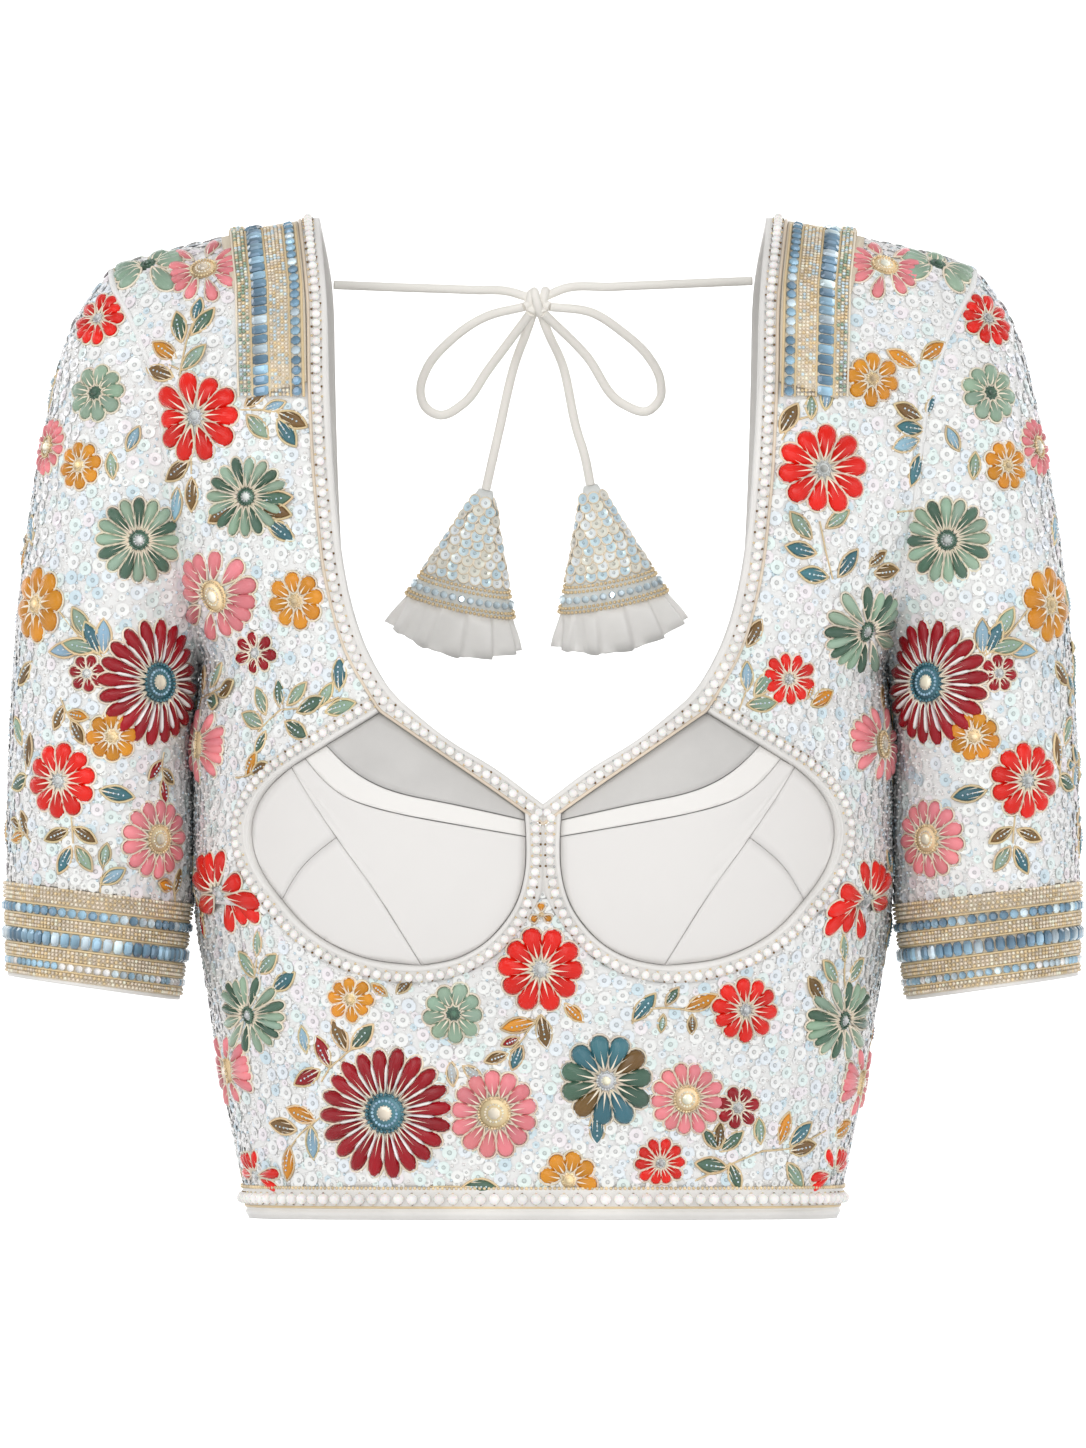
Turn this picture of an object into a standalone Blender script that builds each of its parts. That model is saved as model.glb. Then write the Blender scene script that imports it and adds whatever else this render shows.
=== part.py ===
"""Choli blouse with bound cup windows, a tie at the back neck and two latkan tassels.

The blouse keeps its worn, hollow form.  Tables and helpers work in millimetres; the meshes are
written in metres.  +Z is up, +X is the wearer's left, the front faces -Y.  The origin lies midway
between the two shoulders, at the level of the high shoulder point, where the wearer holds it up.

Every cloth piece is a wall on one shared body form.  Neighbouring pieces share the points of
their seam and each stands back SEAM_GAP / 2 from it.
"""
import math
from typing import NamedTuple

import bmesh
import bpy
import numpy as np
from mathutils import Euler, Vector

for item in list(bpy.data.objects):
    bpy.data.objects.remove(item, do_unlink=True)
parts = bpy.data.collections.new("choli_blouse")
bpy.context.scene.collection.children.link(parts)

# ---------------------------------------------------------------- driving sizes (millimetres)
MM = 0.001
SEAM_GAP = 0.4
SHOULDER_TOP = -2.0         # the shoulder line beside the neck
UNDERARM_Z = -190.0
SIDE_JOIN_Z = -292.0        # where yoke and lower band meet at the side seam
HEM_TOP_Z = -414.2          # lower edge of the panels, upper edge of the hem border
HEM_Z = -428.2
POST_TOP_Z = -260.0         # centre post between the cups, upper and lower end
POST_FOOT_Z = -288.0
ROUNDNESS = 2.4             # exponent of the body's rounded sections
SHOULDER_ROUND = 110.0      # drop over which front and back part from the shoulder line

PANEL = (0.0, 1.8)          # wall, from its inside to its outside, measured from the body form
BORDER = (0.0, 3.0)
HEM = (0.0, 3.2)
JEWEL_BAND = (2.5, 3.8)
CUFF = (0.0, 3.0)
CUP_EDGE = (-1.0, 0.8)
CUP_CROWN = 1.6             # rise of a cup piece's middle above its sewn edge
FLOWER_RISE = 2.2           # padded flower heads above the ground cloth

ARM_CELLS = 14              # mesh steps along half an armhole
SIDE_CELLS = 12             # underarm to side join
YOKE_COLUMNS = 10
JEWEL_COLUMNS = 4
JEWEL_ROWS = 6
JOIN_CELLS = 2
BAND_ROWS = 10
BACK_ROWS = 18              # underarm to hem on the back
BACK_COLUMNS = 10
SLEEVE_ROWS = 20
CUFF_ROWS = 4

CORD_RADIUS = 2.0
KNOT_RADIUS = 6.1
CORD_START = 6.9            # from the middle of the knot to the end face of each cord


class Section(NamedTuple):
    """A level section of the body form."""
    z: float
    half_width: float
    front: float
    back: float


FORM = (
    Section(0.0, 215.0, 76.0, 78.0),
    Section(-22.0, 209.0, 80.0, 82.0),
    Section(-60.0, 195.0, 88.0, 90.0),
    Section(-104.0, 182.0, 96.0, 97.0),
    Section(-150.0, 166.0, 106.0, 101.0),
    Section(-180.0, 150.0, 112.0, 103.0),
    Section(-190.0, 145.3, 114.0, 103.0),
    Section(-232.0, 147.4, 118.0, 102.0),
    Section(-292.0, 147.2, 115.0, 96.0),
    Section(-340.0, 140.8, 104.0, 90.0),
    Section(-383.0, 133.2, 96.0, 87.0),
    Section(-429.0, 123.4, 93.0, 88.0),
)
CUP_FULLNESS = 9.0          # how far the cups stand out from the level sections
CUP_CENTRE = (66.0, -266.0)
CUP_SPREAD = (44.0, 50.0)


class Spot(NamedTuple):
    """A point of an outline on the body, seen from the front."""
    x: float
    z: float


SHOULDER_LINE = (Spot(0, SHOULDER_TOP), Spot(97, SHOULDER_TOP), Spot(113, -4), Spot(133, -8.5),
                 Spot(154, -13.5), Spot(178, -20), Spot(185, -23.5), Spot(200, -29))
ARMHOLE = (Spot(185, -23.5), Spot(184, -29), Spot(177, -42), Spot(168.5, -62), Spot(162.5, -86),
           Spot(160, -104), Spot(157, -128), Spot(152.5, -155), Spot(148, -178),
           Spot(145.3, -190))
# Inner edge of the front neck border down to the point of the V, and the border's outer edge.
NECK_TOP = (Spot(96, SHOULDER_TOP), Spot(92.9, -30), Spot(91.2, -77), Spot(88.4, -120),
            Spot(83.2, -159), Spot(75.4, -185), Spot(67.4, -199))
NECK_BEND = (Spot(67.4, -199), Spot(61.5, -206))
NECK_STRAP = (Spot(61.5, -206), Spot(40, -224), Spot(18.5, -237), Spot(4.5, -247.6))
NECK_POINT = (Spot(4.5, -247.6), Spot(0, -251))
NECK_SEAM_TOP = (Spot(104.9, -3), Spot(101.6, -30), Spot(99.9, -77), Spot(97, -121),
                 Spot(91.4, -161), Spot(83, -188), Spot(73.4, -205.4))
CUP_CORNER = Spot(69.4, -212)
STRAP_FOOT = Spot(7.9, -254.5)
POST_TOP = Spot(0, POST_TOP_Z)
POST_FOOT = Spot(0, POST_FOOT_Z)
# The bound edge of the cup window, from the corner under the strap round to the centre post.
BAND_TOP = Spot(92, -225.9)
BAND_FOOT = Spot(101, -231.5)
SIDE_TOP = Spot(107, -235.2)
SIDE_SPLIT = Spot(110.9, -291.5)
WINDOW_FOOT = Spot(51.7, -319.4)
POST_LOW = Spot(7.3, -264.6)
POST_HIGH = Spot(7.7, -257.6)
WINDOW = (
    ((CUP_CORNER, BAND_TOP), 2),
    ((BAND_TOP, BAND_FOOT), 2),
    ((BAND_FOOT, SIDE_TOP), 2),
    ((SIDE_TOP, Spot(113.5, -240.2), Spot(121, -249.5), Spot(124.6, -260), Spot(123.5, -271),
      Spot(118.6, -282), SIDE_SPLIT), 6),
    ((SIDE_SPLIT, Spot(103, -301), Spot(92.3, -309.2), Spot(76.5, -316.2), WINDOW_FOOT), 8),
    ((WINDOW_FOOT, Spot(36.3, -316.2), Spot(25.5, -310.3), Spot(17.1, -302), Spot(11.2, -292.5),
      Spot(7.8, -280), POST_LOW), 16),
    ((POST_LOW, POST_HIGH), 2),
    ((POST_HIGH, STRAP_FOOT), 2),
)
BRANCH = Spot(87, -265)     # on the diagonal seam, where the side pieces part
CUP_TOP_SEAM = (BAND_TOP, Spot(80, -237.5), Spot(66, -245), Spot(40, -250.6), POST_HIGH)
CUP_BAND_SEAM = (BAND_FOOT, Spot(86, -247.2), Spot(68, -253.5), Spot(40, -259), POST_LOW)
CUP_DIAGONAL_TOP = (SIDE_TOP, BRANCH)
CUP_DIAGONAL_FOOT = (BRANCH, Spot(69, -290), WINDOW_FOOT)
CUP_BRANCH = (BRANCH, Spot(101, -276.5), SIDE_SPLIT)
# Outer edge of the cup border: beside the yoke, above the lower band, and down the centre post.
RIM_SIDE = (Spot(73.4, -205.4), Spot(94, -218.9), Spot(104.5, -225.4), Spot(115.6, -232.8),
            Spot(125.4, -243.4), Spot(131.2, -257.1), Spot(130.5, -272.3), Spot(124.7, -285.5),
            Spot(116.4, -296))
RIM_FOOT = (Spot(116.4, -296), Spot(108, -305.9), Spot(97.2, -314.4), Spot(85, -320.6),
            Spot(72.3, -324.6), Spot(58.7, -326.5), Spot(45, -325.7), Spot(31.5, -321.8),
            Spot(19.3, -314.3), Spot(9.8, -304), Spot(3.2, -294), POST_FOOT)
# Back neckline, the outer edge of its border, and the border's foot at the centre back.
BACK_NECK = (Spot(96, SHOULDER_TOP), Spot(91, -27), Spot(90, -60), Spot(89.4, -90),
             Spot(88.4, -120), Spot(86.8, -150), Spot(84, -180),
             Spot(78, -215), Spot(66, -243), Spot(45, -268), Spot(22, -281), Spot(0, -285))
BACK_SEAM = (Spot(104.9, -3), Spot(100, -28), Spot(99, -61), Spot(98.4, -91), Spot(97.4, -121),
             Spot(95.8, -152), Spot(92.8, -183.5), Spot(86, -219.5), Spot(72.5, -249.5),
             Spot(49.8, -275.6), Spot(24.4, -289.8), Spot(0, -294))
BACK_NECK_CELLS = 24


class SleeveEdge(NamedTuple):
    """The sleeve's profile: its outer side and its underarm side, at one place down the arm."""
    down: float
    outer_x: float
    outer_z: float
    inner_x: float
    inner_z: float
    depth: float


SLEEVE = (
    SleeveEdge(0.00, 185.0, -23.5, 145.3, -190.0, 50.0),
    SleeveEdge(0.08, 199.0, -42.0, 151.5, -196.5, 53.0),
    SleeveEdge(0.22, 210.4, -82.0, 154.2, -209.0, 55.0),
    SleeveEdge(0.42, 220.6, -140.0, 153.0, -229.0, 56.0),
    SleeveEdge(0.64, 226.6, -205.0, 152.6, -256.0, 54.0),
    SleeveEdge(0.84, 228.4, -256.0, 152.8, -282.0, 51.0),
    SleeveEdge(1.00, 228.4, -284.0, 153.8, -293.5, 49.0),
)
CUFF_FOOT = SleeveEdge(1.0, 227.4, -324.5, 159.0, -334.7, 48.0)
UNDERARM_EASE = 1.0         # the sleeve stands this much further off at the underarm
CAP_BLEND = 0.5             # share of the sleeve over which the armhole's own outline fades out


# ---------------------------------------------------------------- curves and the body form
def through(at, knots, values):
    """A smooth curve through a table of values, read at one place or at many."""
    knots = np.asarray(knots, float)
    values = np.asarray(values, float)
    if len(knots) == 2:
        return np.interp(at, knots, values)
    slopes = np.gradient(values, knots)
    at = np.clip(at, knots[0], knots[-1])
    k = np.clip(np.searchsorted(knots, at, side="right") - 1, 0, len(knots) - 2)
    step = knots[k + 1] - knots[k]
    t = (at - knots[k]) / step
    return ((2 * t**3 - 3 * t**2 + 1) * values[k] + (t**3 - 2 * t**2 + t) * step * slopes[k]
            + (3 * t**2 - 2 * t**3) * values[k + 1] + (t**3 - t**2) * step * slopes[k + 1])


def column(table, name):
    """One named column of a table, ordered for rising z if the table is ordered by z."""
    return [getattr(row, name) for row in table]


FORM_RISING = FORM[::-1]


def half_width(z):
    return through(z, column(FORM_RISING, "z"), column(FORM_RISING, "half_width"))


def shoulder_level(x):
    """Height of the shoulder line, where front and back meet."""
    return np.interp(np.abs(x), column(SHOULDER_LINE, "x"), column(SHOULDER_LINE, "z"))


def form_depth(x, z, back):
    """How far the body form stands out from the side plane, in front or behind."""
    side = half_width(z)
    level = through(z, column(FORM_RISING, "z"), column(FORM_RISING, "back" if back else "front"))
    share = np.clip(np.abs(x) / side, 0.0, 1.0)
    depth = level * (1.0 - share**ROUNDNESS) ** (1.0 / ROUNDNESS)
    drop = shoulder_level(x) - z
    open_share = np.clip(drop / SHOULDER_ROUND, 0.0, 1.0)
    depth = depth * np.sqrt(1.0 - (1.0 - open_share) ** 2)
    if not back:
        across = (np.abs(x) - CUP_CENTRE[0]) / CUP_SPREAD[0]
        along = (z - CUP_CENTRE[1]) / CUP_SPREAD[1]
        edge = np.sqrt(1.0 - share**4)
        depth = depth + CUP_FULLNESS * np.exp(-across**2 - along**2) * edge
    return depth


def on_body(x, z, back):
    """Points of the body form, as an array of x, y, z."""
    depth = form_depth(x, z, back)
    return np.stack([x + 0 * z, depth if back else -depth, z + 0 * x], axis=-1)


def body_normal(x, z, back):
    """Outward direction of the body form, from the slope of its squared depth."""
    step = 0.05
    depth = form_depth(x, z, back)

    def slope(dx, dz):
        ahead = form_depth(x + dx, z + dz, back) ** 2
        behind = form_depth(x - dx, z - dz, back) ** 2
        return (ahead - behind) / (2 * step)

    facing = 2 * depth * (1.0 if back else -1.0)
    normal = np.stack([-slope(step, 0.0), facing, -slope(0.0, step)], axis=-1)
    return normal / np.linalg.norm(normal, axis=-1, keepdims=True)


def outline(spots, cells, back=False):
    """Points along an outline on the body, evenly spaced over its true length."""
    x = np.array(column(spots, "x"), float)
    z = np.array(column(spots, "z"), float)
    reach = np.concatenate([[0.0], np.cumsum(np.hypot(np.diff(x), np.diff(z)))])
    fine = np.linspace(0.0, reach[-1], 1600)
    flat = np.stack([through(fine, reach, x), through(fine, reach, z)], axis=-1)
    solid = on_body(flat[:, 0], flat[:, 1], back)
    length = np.concatenate([[0.0], np.cumsum(np.linalg.norm(np.diff(solid, axis=0), axis=1))])
    even = np.linspace(0.0, length[-1], cells + 1)
    return np.stack([np.interp(even, length, flat[:, 0]), np.interp(even, length, flat[:, 1])],
                    axis=-1)


def chain(*runs):
    """Outlines end to end, with their shared points kept once."""
    return np.concatenate([runs[0]] + [run[1:] for run in runs[1:]])


def to_girth(flat):
    """x, z on the body turned into girth angle, z: even steps of the angle go round the side."""
    share = np.clip(np.abs(flat[..., 0]) / half_width(flat[..., 1]), 0.0, 1.0)
    angle = np.arcsin(share ** (ROUNDNESS / 2.0))
    return np.stack([np.sign(flat[..., 0]) * angle, flat[..., 1]], axis=-1)


def from_girth(girth):
    x = half_width(girth[..., 1]) * np.abs(np.sin(girth[..., 0])) ** (2.0 / ROUNDNESS)
    return np.stack([np.sign(girth[..., 0]) * x, girth[..., 1]], axis=-1)


def fill(first, last, start, end, girth=True):
    """A grid between four outlines: rows run from first to last, columns from start to end."""
    if girth:
        first, last, start, end = (to_girth(edge) for edge in (first, last, start, end))
    rows = len(first)
    columns = len(start)
    down = np.linspace(0.0, 1.0, rows)[:, None, None]
    across = np.linspace(0.0, 1.0, columns)[None, :, None]
    sides = (1 - across) * first[:, None] + across * last[:, None]
    ends = (1 - down) * start[None] + down * end[None]
    corners = ((1 - down) * (1 - across) * start[0] + (1 - down) * across * start[-1]
               + down * (1 - across) * end[0] + down * across * end[-1])
    grid = sides + ends - corners
    return from_girth(grid) if girth else grid


def between(first, last, cells):
    """A strip's grid: straight steps from one edge to the other, from the shoulder line down."""
    across = np.linspace(0.0, 1.0, cells + 1)[None, :, None]
    grid = (1 - across) * first[:, None] + across * last[:, None]
    if first[0, 1] > SHOULDER_TOP - 0.1:
        grid[0, :, 1] = shoulder_level(grid[0, :, 0])
    return grid


class Skin:
    """Grid points on the body form with their outward directions, in millimetres."""

    def __init__(self, points, normals):
        self.points = points
        self.normals = normals

    @classmethod
    def on_body(cls, flat, back=False):
        x = flat[..., 0]
        z = flat[..., 1]
        return cls(on_body(x, z, back), body_normal(x, z, back))

    def part(self, rows, columns):
        return Skin(self.points[rows, columns].copy(), self.normals[rows, columns].copy())

    def mirrored(self):
        flip = np.array([-1.0, 1.0, 1.0])
        return Skin(self.points * flip, self.normals * flip)

    def drawn_in(self, edges, gap=SEAM_GAP / 2):
        """The named edges (first/last row, first/last column) stand back from their seams."""
        rows, columns = self.points.shape[:2]
        before = self.points.copy()
        lines = {"top": (np.s_[0, :], np.s_[1, :]), "foot": (np.s_[rows - 1, :], np.s_[rows - 2, :]),
                 "start": (np.s_[:, 0], np.s_[:, 1]),
                 "end": (np.s_[:, columns - 1], np.s_[:, columns - 2])}
        for edge in edges.split():
            outer, inner = lines[edge]
            inward = before[inner] - before[outer]
            along = np.gradient(before[outer], axis=0)
            along = along / np.linalg.norm(along, axis=-1, keepdims=True)
            inward = inward - np.sum(inward * along, axis=-1, keepdims=True) * along
            inward = inward / np.linalg.norm(inward, axis=-1, keepdims=True)
            self.points[outer] = self.points[outer] + gap * inward
        return self


# ---------------------------------------------------------------- padded flower heads
class Flower(NamedTuple):
    """A padded flower head: its place in the front view, and its radius."""
    x: float
    z: float
    radius: float


FRONT_FLOWERS = (
    Flower(-169, -21, 15), Flower(-145, -24, 14.5), Flower(-147, -86, 18), Flower(-125, -120, 16.5),
    Flower(-138, -161, 18), Flower(-104, -164, 11.5), Flower(-120.5, -186, 8.8),
    Flower(-143, -226, 15), Flower(-134.5, -288, 17), Flower(-122.5, -340.5, 15.5),
    Flower(-132.5, -365, 14), Flower(-81, -333, 9.5), Flower(-66, -382, 26.5),
    Flower(-120.5, -409, 10.3), Flower(-20.6, -382, 18), Flower(-38, -339, 12.5),
    Flower(-0.9, -320, 17.5), Flower(26.7, -368, 19), Flower(60.2, -376, 15), Flower(81.7, -380, 9),
    Flower(84.7, -337.6, 13.5), Flower(49.5, -404, 10), Flower(10.8, -411, 11.5),
    Flower(121.3, -408, 10.3), Flower(125.6, -343, 16), Flower(135.5, -370, 14),
    Flower(135, -291, 16), Flower(140.6, -225.8, 15), Flower(102.8, -197.8, 10.8),
    Flower(135, -176, 18), Flower(118.3, -108.4, 18), Flower(139.8, -70.1, 11),
    Flower(145.8, -22.5, 14.5), Flower(169, -21, 15),
)
BACK_FLOWERS = (
    Flower(-167, -26, 15), Flower(-146, -52, 14), Flower(-128, -106, 18), Flower(-128, -166, 17),
    Flower(-112, -222, 17), Flower(-106, -290, 26), Flower(-134, -250, 11), Flower(-52, -322, 16),
    Flower(-112, -356, 16), Flower(-66, -376, 18), Flower(-22, -392, 11), Flower(-20, -336, 9),
    Flower(167, -26, 15), Flower(146, -52, 14), Flower(128, -106, 18), Flower(128, -166, 17),
    Flower(112, -222, 17), Flower(106, -290, 26), Flower(134, -250, 11), Flower(52, -322, 17),
    Flower(112, -356, 16), Flower(66, -376, 18), Flower(22, -366, 11), Flower(20, -404, 9),
)
# Places on one sleeve, on its front and on its back; the other sleeve mirrors them.
SLEEVE_FLOWERS = (
    Flower(190.5, -43, 12.5), Flower(191.5, -75, 12.5), Flower(212, -98, 12),
    Flower(198.5, -106, 10.3), Flower(173, -138, 18), Flower(217, -165.5, 15.5),
    Flower(170, -199, 24), Flower(195, -195, 8), Flower(184.5, -222, 11), Flower(207, -241, 15.5),
    Flower(165, -266, 16.3),
)


def flower_rise(skin, flowers):
    """Height of the padded heads over a grid, fading to nothing at the side seams."""
    x, y, z = (skin.points[..., k] for k in range(3))
    rise = np.zeros(x.shape)
    for flower in flowers:
        share = np.hypot(x - flower.x, z - flower.z) / flower.radius
        rise = np.maximum(rise, FLOWER_RISE * np.clip(1.25 * (1.0 - share**2), 0.0, 1.0))
    return rise * np.clip(np.abs(y) / 25.0, 0.0, 1.0)


def framed(rise, width=1):
    """The same heights with a flat margin of a few steps round the piece."""
    flat = np.zeros(rise.shape)
    flat[width:-width, width:-width] = rise[width:-width, width:-width]
    return flat


# ---------------------------------------------------------------- finishes and mesh building
class Finish(NamedTuple):
    """Colour and shine of one cloth or trim."""
    name: str
    colour: tuple
    roughness: float
    metallic: float = 0.0


SEQUINNED = Finish("sequinned_net", (0.93, 0.93, 0.92), 0.35)
SATIN = Finish("cup_satin", (0.80, 0.78, 0.76), 0.45)
BAND_SATIN = Finish("cup_band_satin", (0.86, 0.84, 0.81), 0.42)
EDGING = Finish("pearl_edging", (0.90, 0.86, 0.80), 0.40)
JEWELLED = Finish("jewelled_band", (0.62, 0.70, 0.72), 0.30, 0.3)
DORI = Finish("dori_satin", (0.86, 0.83, 0.78), 0.45)
TASSEL_CONE = Finish("tassel_embroidery", (0.66, 0.72, 0.72), 0.35, 0.2)
TASSEL_FRILL = Finish("tassel_satin", (0.88, 0.86, 0.82), 0.45)


def material(finish, name):
    """A piece's own Principled material."""
    made = bpy.data.materials.new(f"{finish.name}_{name}")
    made.use_nodes = True
    shader = made.node_tree.nodes["Principled BSDF"]
    shader.inputs["Base Color"].default_value = (*finish.colour, 1.0)
    shader.inputs["Roughness"].default_value = finish.roughness
    shader.inputs["Metallic"].default_value = finish.metallic
    return made


def place(name, mesh, finish):
    """A named object of the blouse from a finished bmesh."""
    bmesh.ops.recalc_face_normals(mesh, faces=mesh.faces)
    data = bpy.data.meshes.new(name)
    mesh.to_mesh(data)
    mesh.free()
    data.shade_smooth()
    data.set_sharp_from_angle(angle=math.radians(40))
    data.materials.append(material(finish, name))
    made = bpy.data.objects.new(name, data)
    parts.objects.link(made)
    return made


def plain_cells(rows, columns, wrap):
    """Fans of a sheet with every other point left out, and all points kept along its edges."""
    for i in range(0, rows - 1, 2):
        for j in range(0, columns if wrap else columns - 1, 2):
            edges = {"top": i == 0, "right": not wrap and j + 2 == columns - 1,
                     "foot": i + 2 == rows - 1, "left": not wrap and j == 0}
            loop = [("left top", (i, j))]
            if edges["top"]:
                loop.append(("", (i, j + 1)))
            loop.append(("top right", (i, j + 2)))
            if edges["right"]:
                loop.append(("", (i + 1, j + 2)))
            loop.append(("right foot", (i + 2, j + 2)))
            if edges["foot"]:
                loop.append(("", (i + 2, j + 1)))
            loop.append(("foot left", (i + 2, j)))
            if edges["left"]:
                loop.append(("", (i + 1, j)))
            free = [k for k, (beside, _) in enumerate(loop)
                    if beside and not any(edges[edge] for edge in beside.split())]
            loop = [place_ij for _, place_ij in loop[free[0]:] + loop[:free[0]]]
            for k in range(1, len(loop) - 1):
                yield loop[0], loop[k], loop[k + 1]


def full_cells(rows, columns, wrap):
    """Two triangles for each cell of a grid."""
    for i in range(rows - 1):
        for j in range(columns if wrap else columns - 1):
            yield (i, j), (i, j + 1), (i + 1, j + 1)
            yield (i, j), (i + 1, j + 1), (i + 1, j)


def wall(name, skin, heights, finish, wrap=False, plain=True):
    """A cloth wall over a grid: fine outside, plainer inside where plain is set, closed rims."""
    rows, columns = skin.points.shape[:2]
    low, high = (np.broadcast_to(height, (rows, columns))[..., None] for height in heights)
    sheets = {"out": (skin.points + skin.normals * high) * MM,
              "in": (skin.points + skin.normals * low) * MM}
    mesh = bmesh.new()
    made = {}

    def corner(layer, cell):
        key = (layer, cell[0], cell[1] % columns)
        if key not in made:
            made[key] = mesh.verts.new(sheets[layer][key[1:]])
        return made[key]

    def face(*corners):
        mesh.faces.new([corner(layer, cell) for layer, cell in corners])

    for a, b, c in full_cells(rows, columns, wrap):
        face(("out", a), ("out", b), ("out", c))
    for a, b, c in (plain_cells if plain else full_cells)(rows, columns, wrap):
        face(("in", a), ("in", b), ("in", c))
    span = columns if wrap else columns - 1
    edges = [((i, j), (i, j + 1)) for i in (0, rows - 1) for j in range(span)]
    if not wrap:
        edges += [((i, j), (i + 1, j)) for j in (0, columns - 1) for i in range(rows - 1)]
    for a, b in edges:
        face(("out", a), ("out", b), ("in", b))
        face(("out", a), ("in", b), ("in", a))
    return place(name, mesh, finish)


def both_sides(name, skin, heights, finish, **options):
    """The wearer's left piece and its mirror image on the right."""
    wall(f"{name}_left", skin, heights, finish, **options)
    wall(f"{name}_right", skin.mirrored(), heights, finish, **options)


# ---------------------------------------------------------------- the body of the blouse
neck_seam_top = outline(NECK_SEAM_TOP, ARM_CELLS)
rim_side = outline(RIM_SIDE, SIDE_CELLS)
rim_foot = outline(RIM_FOOT, 16)
armhole_front = outline(ARMHOLE, ARM_CELLS)
armhole_back = outline(ARMHOLE, ARM_CELLS, back=True)
window = [outline(spots, cells) for spots, cells in WINDOW]
strap_edge = outline((CUP_CORNER, STRAP_FOOT), 8)
strap_end = outline((STRAP_FOOT, POST_TOP), 2)
corner_edge = outline((CUP_CORNER, NECK_SEAM_TOP[-1]), 2)
shoulder_seam = outline((NECK_SEAM_TOP[0], *SHOULDER_LINE[2:6], ARMHOLE[0]), YOKE_COLUMNS)
shoulder_seam[:, 1] = shoulder_level(shoulder_seam[:, 0])


def side_seam(top, foot, cells):
    """The side of the body between two levels."""
    z = np.linspace(top, foot, cells + 1)
    return np.stack([half_width(z), z], axis=-1)


def mirror_flat(flat):
    """The same outline on the wearer's right, run the other way."""
    return flat[::-1] * np.array([-1.0, 1.0])


def yoke_skin():
    """Shoulder to side join, from the neck and cup borders out to the armhole and side seam."""
    join = outline((RIM_SIDE[-1], Spot(132, -294.5), Spot(float(half_width(SIDE_JOIN_Z)),
                                                          SIDE_JOIN_Z)), JOIN_CELLS)
    foot = np.stack([np.interp(np.linspace(0, JOIN_CELLS, YOKE_COLUMNS + 1),
                               np.arange(JOIN_CELLS + 1), join[:, k]) for k in (0, 1)], axis=-1)
    flat = fill(chain(neck_seam_top, rim_side),
                chain(armhole_front, side_seam(UNDERARM_Z, SIDE_JOIN_Z, SIDE_CELLS)),
                shoulder_seam, foot)
    return Skin.on_body(flat), join


def band_skin(join):
    """The lower front, from side join to side join and down to the hem border."""
    half = chain(join[::-1], rim_foot)
    top = chain(half, mirror_flat(half))
    columns = len(top) - 1
    side = side_seam(SIDE_JOIN_Z, HEM_TOP_Z, BAND_ROWS)
    width = float(half_width(HEM_TOP_Z))
    foot = outline((Spot(width, HEM_TOP_Z), Spot(0, HEM_TOP_Z)), columns // 2)
    foot = chain(foot, mirror_flat(foot))
    return Skin.on_body(fill(side, side * np.array([-1.0, 1.0]), top, foot))


def back_skin():
    """One back half, from the back neck border and centre back out to armhole and side seam."""
    neck = outline(BACK_SEAM, BACK_NECK_CELLS, back=True)
    rows = ARM_CELLS + BACK_ROWS
    centre = np.linspace(BACK_SEAM[-1].z, HEM_TOP_Z, rows - BACK_NECK_CELLS + 1)
    centre = np.stack([0 * centre, centre], axis=-1)
    foot = outline((Spot(0, HEM_TOP_Z), Spot(float(half_width(HEM_TOP_Z)), HEM_TOP_Z)),
                   BACK_COLUMNS, back=True)
    shoulder = np.stack([np.interp(np.linspace(0, YOKE_COLUMNS, BACK_COLUMNS + 1),
                                   np.arange(YOKE_COLUMNS + 1), shoulder_seam[:, k])
                         for k in (0, 1)], axis=-1)
    flat = fill(chain(neck, centre),
                chain(armhole_back, side_seam(UNDERARM_Z, HEM_TOP_Z, BACK_ROWS)),
                shoulder, foot)
    return Skin.on_body(flat, back=True)


def panel(name, skin, edges, flowers, clear_rows=0):
    """A sequinned panel: a wall with its padded flowers raised, flat under the jewelled band."""
    rise = framed(flower_rise(skin, flowers))
    rise[:clear_rows, :JEWEL_COLUMNS + 1] = 0.0
    wall(name, skin.drawn_in(edges), (PANEL[0], PANEL[1] + rise), SEQUINNED)


def cup_crown(flat):
    """Rise of the cup cloth, from its bound edge in towards its middle."""
    edge = np.concatenate([run[:-1] for run in window] + [strap_edge[::-1][:-1]])
    near = np.min(np.linalg.norm(flat[..., None, :] - edge, axis=-1), axis=-1)
    share = np.clip(near / 22.0, 0.0, 1.0)
    return CUP_CROWN * share * (2.0 - share)


def build_cups():
    """Five satin pieces fill each window: upper, top band, main, and two at the side."""
    top_seam = outline(CUP_TOP_SEAM, 8)
    band_seam = outline(CUP_BAND_SEAM, 8)
    diagonal_top = outline(CUP_DIAGONAL_TOP, 2)
    diagonal_foot = outline(CUP_DIAGONAL_FOOT, 4)
    branch = outline(CUP_BRANCH, 4)
    corner, band_end, sliver, side, low, inner, post, post_high = window
    pieces = {
        "cup_upper": (fill(corner, post_high[::-1], strap_edge, top_seam), SATIN),
        "cup_top_band": (fill(band_end, post[::-1], top_seam, band_seam), BAND_SATIN),
        "cup_main": (fill(chain(sliver, diagonal_top, diagonal_foot), inner[::-1][:9],
                          band_seam, inner[:9]), SATIN),
        "cup_side_upper": (fill(diagonal_top, side[4:], side[:5], branch), SATIN),
        "cup_side_lower": (fill(diagonal_foot, low[:5], branch, low[::-1][:5]), SATIN),
    }
    for name, (flat, finish) in pieces.items():
        crown = cup_crown(flat)
        skin = Skin.on_body(flat).drawn_in("top foot start end")
        both_sides(name, skin, (CUP_EDGE[0] + crown, CUP_EDGE[1] + crown), finish, plain=False)


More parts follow.
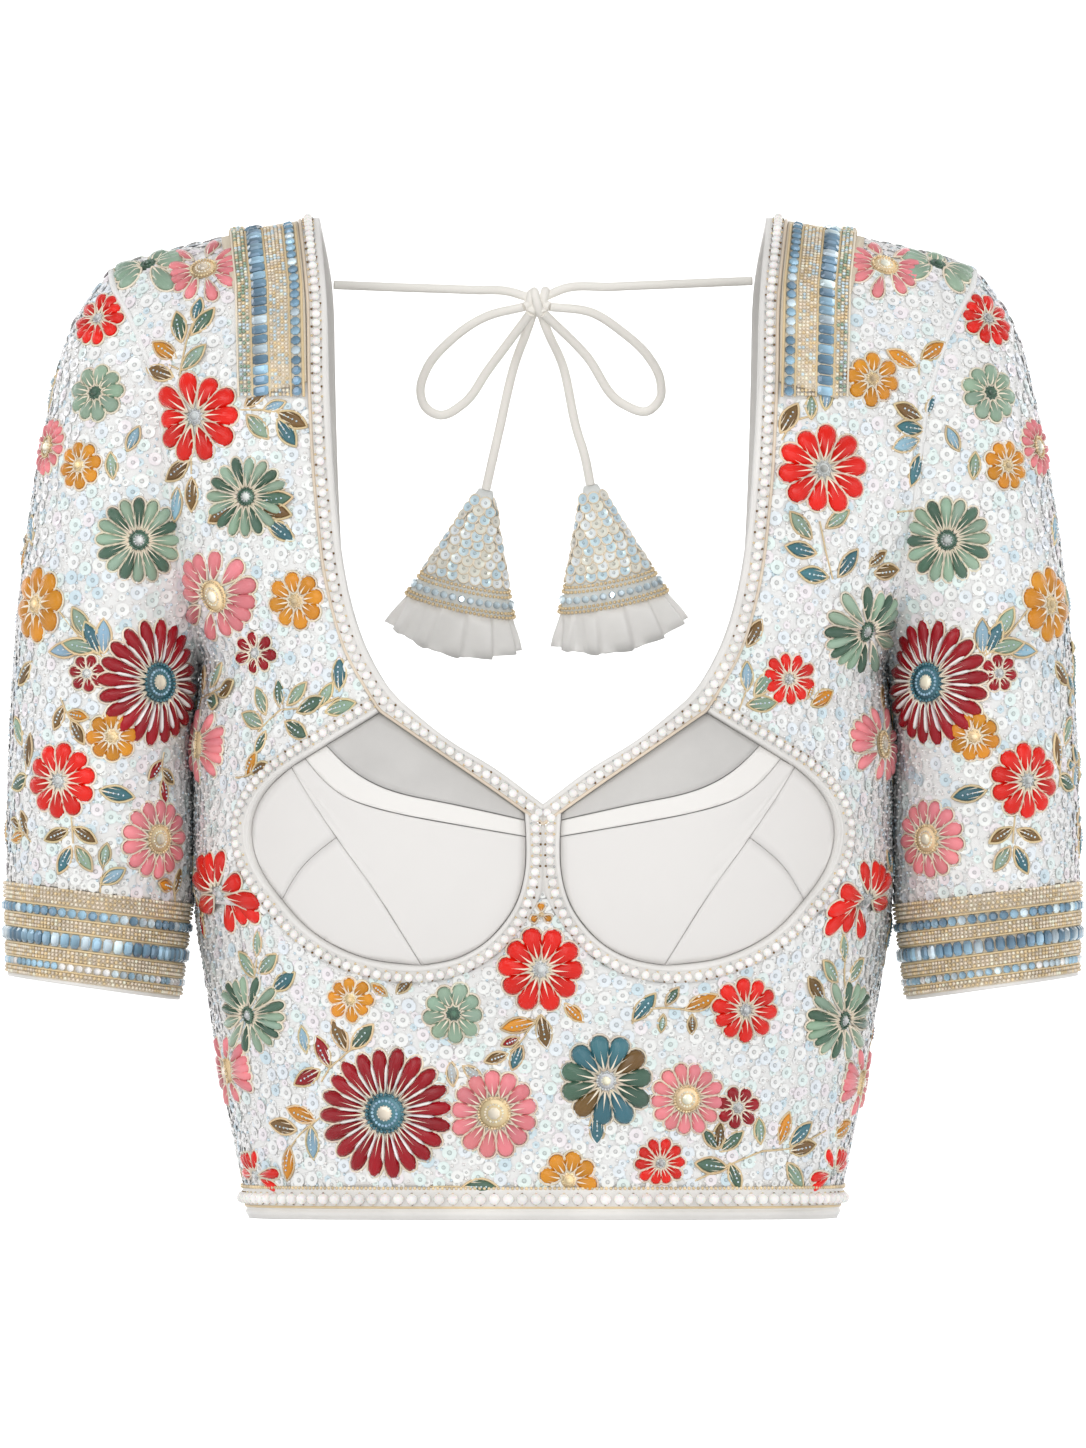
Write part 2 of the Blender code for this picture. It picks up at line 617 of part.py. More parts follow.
def build_borders():
    """The pearl-edged borders of the front neck, the cup windows and the back neck."""
    seam = chain(neck_seam_top, corner_edge[::-1], strap_edge, strap_end)
    edge = chain(outline(NECK_TOP, ARM_CELLS), outline(NECK_BEND, 2), outline(NECK_STRAP, 8),
                 outline(NECK_POINT, 2))
    skin = Skin.on_body(between(edge, seam, 2)).drawn_in("top foot end")
    both_sides("neck_border_front", skin, BORDER, EDGING, plain=False)
    post = outline((POST_FOOT, POST_TOP), 12)
    cup = Skin.on_body(between(chain(*window), chain(rim_side, rim_foot, post), 2))
    both_sides("cup_border", cup.drawn_in("top foot start end"), BORDER, EDGING, plain=False)
    back = between(outline(BACK_NECK, BACK_NECK_CELLS, back=True),
                   outline(BACK_SEAM, BACK_NECK_CELLS, back=True), 2)
    skin = Skin.on_body(back, back=True).drawn_in("top foot end")
    both_sides("neck_border_back", skin, BORDER, EDGING, plain=False)


def join_columns(*skins):
    """Skins side by side, with their shared columns kept once."""
    first, *rest = skins
    points = np.concatenate([first.points] + [skin.points[:, 1:] for skin in rest], axis=1)
    normals = np.concatenate([first.normals] + [skin.normals[:, 1:] for skin in rest], axis=1)
    return Skin(points, normals)


def hem_strip(skin, back):
    """The hem border below a panel, from the panel's own foot points."""
    foot = to_girth(skin.points[-1][:, [0, 2]])
    rows = [np.stack([foot[:, 0], np.full(len(foot), z)], axis=-1)
            for z in np.linspace(HEM_TOP_Z, HEM_Z, 3)]
    return Skin.on_body(from_girth(np.array(rows)), back=back)


def build_body():
    """Yokes, lower band, backs and the trims made from their points."""
    yoke, join = yoke_skin()
    band = band_skin(join)
    back = back_skin()
    hem_front = hem_strip(band, False)
    hem_back = hem_strip(back, True)
    hem_other = hem_back.mirrored()
    hem_other = Skin(hem_other.points[:, ::-1], hem_other.normals[:, ::-1])
    hem = join_columns(hem_back, hem_front, hem_other).drawn_in("top start end")
    wall("hem_border", hem, HEM, EDGING, plain=False)
    build_shoulder_bands(yoke, back)
    armhole = armhole_ring(yoke, back)
    for side, turn in (("left", yoke), ("right", yoke.mirrored())):
        panel(f"front_yoke_{side}", Skin(turn.points.copy(), turn.normals), "top foot start end",
              FRONT_FLOWERS, JEWEL_ROWS + 2)
    panel("front_band", band, "top foot start end", FRONT_FLOWERS)
    for side, turn in (("left", back), ("right", back.mirrored())):
        panel(f"back_{side}", turn, "top foot start end", BACK_FLOWERS, JEWEL_ROWS + 2)
    return armhole


def build_shoulder_bands(yoke, back):
    """The jewelled bands beside the neck, run over the shoulder from front to back."""
    rows = slice(0, JEWEL_ROWS + 1)
    columns = slice(0, JEWEL_COLUMNS + 1)
    front = yoke.part(rows, columns)
    rear = back.part(rows, columns)
    band = Skin(np.concatenate([rear.points[:0:-1], front.points]),
                np.concatenate([rear.normals[:0:-1], front.normals]))
    both_sides("shoulder_band", band.drawn_in("start"), JEWEL_BAND, JEWELLED, plain=False)


# ---------------------------------------------------------------- sleeves and cuffs
def armhole_ring(yoke, back):
    """The sleeve's first ring: round the armhole from the shoulder, down the front, up the back."""
    halves = []
    for skin in (yoke, back):
        edge = skin.points[:ARM_CELLS + 1, -1]
        inward = skin.points[:ARM_CELLS + 1, -2] - edge
        along = np.gradient(edge, axis=0)
        along = along / np.linalg.norm(along, axis=-1, keepdims=True)
        inward = inward - np.sum(inward * along, axis=-1, keepdims=True) * along
        inward = inward / np.linalg.norm(inward, axis=-1, keepdims=True)
        inward[-1] = (0.0, 0.0, -1.0)
        turning = np.clip(np.arange(ARM_CELLS + 1) / ARM_CELLS * 4.0 - 3.0, 0.0, 1.0)
        apart = SEAM_GAP / 2 + UNDERARM_EASE * turning
        halves.append((edge - apart[:, None] * inward, skin.normals[:ARM_CELLS + 1, -1]))
    (front, front_out), (rear, rear_out) = halves
    points = np.concatenate([front, rear[-2:0:-1]])
    normals = np.concatenate([front_out, rear_out[-2:0:-1]])
    return Skin(points[None], normals[None])


def sleeve_ring(edge, turns):
    """An oval ring across the sleeve between its outer and its underarm side."""
    outer = np.array([edge.outer_x, 0.0, edge.outer_z])
    inner = np.array([edge.inner_x, 0.0, edge.inner_z])
    middle = (outer + inner) / 2
    across = (outer - inner) / 2
    depth = np.array([0.0, -edge.depth, 0.0])
    return middle + np.cos(turns)[:, None] * across + np.sin(turns)[:, None] * depth


def sleeve_edge(down):
    """The sleeve's profile at any place down the arm."""
    read = [float(through(down, column(SLEEVE, "down"), column(SLEEVE, name)))
            for name in SleeveEdge._fields[1:]]
    return SleeveEdge(down, *read)


def sleeve_skin(armhole):
    """Sleeve and cuff as one grid of rings, so that their walls agree at the cuff seam."""
    count = 2 * ARM_CELLS
    turns = np.arange(count) * math.pi / ARM_CELLS
    cap = armhole.points[0] - sleeve_ring(SLEEVE[0], turns)
    rings = []
    for down in np.linspace(0.0, 1.0, SLEEVE_ROWS + 1):
        fade = max(0.0, 1.0 - down / CAP_BLEND) ** 2
        rings.append(sleeve_ring(sleeve_edge(float(down)), turns) + fade * cap)
    last = SLEEVE[-1]
    for share in np.linspace(0.0, 1.0, CUFF_ROWS + 1)[1:]:
        blend = [(1 - share) * a + share * b for a, b in zip(last, CUFF_FOOT)]
        rings.append(sleeve_ring(SleeveEdge(*blend), turns))
    points = np.array(rings)
    down_way = np.gradient(points, axis=0)
    round_way = np.roll(points, -1, axis=1) - np.roll(points, 1, axis=1)
    normals = np.cross(down_way, round_way)
    normals = normals / np.linalg.norm(normals, axis=-1, keepdims=True)
    centre = points.mean(axis=1, keepdims=True)
    if np.sum(normals[-1] * (points - centre)[-1]) < 0:
        normals = -normals
    normals[0] = armhole.normals[0]
    return Skin(points, normals)


def build_sleeves(armhole):
    """Both sleeves, each a front and a back half with padded flowers, and the jewelled cuffs."""
    whole = sleeve_skin(armhole)
    sleeve = whole.part(slice(0, SLEEVE_ROWS + 1), slice(None))
    cuff = whole.part(slice(SLEEVE_ROWS, None), slice(None))
    back_columns = np.arange(ARM_CELLS, 2 * ARM_CELLS + 1) % (2 * ARM_CELLS)
    for half, columns in (("front", np.arange(ARM_CELLS + 1)), ("back", back_columns)):
        skin = sleeve.part(slice(None), columns)
        rise = flower_rise(skin, SLEEVE_FLOWERS)
        rise[[0, -1]] = 0.0
        both_sides(f"sleeve_{half}", skin.drawn_in("start end foot"),
                   (PANEL[0], PANEL[1] + rise), SEQUINNED)
    both_sides("cuff", cuff.drawn_in("top"), CUFF, JEWELLED, wrap=True)


# ---------------------------------------------------------------- tie cord and tassels
class Lie(NamedTuple):
    """A route point of a cord that lies along the back: its front view place and its lift."""
    x: float
    z: float
    lift: float


KNOT_PLACE = Lie(-2.6, -33.5, 6.6)
LOOP_DEPTH = -2.6           # the loops leave the knot nearer the body than the tails
TAIL_DEPTH = 2.8
RUN_LEFT = (Lie(90.3, -25.4, 1.5), Lie(60, -26.6, 2.5), Lie(30, -27.8, 4.5))
RUN_RIGHT = (Lie(-90.3, -27.1, 1.5), Lie(-60, -28.2, 2.5), Lie(-30, -29.2, 4.5))
RUN_ANGLES = (24, 162)      # where the runs leave the knot, seen from the front
LOOP_LEFT = (Lie(21, -38.8, 3), Lie(34.5, -47.3, 2.4), Lie(45.3, -57.3, 2.2),
             Lie(50.8, -67.8, 2.2), Lie(50.6, -76.2, 2.2), Lie(44.8, -81.4, 2.2),
             Lie(34.8, -78.2, 2.2), Lie(18.8, -57.4, 2.4))
LOOP_RIGHT = (Lie(-24.5, -40.5, 3), Lie(-40.5, -51.2, 2.4), Lie(-50.6, -63.4, 2.2),
              Lie(-53.1, -73.2, 2.2), Lie(-50.4, -80.2, 2.2), Lie(-44.2, -83, 2.2),
              Lie(-34.8, -78.2, 2.2), Lie(-23.8, -63.4, 2.4))
TAIL_LEFT = (Lie(8.7, -62, 6), Lie(14.7, -89.5, 3.5))
TAIL_RIGHT = (Lie(-12.6, -62, 6), Lie(-19.1, -90, 3.5))


def lies(spot):
    """The place of a route point: as far off the body form's back as its lift."""
    depth = float(form_depth(spot.x, np.float64(spot.z), True))
    return Vector((spot.x, depth + spot.lift, spot.z))


KNOT = lies(KNOT_PLACE)


def smooth_route(points, spacing=3.0 * 2.0 * CORD_RADIUS):
    """A smooth curve through a cord's route points, read off every three diameters."""
    points = np.array([tuple(lies(point)) if isinstance(point, Lie) else tuple(point)
                       for point in points], float)
    reach = np.concatenate([[0.0], np.cumsum(np.linalg.norm(np.diff(points, axis=0), axis=1))])
    fine = np.linspace(0.0, reach[-1], 600)
    line = np.stack([through(fine, reach, points[:, k]) for k in range(3)], axis=-1)
    length = np.concatenate([[0.0], np.cumsum(np.linalg.norm(np.diff(line, axis=0), axis=1))])
    count = max(4, round(length[-1] / spacing))
    even = np.linspace(0.0, length[-1], count + 1)
    return np.stack([np.interp(even, length, line[:, k]) for k in range(3)], axis=-1)


def cord(name, points):
    """A round satin cord: a filled tube along its route."""
    curve = bpy.data.curves.new(name, "CURVE")
    curve.dimensions = "3D"
    curve.bevel_depth = CORD_RADIUS * MM
    curve.bevel_resolution = 2
    curve.use_fill_caps = True
    route = smooth_route(points)
    spline = curve.splines.new("POLY")
    spline.points.add(len(route) - 1)
    for point, place_mm in zip(spline.points, route):
        point.co = (*(place_mm * MM), 1.0)
    curve.materials.append(material(DORI, name))
    made = bpy.data.objects.new(name, curve)
    parts.objects.link(made)
    return made


def from_knot(degrees, depth, reach=CORD_START):
    """A point beside the knot, at an angle in the front view and a depth of its own."""
    flat = math.sqrt(reach**2 - depth**2)
    turn = math.radians(degrees)
    return KNOT + Vector((flat * math.cos(turn), depth, flat * math.sin(turn)))


def leaving(degrees, depth):
    """The first two points of a cord that leaves the knot squarely."""
    return (from_knot(degrees, depth), from_knot(degrees, depth * 1.5, 1.6 * CORD_START))


class Tassel(NamedTuple):
    """A latkan: where its cord enters, how far it leans outward, and its sizes."""
    apex: Lie
    lean: float
    cone_length: float
    cone_radius: float
    frill_length: float
    frill_radius: float


TASSEL_LEFT = Tassel(Lie(20.6, -113.2, 3.0), -11.2, 52.5, 23.8, 19.5, 28.5)
TASSEL_RIGHT = Tassel(Lie(-24.8, -115.2, 3.0), 12.6, 52.5, 23.8, 19.5, 28.5)
TASSEL_PITCH = 13.0         # tassels lie against the back, so their middle leans off it
TASSEL_FLATNESS = 0.45      # depth of a tassel as a share of its width
CONE_TOP_RADIUS = 3.2
CONE_WALL = 1.4
CONE_TURNS = 20
PLEATS = 12
PLEAT_DEPTH = 3.0
FRILL_SIDE_LIFT = 4.0       # the frill is shorter at its sides than at its middle
FRILL_WALL = 1.2


def turned(profile, turns, bulge=None):
    """Rings of points round the z axis, flattened in depth; bulge adds radius by turn."""
    rings = []
    for radius, z in profile:
        ring = []
        for k in range(turns):
            turn = 2 * math.pi * k / turns
            reach = radius + (bulge(k, z) if bulge else 0.0)
            ring.append((reach * math.cos(turn), TASSEL_FLATNESS * reach * math.sin(turn), z))
        rings.append(ring)
    return rings


def hanging(tassel):
    """How a tassel is turned, from hanging straight down."""
    return Euler((math.radians(TASSEL_PITCH), math.radians(tassel.lean), 0.0))


def hang(made, tassel):
    """Place a tassel's piece at its cord's end, leaning outward."""
    made.location = lies(tassel.apex) * MM
    made.rotation_euler = hanging(tassel)


def loft(name, rings, finish, closed_loop):
    """A closed body through rings of points: a ring of rings, or one capped at both ends."""
    mesh = bmesh.new()
    grid = [[mesh.verts.new(Vector(point) * MM) for point in ring] for ring in rings]
    pairs = list(zip(grid, grid[1:] + grid[:1])) if closed_loop else list(zip(grid, grid[1:]))
    for upper, lower in pairs:
        for j in range(len(upper)):
            k = (j + 1) % len(upper)
            mesh.faces.new((upper[j], upper[k], lower[k]))
            mesh.faces.new((upper[j], lower[k], lower[j]))
    if not closed_loop:
        mesh.faces.new(grid[0])
        mesh.faces.new(grid[-1])
        bmesh.ops.triangulate(mesh, faces=[face for face in mesh.faces if len(face.verts) > 4])
    return place(name, mesh, finish)


def build_tassel(side, tassel):
    """An embroidered hollow cone and the pleated satin frill sewn inside its mouth."""
    length = tassel.cone_length
    mouth = tassel.cone_radius

    def cone(share):
        return CONE_TOP_RADIUS + (mouth - CONE_TOP_RADIUS) * share**1.08

    outside = [(cone(share), -length * share) for share in (0.0, 0.33, 0.67, 1.0)]
    inside = [(cone(share) - CONE_WALL, -length * share) for share in (1.0, 0.3)]
    rings = turned([(CONE_TOP_RADIUS * 0.5, 0.0)] + outside + inside, CONE_TURNS)
    tip = turned([(0.9, -length * 0.12)], CONE_TURNS)
    made = loft(f"tassel_cone_{side}", rings + tip, TASSEL_CONE, closed_loop=False)
    hang(made, tassel)

    top = -length - SEAM_GAP
    foot = top - tassel.frill_length
    turns = 4 * PLEATS

    def pleat(k, z):
        rise = PLEAT_DEPTH * (0.5 if k % 4 in (0, 1) else -0.5)
        return rise * (top - z) / tassel.frill_length

    widths = [(mouth - 0.4, top), (tassel.frill_radius, foot)]
    outer = turned(widths, turns, pleat)
    inner = turned([(radius - FRILL_WALL / TASSEL_FLATNESS * 0.75, z) for radius, z in widths[::-1]],
                   turns, pleat)
    grid = [[(x, y, z - FRILL_SIDE_LIFT * (x / mouth)**2 * (z - top) / tassel.frill_length)
             for x, y, z in ring] for ring in outer + inner]
    made = loft(f"tassel_frill_{side}", grid, TASSEL_FRILL, closed_loop=True)
    hang(made, tassel)


def build_tie():
    """The dori: two runs from the neck edges, the bow's loops and tails, its knot and tassels."""
    knot = bmesh.new()
    bmesh.ops.create_uvsphere(knot, u_segments=12, v_segments=8, radius=KNOT_RADIUS * MM)
    made = place("dori_knot", knot, DORI)
    made.location = KNOT * MM
    cord("dori_run_left", RUN_LEFT + leaving(RUN_ANGLES[0], 0.0)[::-1])
    cord("dori_run_right", RUN_RIGHT + leaving(RUN_ANGLES[1], 0.0)[::-1])
    cord("dori_loop_left", leaving(333, LOOP_DEPTH) + LOOP_LEFT + leaving(297, LOOP_DEPTH)[::-1])
    cord("dori_loop_right", leaving(207, LOOP_DEPTH) + LOOP_RIGHT + leaving(243, LOOP_DEPTH)[::-1])
    for side, degrees, route, tassel in (("left", 288, TAIL_LEFT, TASSEL_LEFT),
                                         ("right", 252, TAIL_RIGHT, TASSEL_RIGHT)):
        axis = hanging(tassel).to_matrix() @ Vector((0.0, 0.0, 1.0))
        end = lies(tassel.apex) + axis * SEAM_GAP
        cord(f"dori_tail_{side}", leaving(degrees, TAIL_DEPTH) + route + (end + axis * 13.0, end))
        build_tassel(side, tassel)


def main():
    armhole = build_body()
    build_cups()
    build_borders()
    build_sleeves(armhole)
    build_tie()


main()
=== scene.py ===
import logging
import math
from dataclasses import dataclass, field
from enum import Enum
from functools import lru_cache, partial
from typing import Callable, NamedTuple, Sequence

import bmesh
import bpy
import numpy as np
from mathutils import Matrix, Vector
from mathutils.bvhtree import BVHTree


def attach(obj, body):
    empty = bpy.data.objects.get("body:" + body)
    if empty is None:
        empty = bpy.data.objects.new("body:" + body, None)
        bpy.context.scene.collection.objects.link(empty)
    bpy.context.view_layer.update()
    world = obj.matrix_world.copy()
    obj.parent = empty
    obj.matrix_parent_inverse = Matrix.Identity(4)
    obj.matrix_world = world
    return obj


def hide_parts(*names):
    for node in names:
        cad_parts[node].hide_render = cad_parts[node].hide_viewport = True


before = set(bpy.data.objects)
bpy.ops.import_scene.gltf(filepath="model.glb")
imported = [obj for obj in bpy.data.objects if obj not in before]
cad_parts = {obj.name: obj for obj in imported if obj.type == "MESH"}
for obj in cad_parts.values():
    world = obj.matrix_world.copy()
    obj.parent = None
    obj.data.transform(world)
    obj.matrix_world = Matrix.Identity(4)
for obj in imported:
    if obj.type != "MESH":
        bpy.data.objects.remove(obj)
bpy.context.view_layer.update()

MM = 0.001                  # one millimetre: every table and size below is in millimetres
BODY = "root"
SEED = 2611
log = logging.getLogger("choli_blouse")

Array = np.ndarray
Colour = tuple[float, float, float]


# ---------------------------------------------------------------- palette
class Tint(Enum):
    """Thread, bead and cloth colours of the blouse, as linear red, green and blue."""

    WHITE = (0.92, 0.92, 0.91)
    PEARL = (0.94, 0.925, 0.90)
    CREAM = (0.93, 0.83, 0.67)
    BEIGE = (0.82, 0.70, 0.56)
    GOLD = (0.82, 0.64, 0.38)
    RED = (0.84, 0.012, 0.004)
    RUBY = (0.36, 0.001, 0.010)
    PINK = (0.90, 0.27, 0.30)
    MUSTARD = (0.76, 0.30, 0.020)
    SAGE = (0.33, 0.47, 0.35)
    GREEN = (0.085, 0.165, 0.115)
    TEAL = (0.060, 0.190, 0.235)
    ICE = (0.66, 0.80, 0.88)
    SKY = (0.34, 0.55, 0.70)
    STEEL = (0.17, 0.31, 0.43)
    BROWN = (0.20, 0.11, 0.035)
    SILVER = (0.58, 0.60, 0.60)

    @property
    def rgb(self) -> Array:
        """The colour as an array."""
        return np.array(self.value)


# ---------------------------------------------------------------- the body form
class Section(NamedTuple):
    """A level section of the worn body form."""

    z: float
    half_width: float
    front: float
    back: float


class Spot(NamedTuple):
    """A point of an outline on the body, seen from the front."""

    x: float
    z: float


def through(at: Array, knots: Sequence[float], values: Sequence[float]) -> Array:
    """A smooth curve through a table of values.

    Args:
        at: Where the curve is read.
        knots: Rising places of the table.
        values: The table's values.

    Returns:
        The curve's value at each place.
    """
    knots = np.asarray(knots, float)
    values = np.asarray(values, float)
    if len(knots) == 2:
        return np.interp(at, knots, values)
    slopes = np.gradient(values, knots)
    at = np.clip(at, knots[0], knots[-1])
    k = np.clip(np.searchsorted(knots, at, side="right") - 1, 0, len(knots) - 2)
    step = knots[k + 1] - knots[k]
    t = (at - knots[k]) / step
    return ((2 * t**3 - 3 * t**2 + 1) * values[k] + (t**3 - 2 * t**2 + t) * step * slopes[k]
            + (3 * t**2 - 2 * t**3) * values[k + 1] + (t**3 - t**2) * step * slopes[k + 1])


def unit(vectors: Array) -> Array:
    """Vectors scaled to length one."""
    return vectors / np.maximum(np.linalg.norm(vectors, axis=-1, keepdims=True), 1e-9)


@dataclass(frozen=True)
class BodyForm:
    """The worn form that the body panels follow, front and back."""

    sections: tuple[Section, ...] = (
        Section(-429.0, 123.4, 93.0, 88.0), Section(-383.0, 133.2, 96.0, 87.0),
        Section(-340.0, 140.8, 104.0, 90.0), Section(-292.0, 147.2, 115.0, 96.0),
        Section(-232.0, 147.4, 118.0, 102.0), Section(-190.0, 145.3, 114.0, 103.0),
        Section(-180.0, 150.0, 112.0, 103.0), Section(-150.0, 166.0, 106.0, 101.0),
        Section(-104.0, 182.0, 96.0, 97.0), Section(-60.0, 195.0, 88.0, 90.0),
        Section(-22.0, 209.0, 80.0, 82.0), Section(0.0, 215.0, 76.0, 78.0))
    shoulder: tuple[Spot, ...] = (
        Spot(0, -2), Spot(97, -2), Spot(113, -4), Spot(133, -8.5), Spot(154, -13.5),
        Spot(178, -20), Spot(185, -23.5), Spot(200, -29))
    roundness: float = 2.4
    shoulder_round: float = 110.0
    cup_fullness: float = 9.0
    cup_centre: Spot = Spot(66.0, -266.0)
    cup_spread: Spot = Spot(44.0, 50.0)
    slope_step: float = 0.05

    def _column(self, name: str) -> list[float]:
        """One column of the section table."""
        return [getattr(section, name) for section in self.sections]

    def half_width(self, z: Array) -> Array:
        """Half the form's width at a height."""
        return through(z, self._column("z"), self._column("half_width"))

    def depth(self, x: Array, z: Array, back: bool) -> Array:
        """How far the form stands out from the side plane.

        Args:
            x: Sideways places.
            z: Heights.
            back: Whether the back is read instead of the front.

        Returns:
            The depth at each place.
        """
        level = through(z, self._column("z"), self._column("back" if back else "front"))
        share = np.clip(np.abs(x) / self.half_width(z), 0.0, 1.0)
        depth = level * (1.0 - share**self.roundness) ** (1.0 / self.roundness)
        top = np.interp(np.abs(x), [s.x for s in self.shoulder], [s.z for s in self.shoulder])
        opened = np.clip((top - z) / self.shoulder_round, 0.0, 1.0)
        depth = depth * np.sqrt(1.0 - (1.0 - opened) ** 2)
        if back:
            return depth
        across = (np.abs(x) - self.cup_centre.x) / self.cup_spread.x
        along = (z - self.cup_centre.z) / self.cup_spread.z
        fullness = self.cup_fullness * np.exp(-across**2 - along**2)
        return depth + fullness * np.sqrt(1.0 - share**4)

    def points(self, x: Array, z: Array, back: bool) -> Array:
        """Points of the form at front view places."""
        x = np.asarray(x, float)
        z = np.asarray(z, float)
        depth = self.depth(x, z, back)
        return np.stack([x, depth if back else -depth, z], axis=-1)

    def normals(self, x: Array, z: Array, back: bool) -> Array:
        """Outward directions of the form, from the slope of its squared depth."""
        x = np.asarray(x, float)
        z = np.asarray(z, float)
        step = self.slope_step

        def slope(dx: float, dz: float) -> Array:
            """Slope of the squared depth one way."""
            ahead = self.depth(x + dx, z + dz, back) ** 2
            behind = self.depth(x - dx, z - dz, back) ** 2
            return (ahead - behind) / (2 * step)

        facing = 2 * self.depth(x, z, back) * (1.0 if back else -1.0)
        return unit(np.stack([-slope(step, 0.0), facing, -slope(0.0, step)], axis=-1))


FORM = BodyForm()
OTHER_SIDE = np.array([-1.0, 1.0, 1.0])     # turns a place over to the other side
FINE_STEPS = 900


class Rail:
    """A line that trims are sewn along, with the outward direction at each point."""

    def __init__(self, points: Array, normals: Array) -> None:
        """Keeps the line's points and directions, in millimetres."""
        self.points = np.asarray(points, float)
        self.normals = unit(np.asarray(normals, float))
        steps = np.linalg.norm(np.diff(self.points, axis=0), axis=1)
        self.reach = np.concatenate([[0.0], np.cumsum(steps)])

    @property
    def length(self) -> float:
        """The line's whole length."""
        return float(self.reach[-1])

    def read(self, at: Array) -> tuple[Array, Array, Array]:
        """The line at given distances from its start.

        Args:
            at: Distances along the line.

        Returns:
            Points, forward directions and outward directions.
        """
        points = np.stack([np.interp(at, self.reach, self.points[:, k]) for k in range(3)], axis=-1)
        normals = unit(np.stack([np.interp(at, self.reach, self.normals[:, k])
                                 for k in range(3)], axis=-1))
        way = unit(np.gradient(self.points, self.reach, axis=0))
        along = unit(np.stack([np.interp(at, self.reach, way[:, k]) for k in range(3)], axis=-1))
        along = unit(along - np.sum(along * normals, axis=-1, keepdims=True) * normals)
        return points, along, normals

    def spaced(self, pitch: float, shift: float = 0.5) -> tuple[Array, Array, Array]:
        """The line read at even steps as near the pitch as its length allows."""
        count = max(1, round(self.length / pitch))
        return self.read((np.arange(count) + shift) * self.length / count)

    def lifted(self, height: float) -> "Rail":
        """The same line, further out."""
        return Rail(self.points + height * self.normals, self.normals)

    def mirrored(self) -> "Rail":
        """The line on the other side of the body."""
        return Rail(self.points * OTHER_SIDE, self.normals * OTHER_SIDE)


def outline(spots: Sequence[Spot], cells: int, back: bool = False) -> Array:
    """Front view places along an outline, evenly spaced over its true length.

    Args:
        spots: The outline's own points.
        cells: How many steps it is read in.
        back: Whether it lies on the back.

    Returns:
        An array of x and z.
    """
    x = np.array([spot.x for spot in spots], float)
    z = np.array([spot.z for spot in spots], float)
    reach = np.concatenate([[0.0], np.cumsum(np.hypot(np.diff(x), np.diff(z)))])
    fine = np.linspace(0.0, reach[-1], FINE_STEPS)
    flat = np.stack([through(fine, reach, x), through(fine, reach, z)], axis=-1)
    solid = FORM.points(flat[:, 0], flat[:, 1], back)
    length = np.concatenate([[0.0], np.cumsum(np.linalg.norm(np.diff(solid, axis=0), axis=1))])
    even = np.linspace(0.0, length[-1], cells + 1)
    return np.stack([np.interp(even, length, flat[:, k]) for k in range(2)], axis=-1)


def body_rail(flat: Array, height: float, back: bool = False) -> Rail:
    """A rail at a height above the body form, from front view places."""
    points = FORM.points(flat[:, 0], flat[:, 1], back)
    return Rail(points, FORM.normals(flat[:, 0], flat[:, 1], back)).lifted(height)


# ---------------------------------------------------------------- finishes
class Wiring:
    """A node tree as it is wired up, for a material or a shared effect."""

    def __init__(self, tree: bpy.types.NodeTree) -> None:
        """Starts an empty tree."""
        self.tree = tree
        tree.nodes.clear()

    def add(self, kind: str, inputs: dict[str | int, object] | None = None,
            **settings: object) -> bpy.types.Node:
        """Adds one node.

        Args:
            kind: Blender's name of the node.
            inputs: Values or sockets for its inputs.
            settings: The node's own properties.

        Returns:
            The new node.
        """
        node = self.tree.nodes.new(kind)
        for name, value in settings.items():
            setattr(node, name, value)
        for name, value in (inputs or {}).items():
            if isinstance(value, bpy.types.NodeSocket):
                self.tree.links.new(value, node.inputs[name])
            else:
                node.inputs[name].default_value = value
        return node

    def math(self, operation: str, *values: object) -> bpy.types.NodeSocket:
        """A Math node's result."""
        node = self.add("ShaderNodeMath", dict(enumerate(values)), operation=operation)
        return node.outputs[0]

    def mix(self, share: object, first: object, second: object,
            how: str = "MIX") -> bpy.types.NodeSocket:
        """Two colours mixed by a share."""
        node = self.add("ShaderNodeMix", {0: share, 6: first, 7: second}, data_type="RGBA",
                        blend_type=how)
        return node.outputs[2]

    def ramp(self, value: object, low: float, high: float, start: float = 0.0,
             end: float = 1.0) -> bpy.types.NodeSocket:
        """A value moved smoothly from one range to another."""
        node = self.add("ShaderNodeMapRange", {0: value, 1: low, 2: high, 3: start, 4: end},
                        interpolation_type="SMOOTHSTEP")
        return node.outputs[0]


class Effect:
    """A surface effect shared by several finishes, built once as a node group."""

    _made: dict[str, bpy.types.NodeTree] = {}

    def __init__(self, name: str, inputs: dict[str, float], outputs: Sequence[str],
                 wire: Callable[[Wiring, bpy.types.Node], dict[str, object]]) -> None:
        """Keeps what the group is called, what it takes and puts out, and how it is wired."""
        self.name = name
        self.inputs = inputs
        self.outputs = outputs
        self.wire = wire

    def group(self) -> bpy.types.NodeTree:
        """The node group, made the first time that it is asked for."""
        if self.name not in self._made:
            tree = bpy.data.node_groups.new(self.name, "ShaderNodeTree")
            for name, value in self.inputs.items():
                socket = tree.interface.new_socket(name, in_out="INPUT",
                                                   socket_type="NodeSocketFloat")
                socket.default_value = value
            for name in self.outputs:
                tree.interface.new_socket(name, in_out="OUTPUT", socket_type="NodeSocketFloat")
            wiring = Wiring(tree)
            entry = wiring.add("NodeGroupInput")
            wiring.add("NodeGroupOutput", self.wire(wiring, entry))
            self._made[self.name] = tree
        return self._made[self.name]

    def place(self, wiring: Wiring, **values: float) -> bpy.types.Node:
        """Places the group in a material with that material's own values."""
        node = wiring.add("ShaderNodeGroup", node_tree=self.group())
        for name, value in values.items():
            node.inputs[name.replace("_", " ").capitalize()].default_value = value
        return node


YARN_NOISE = 420.0          # noise patches in a metre
STITCH_NOISE = 260.0


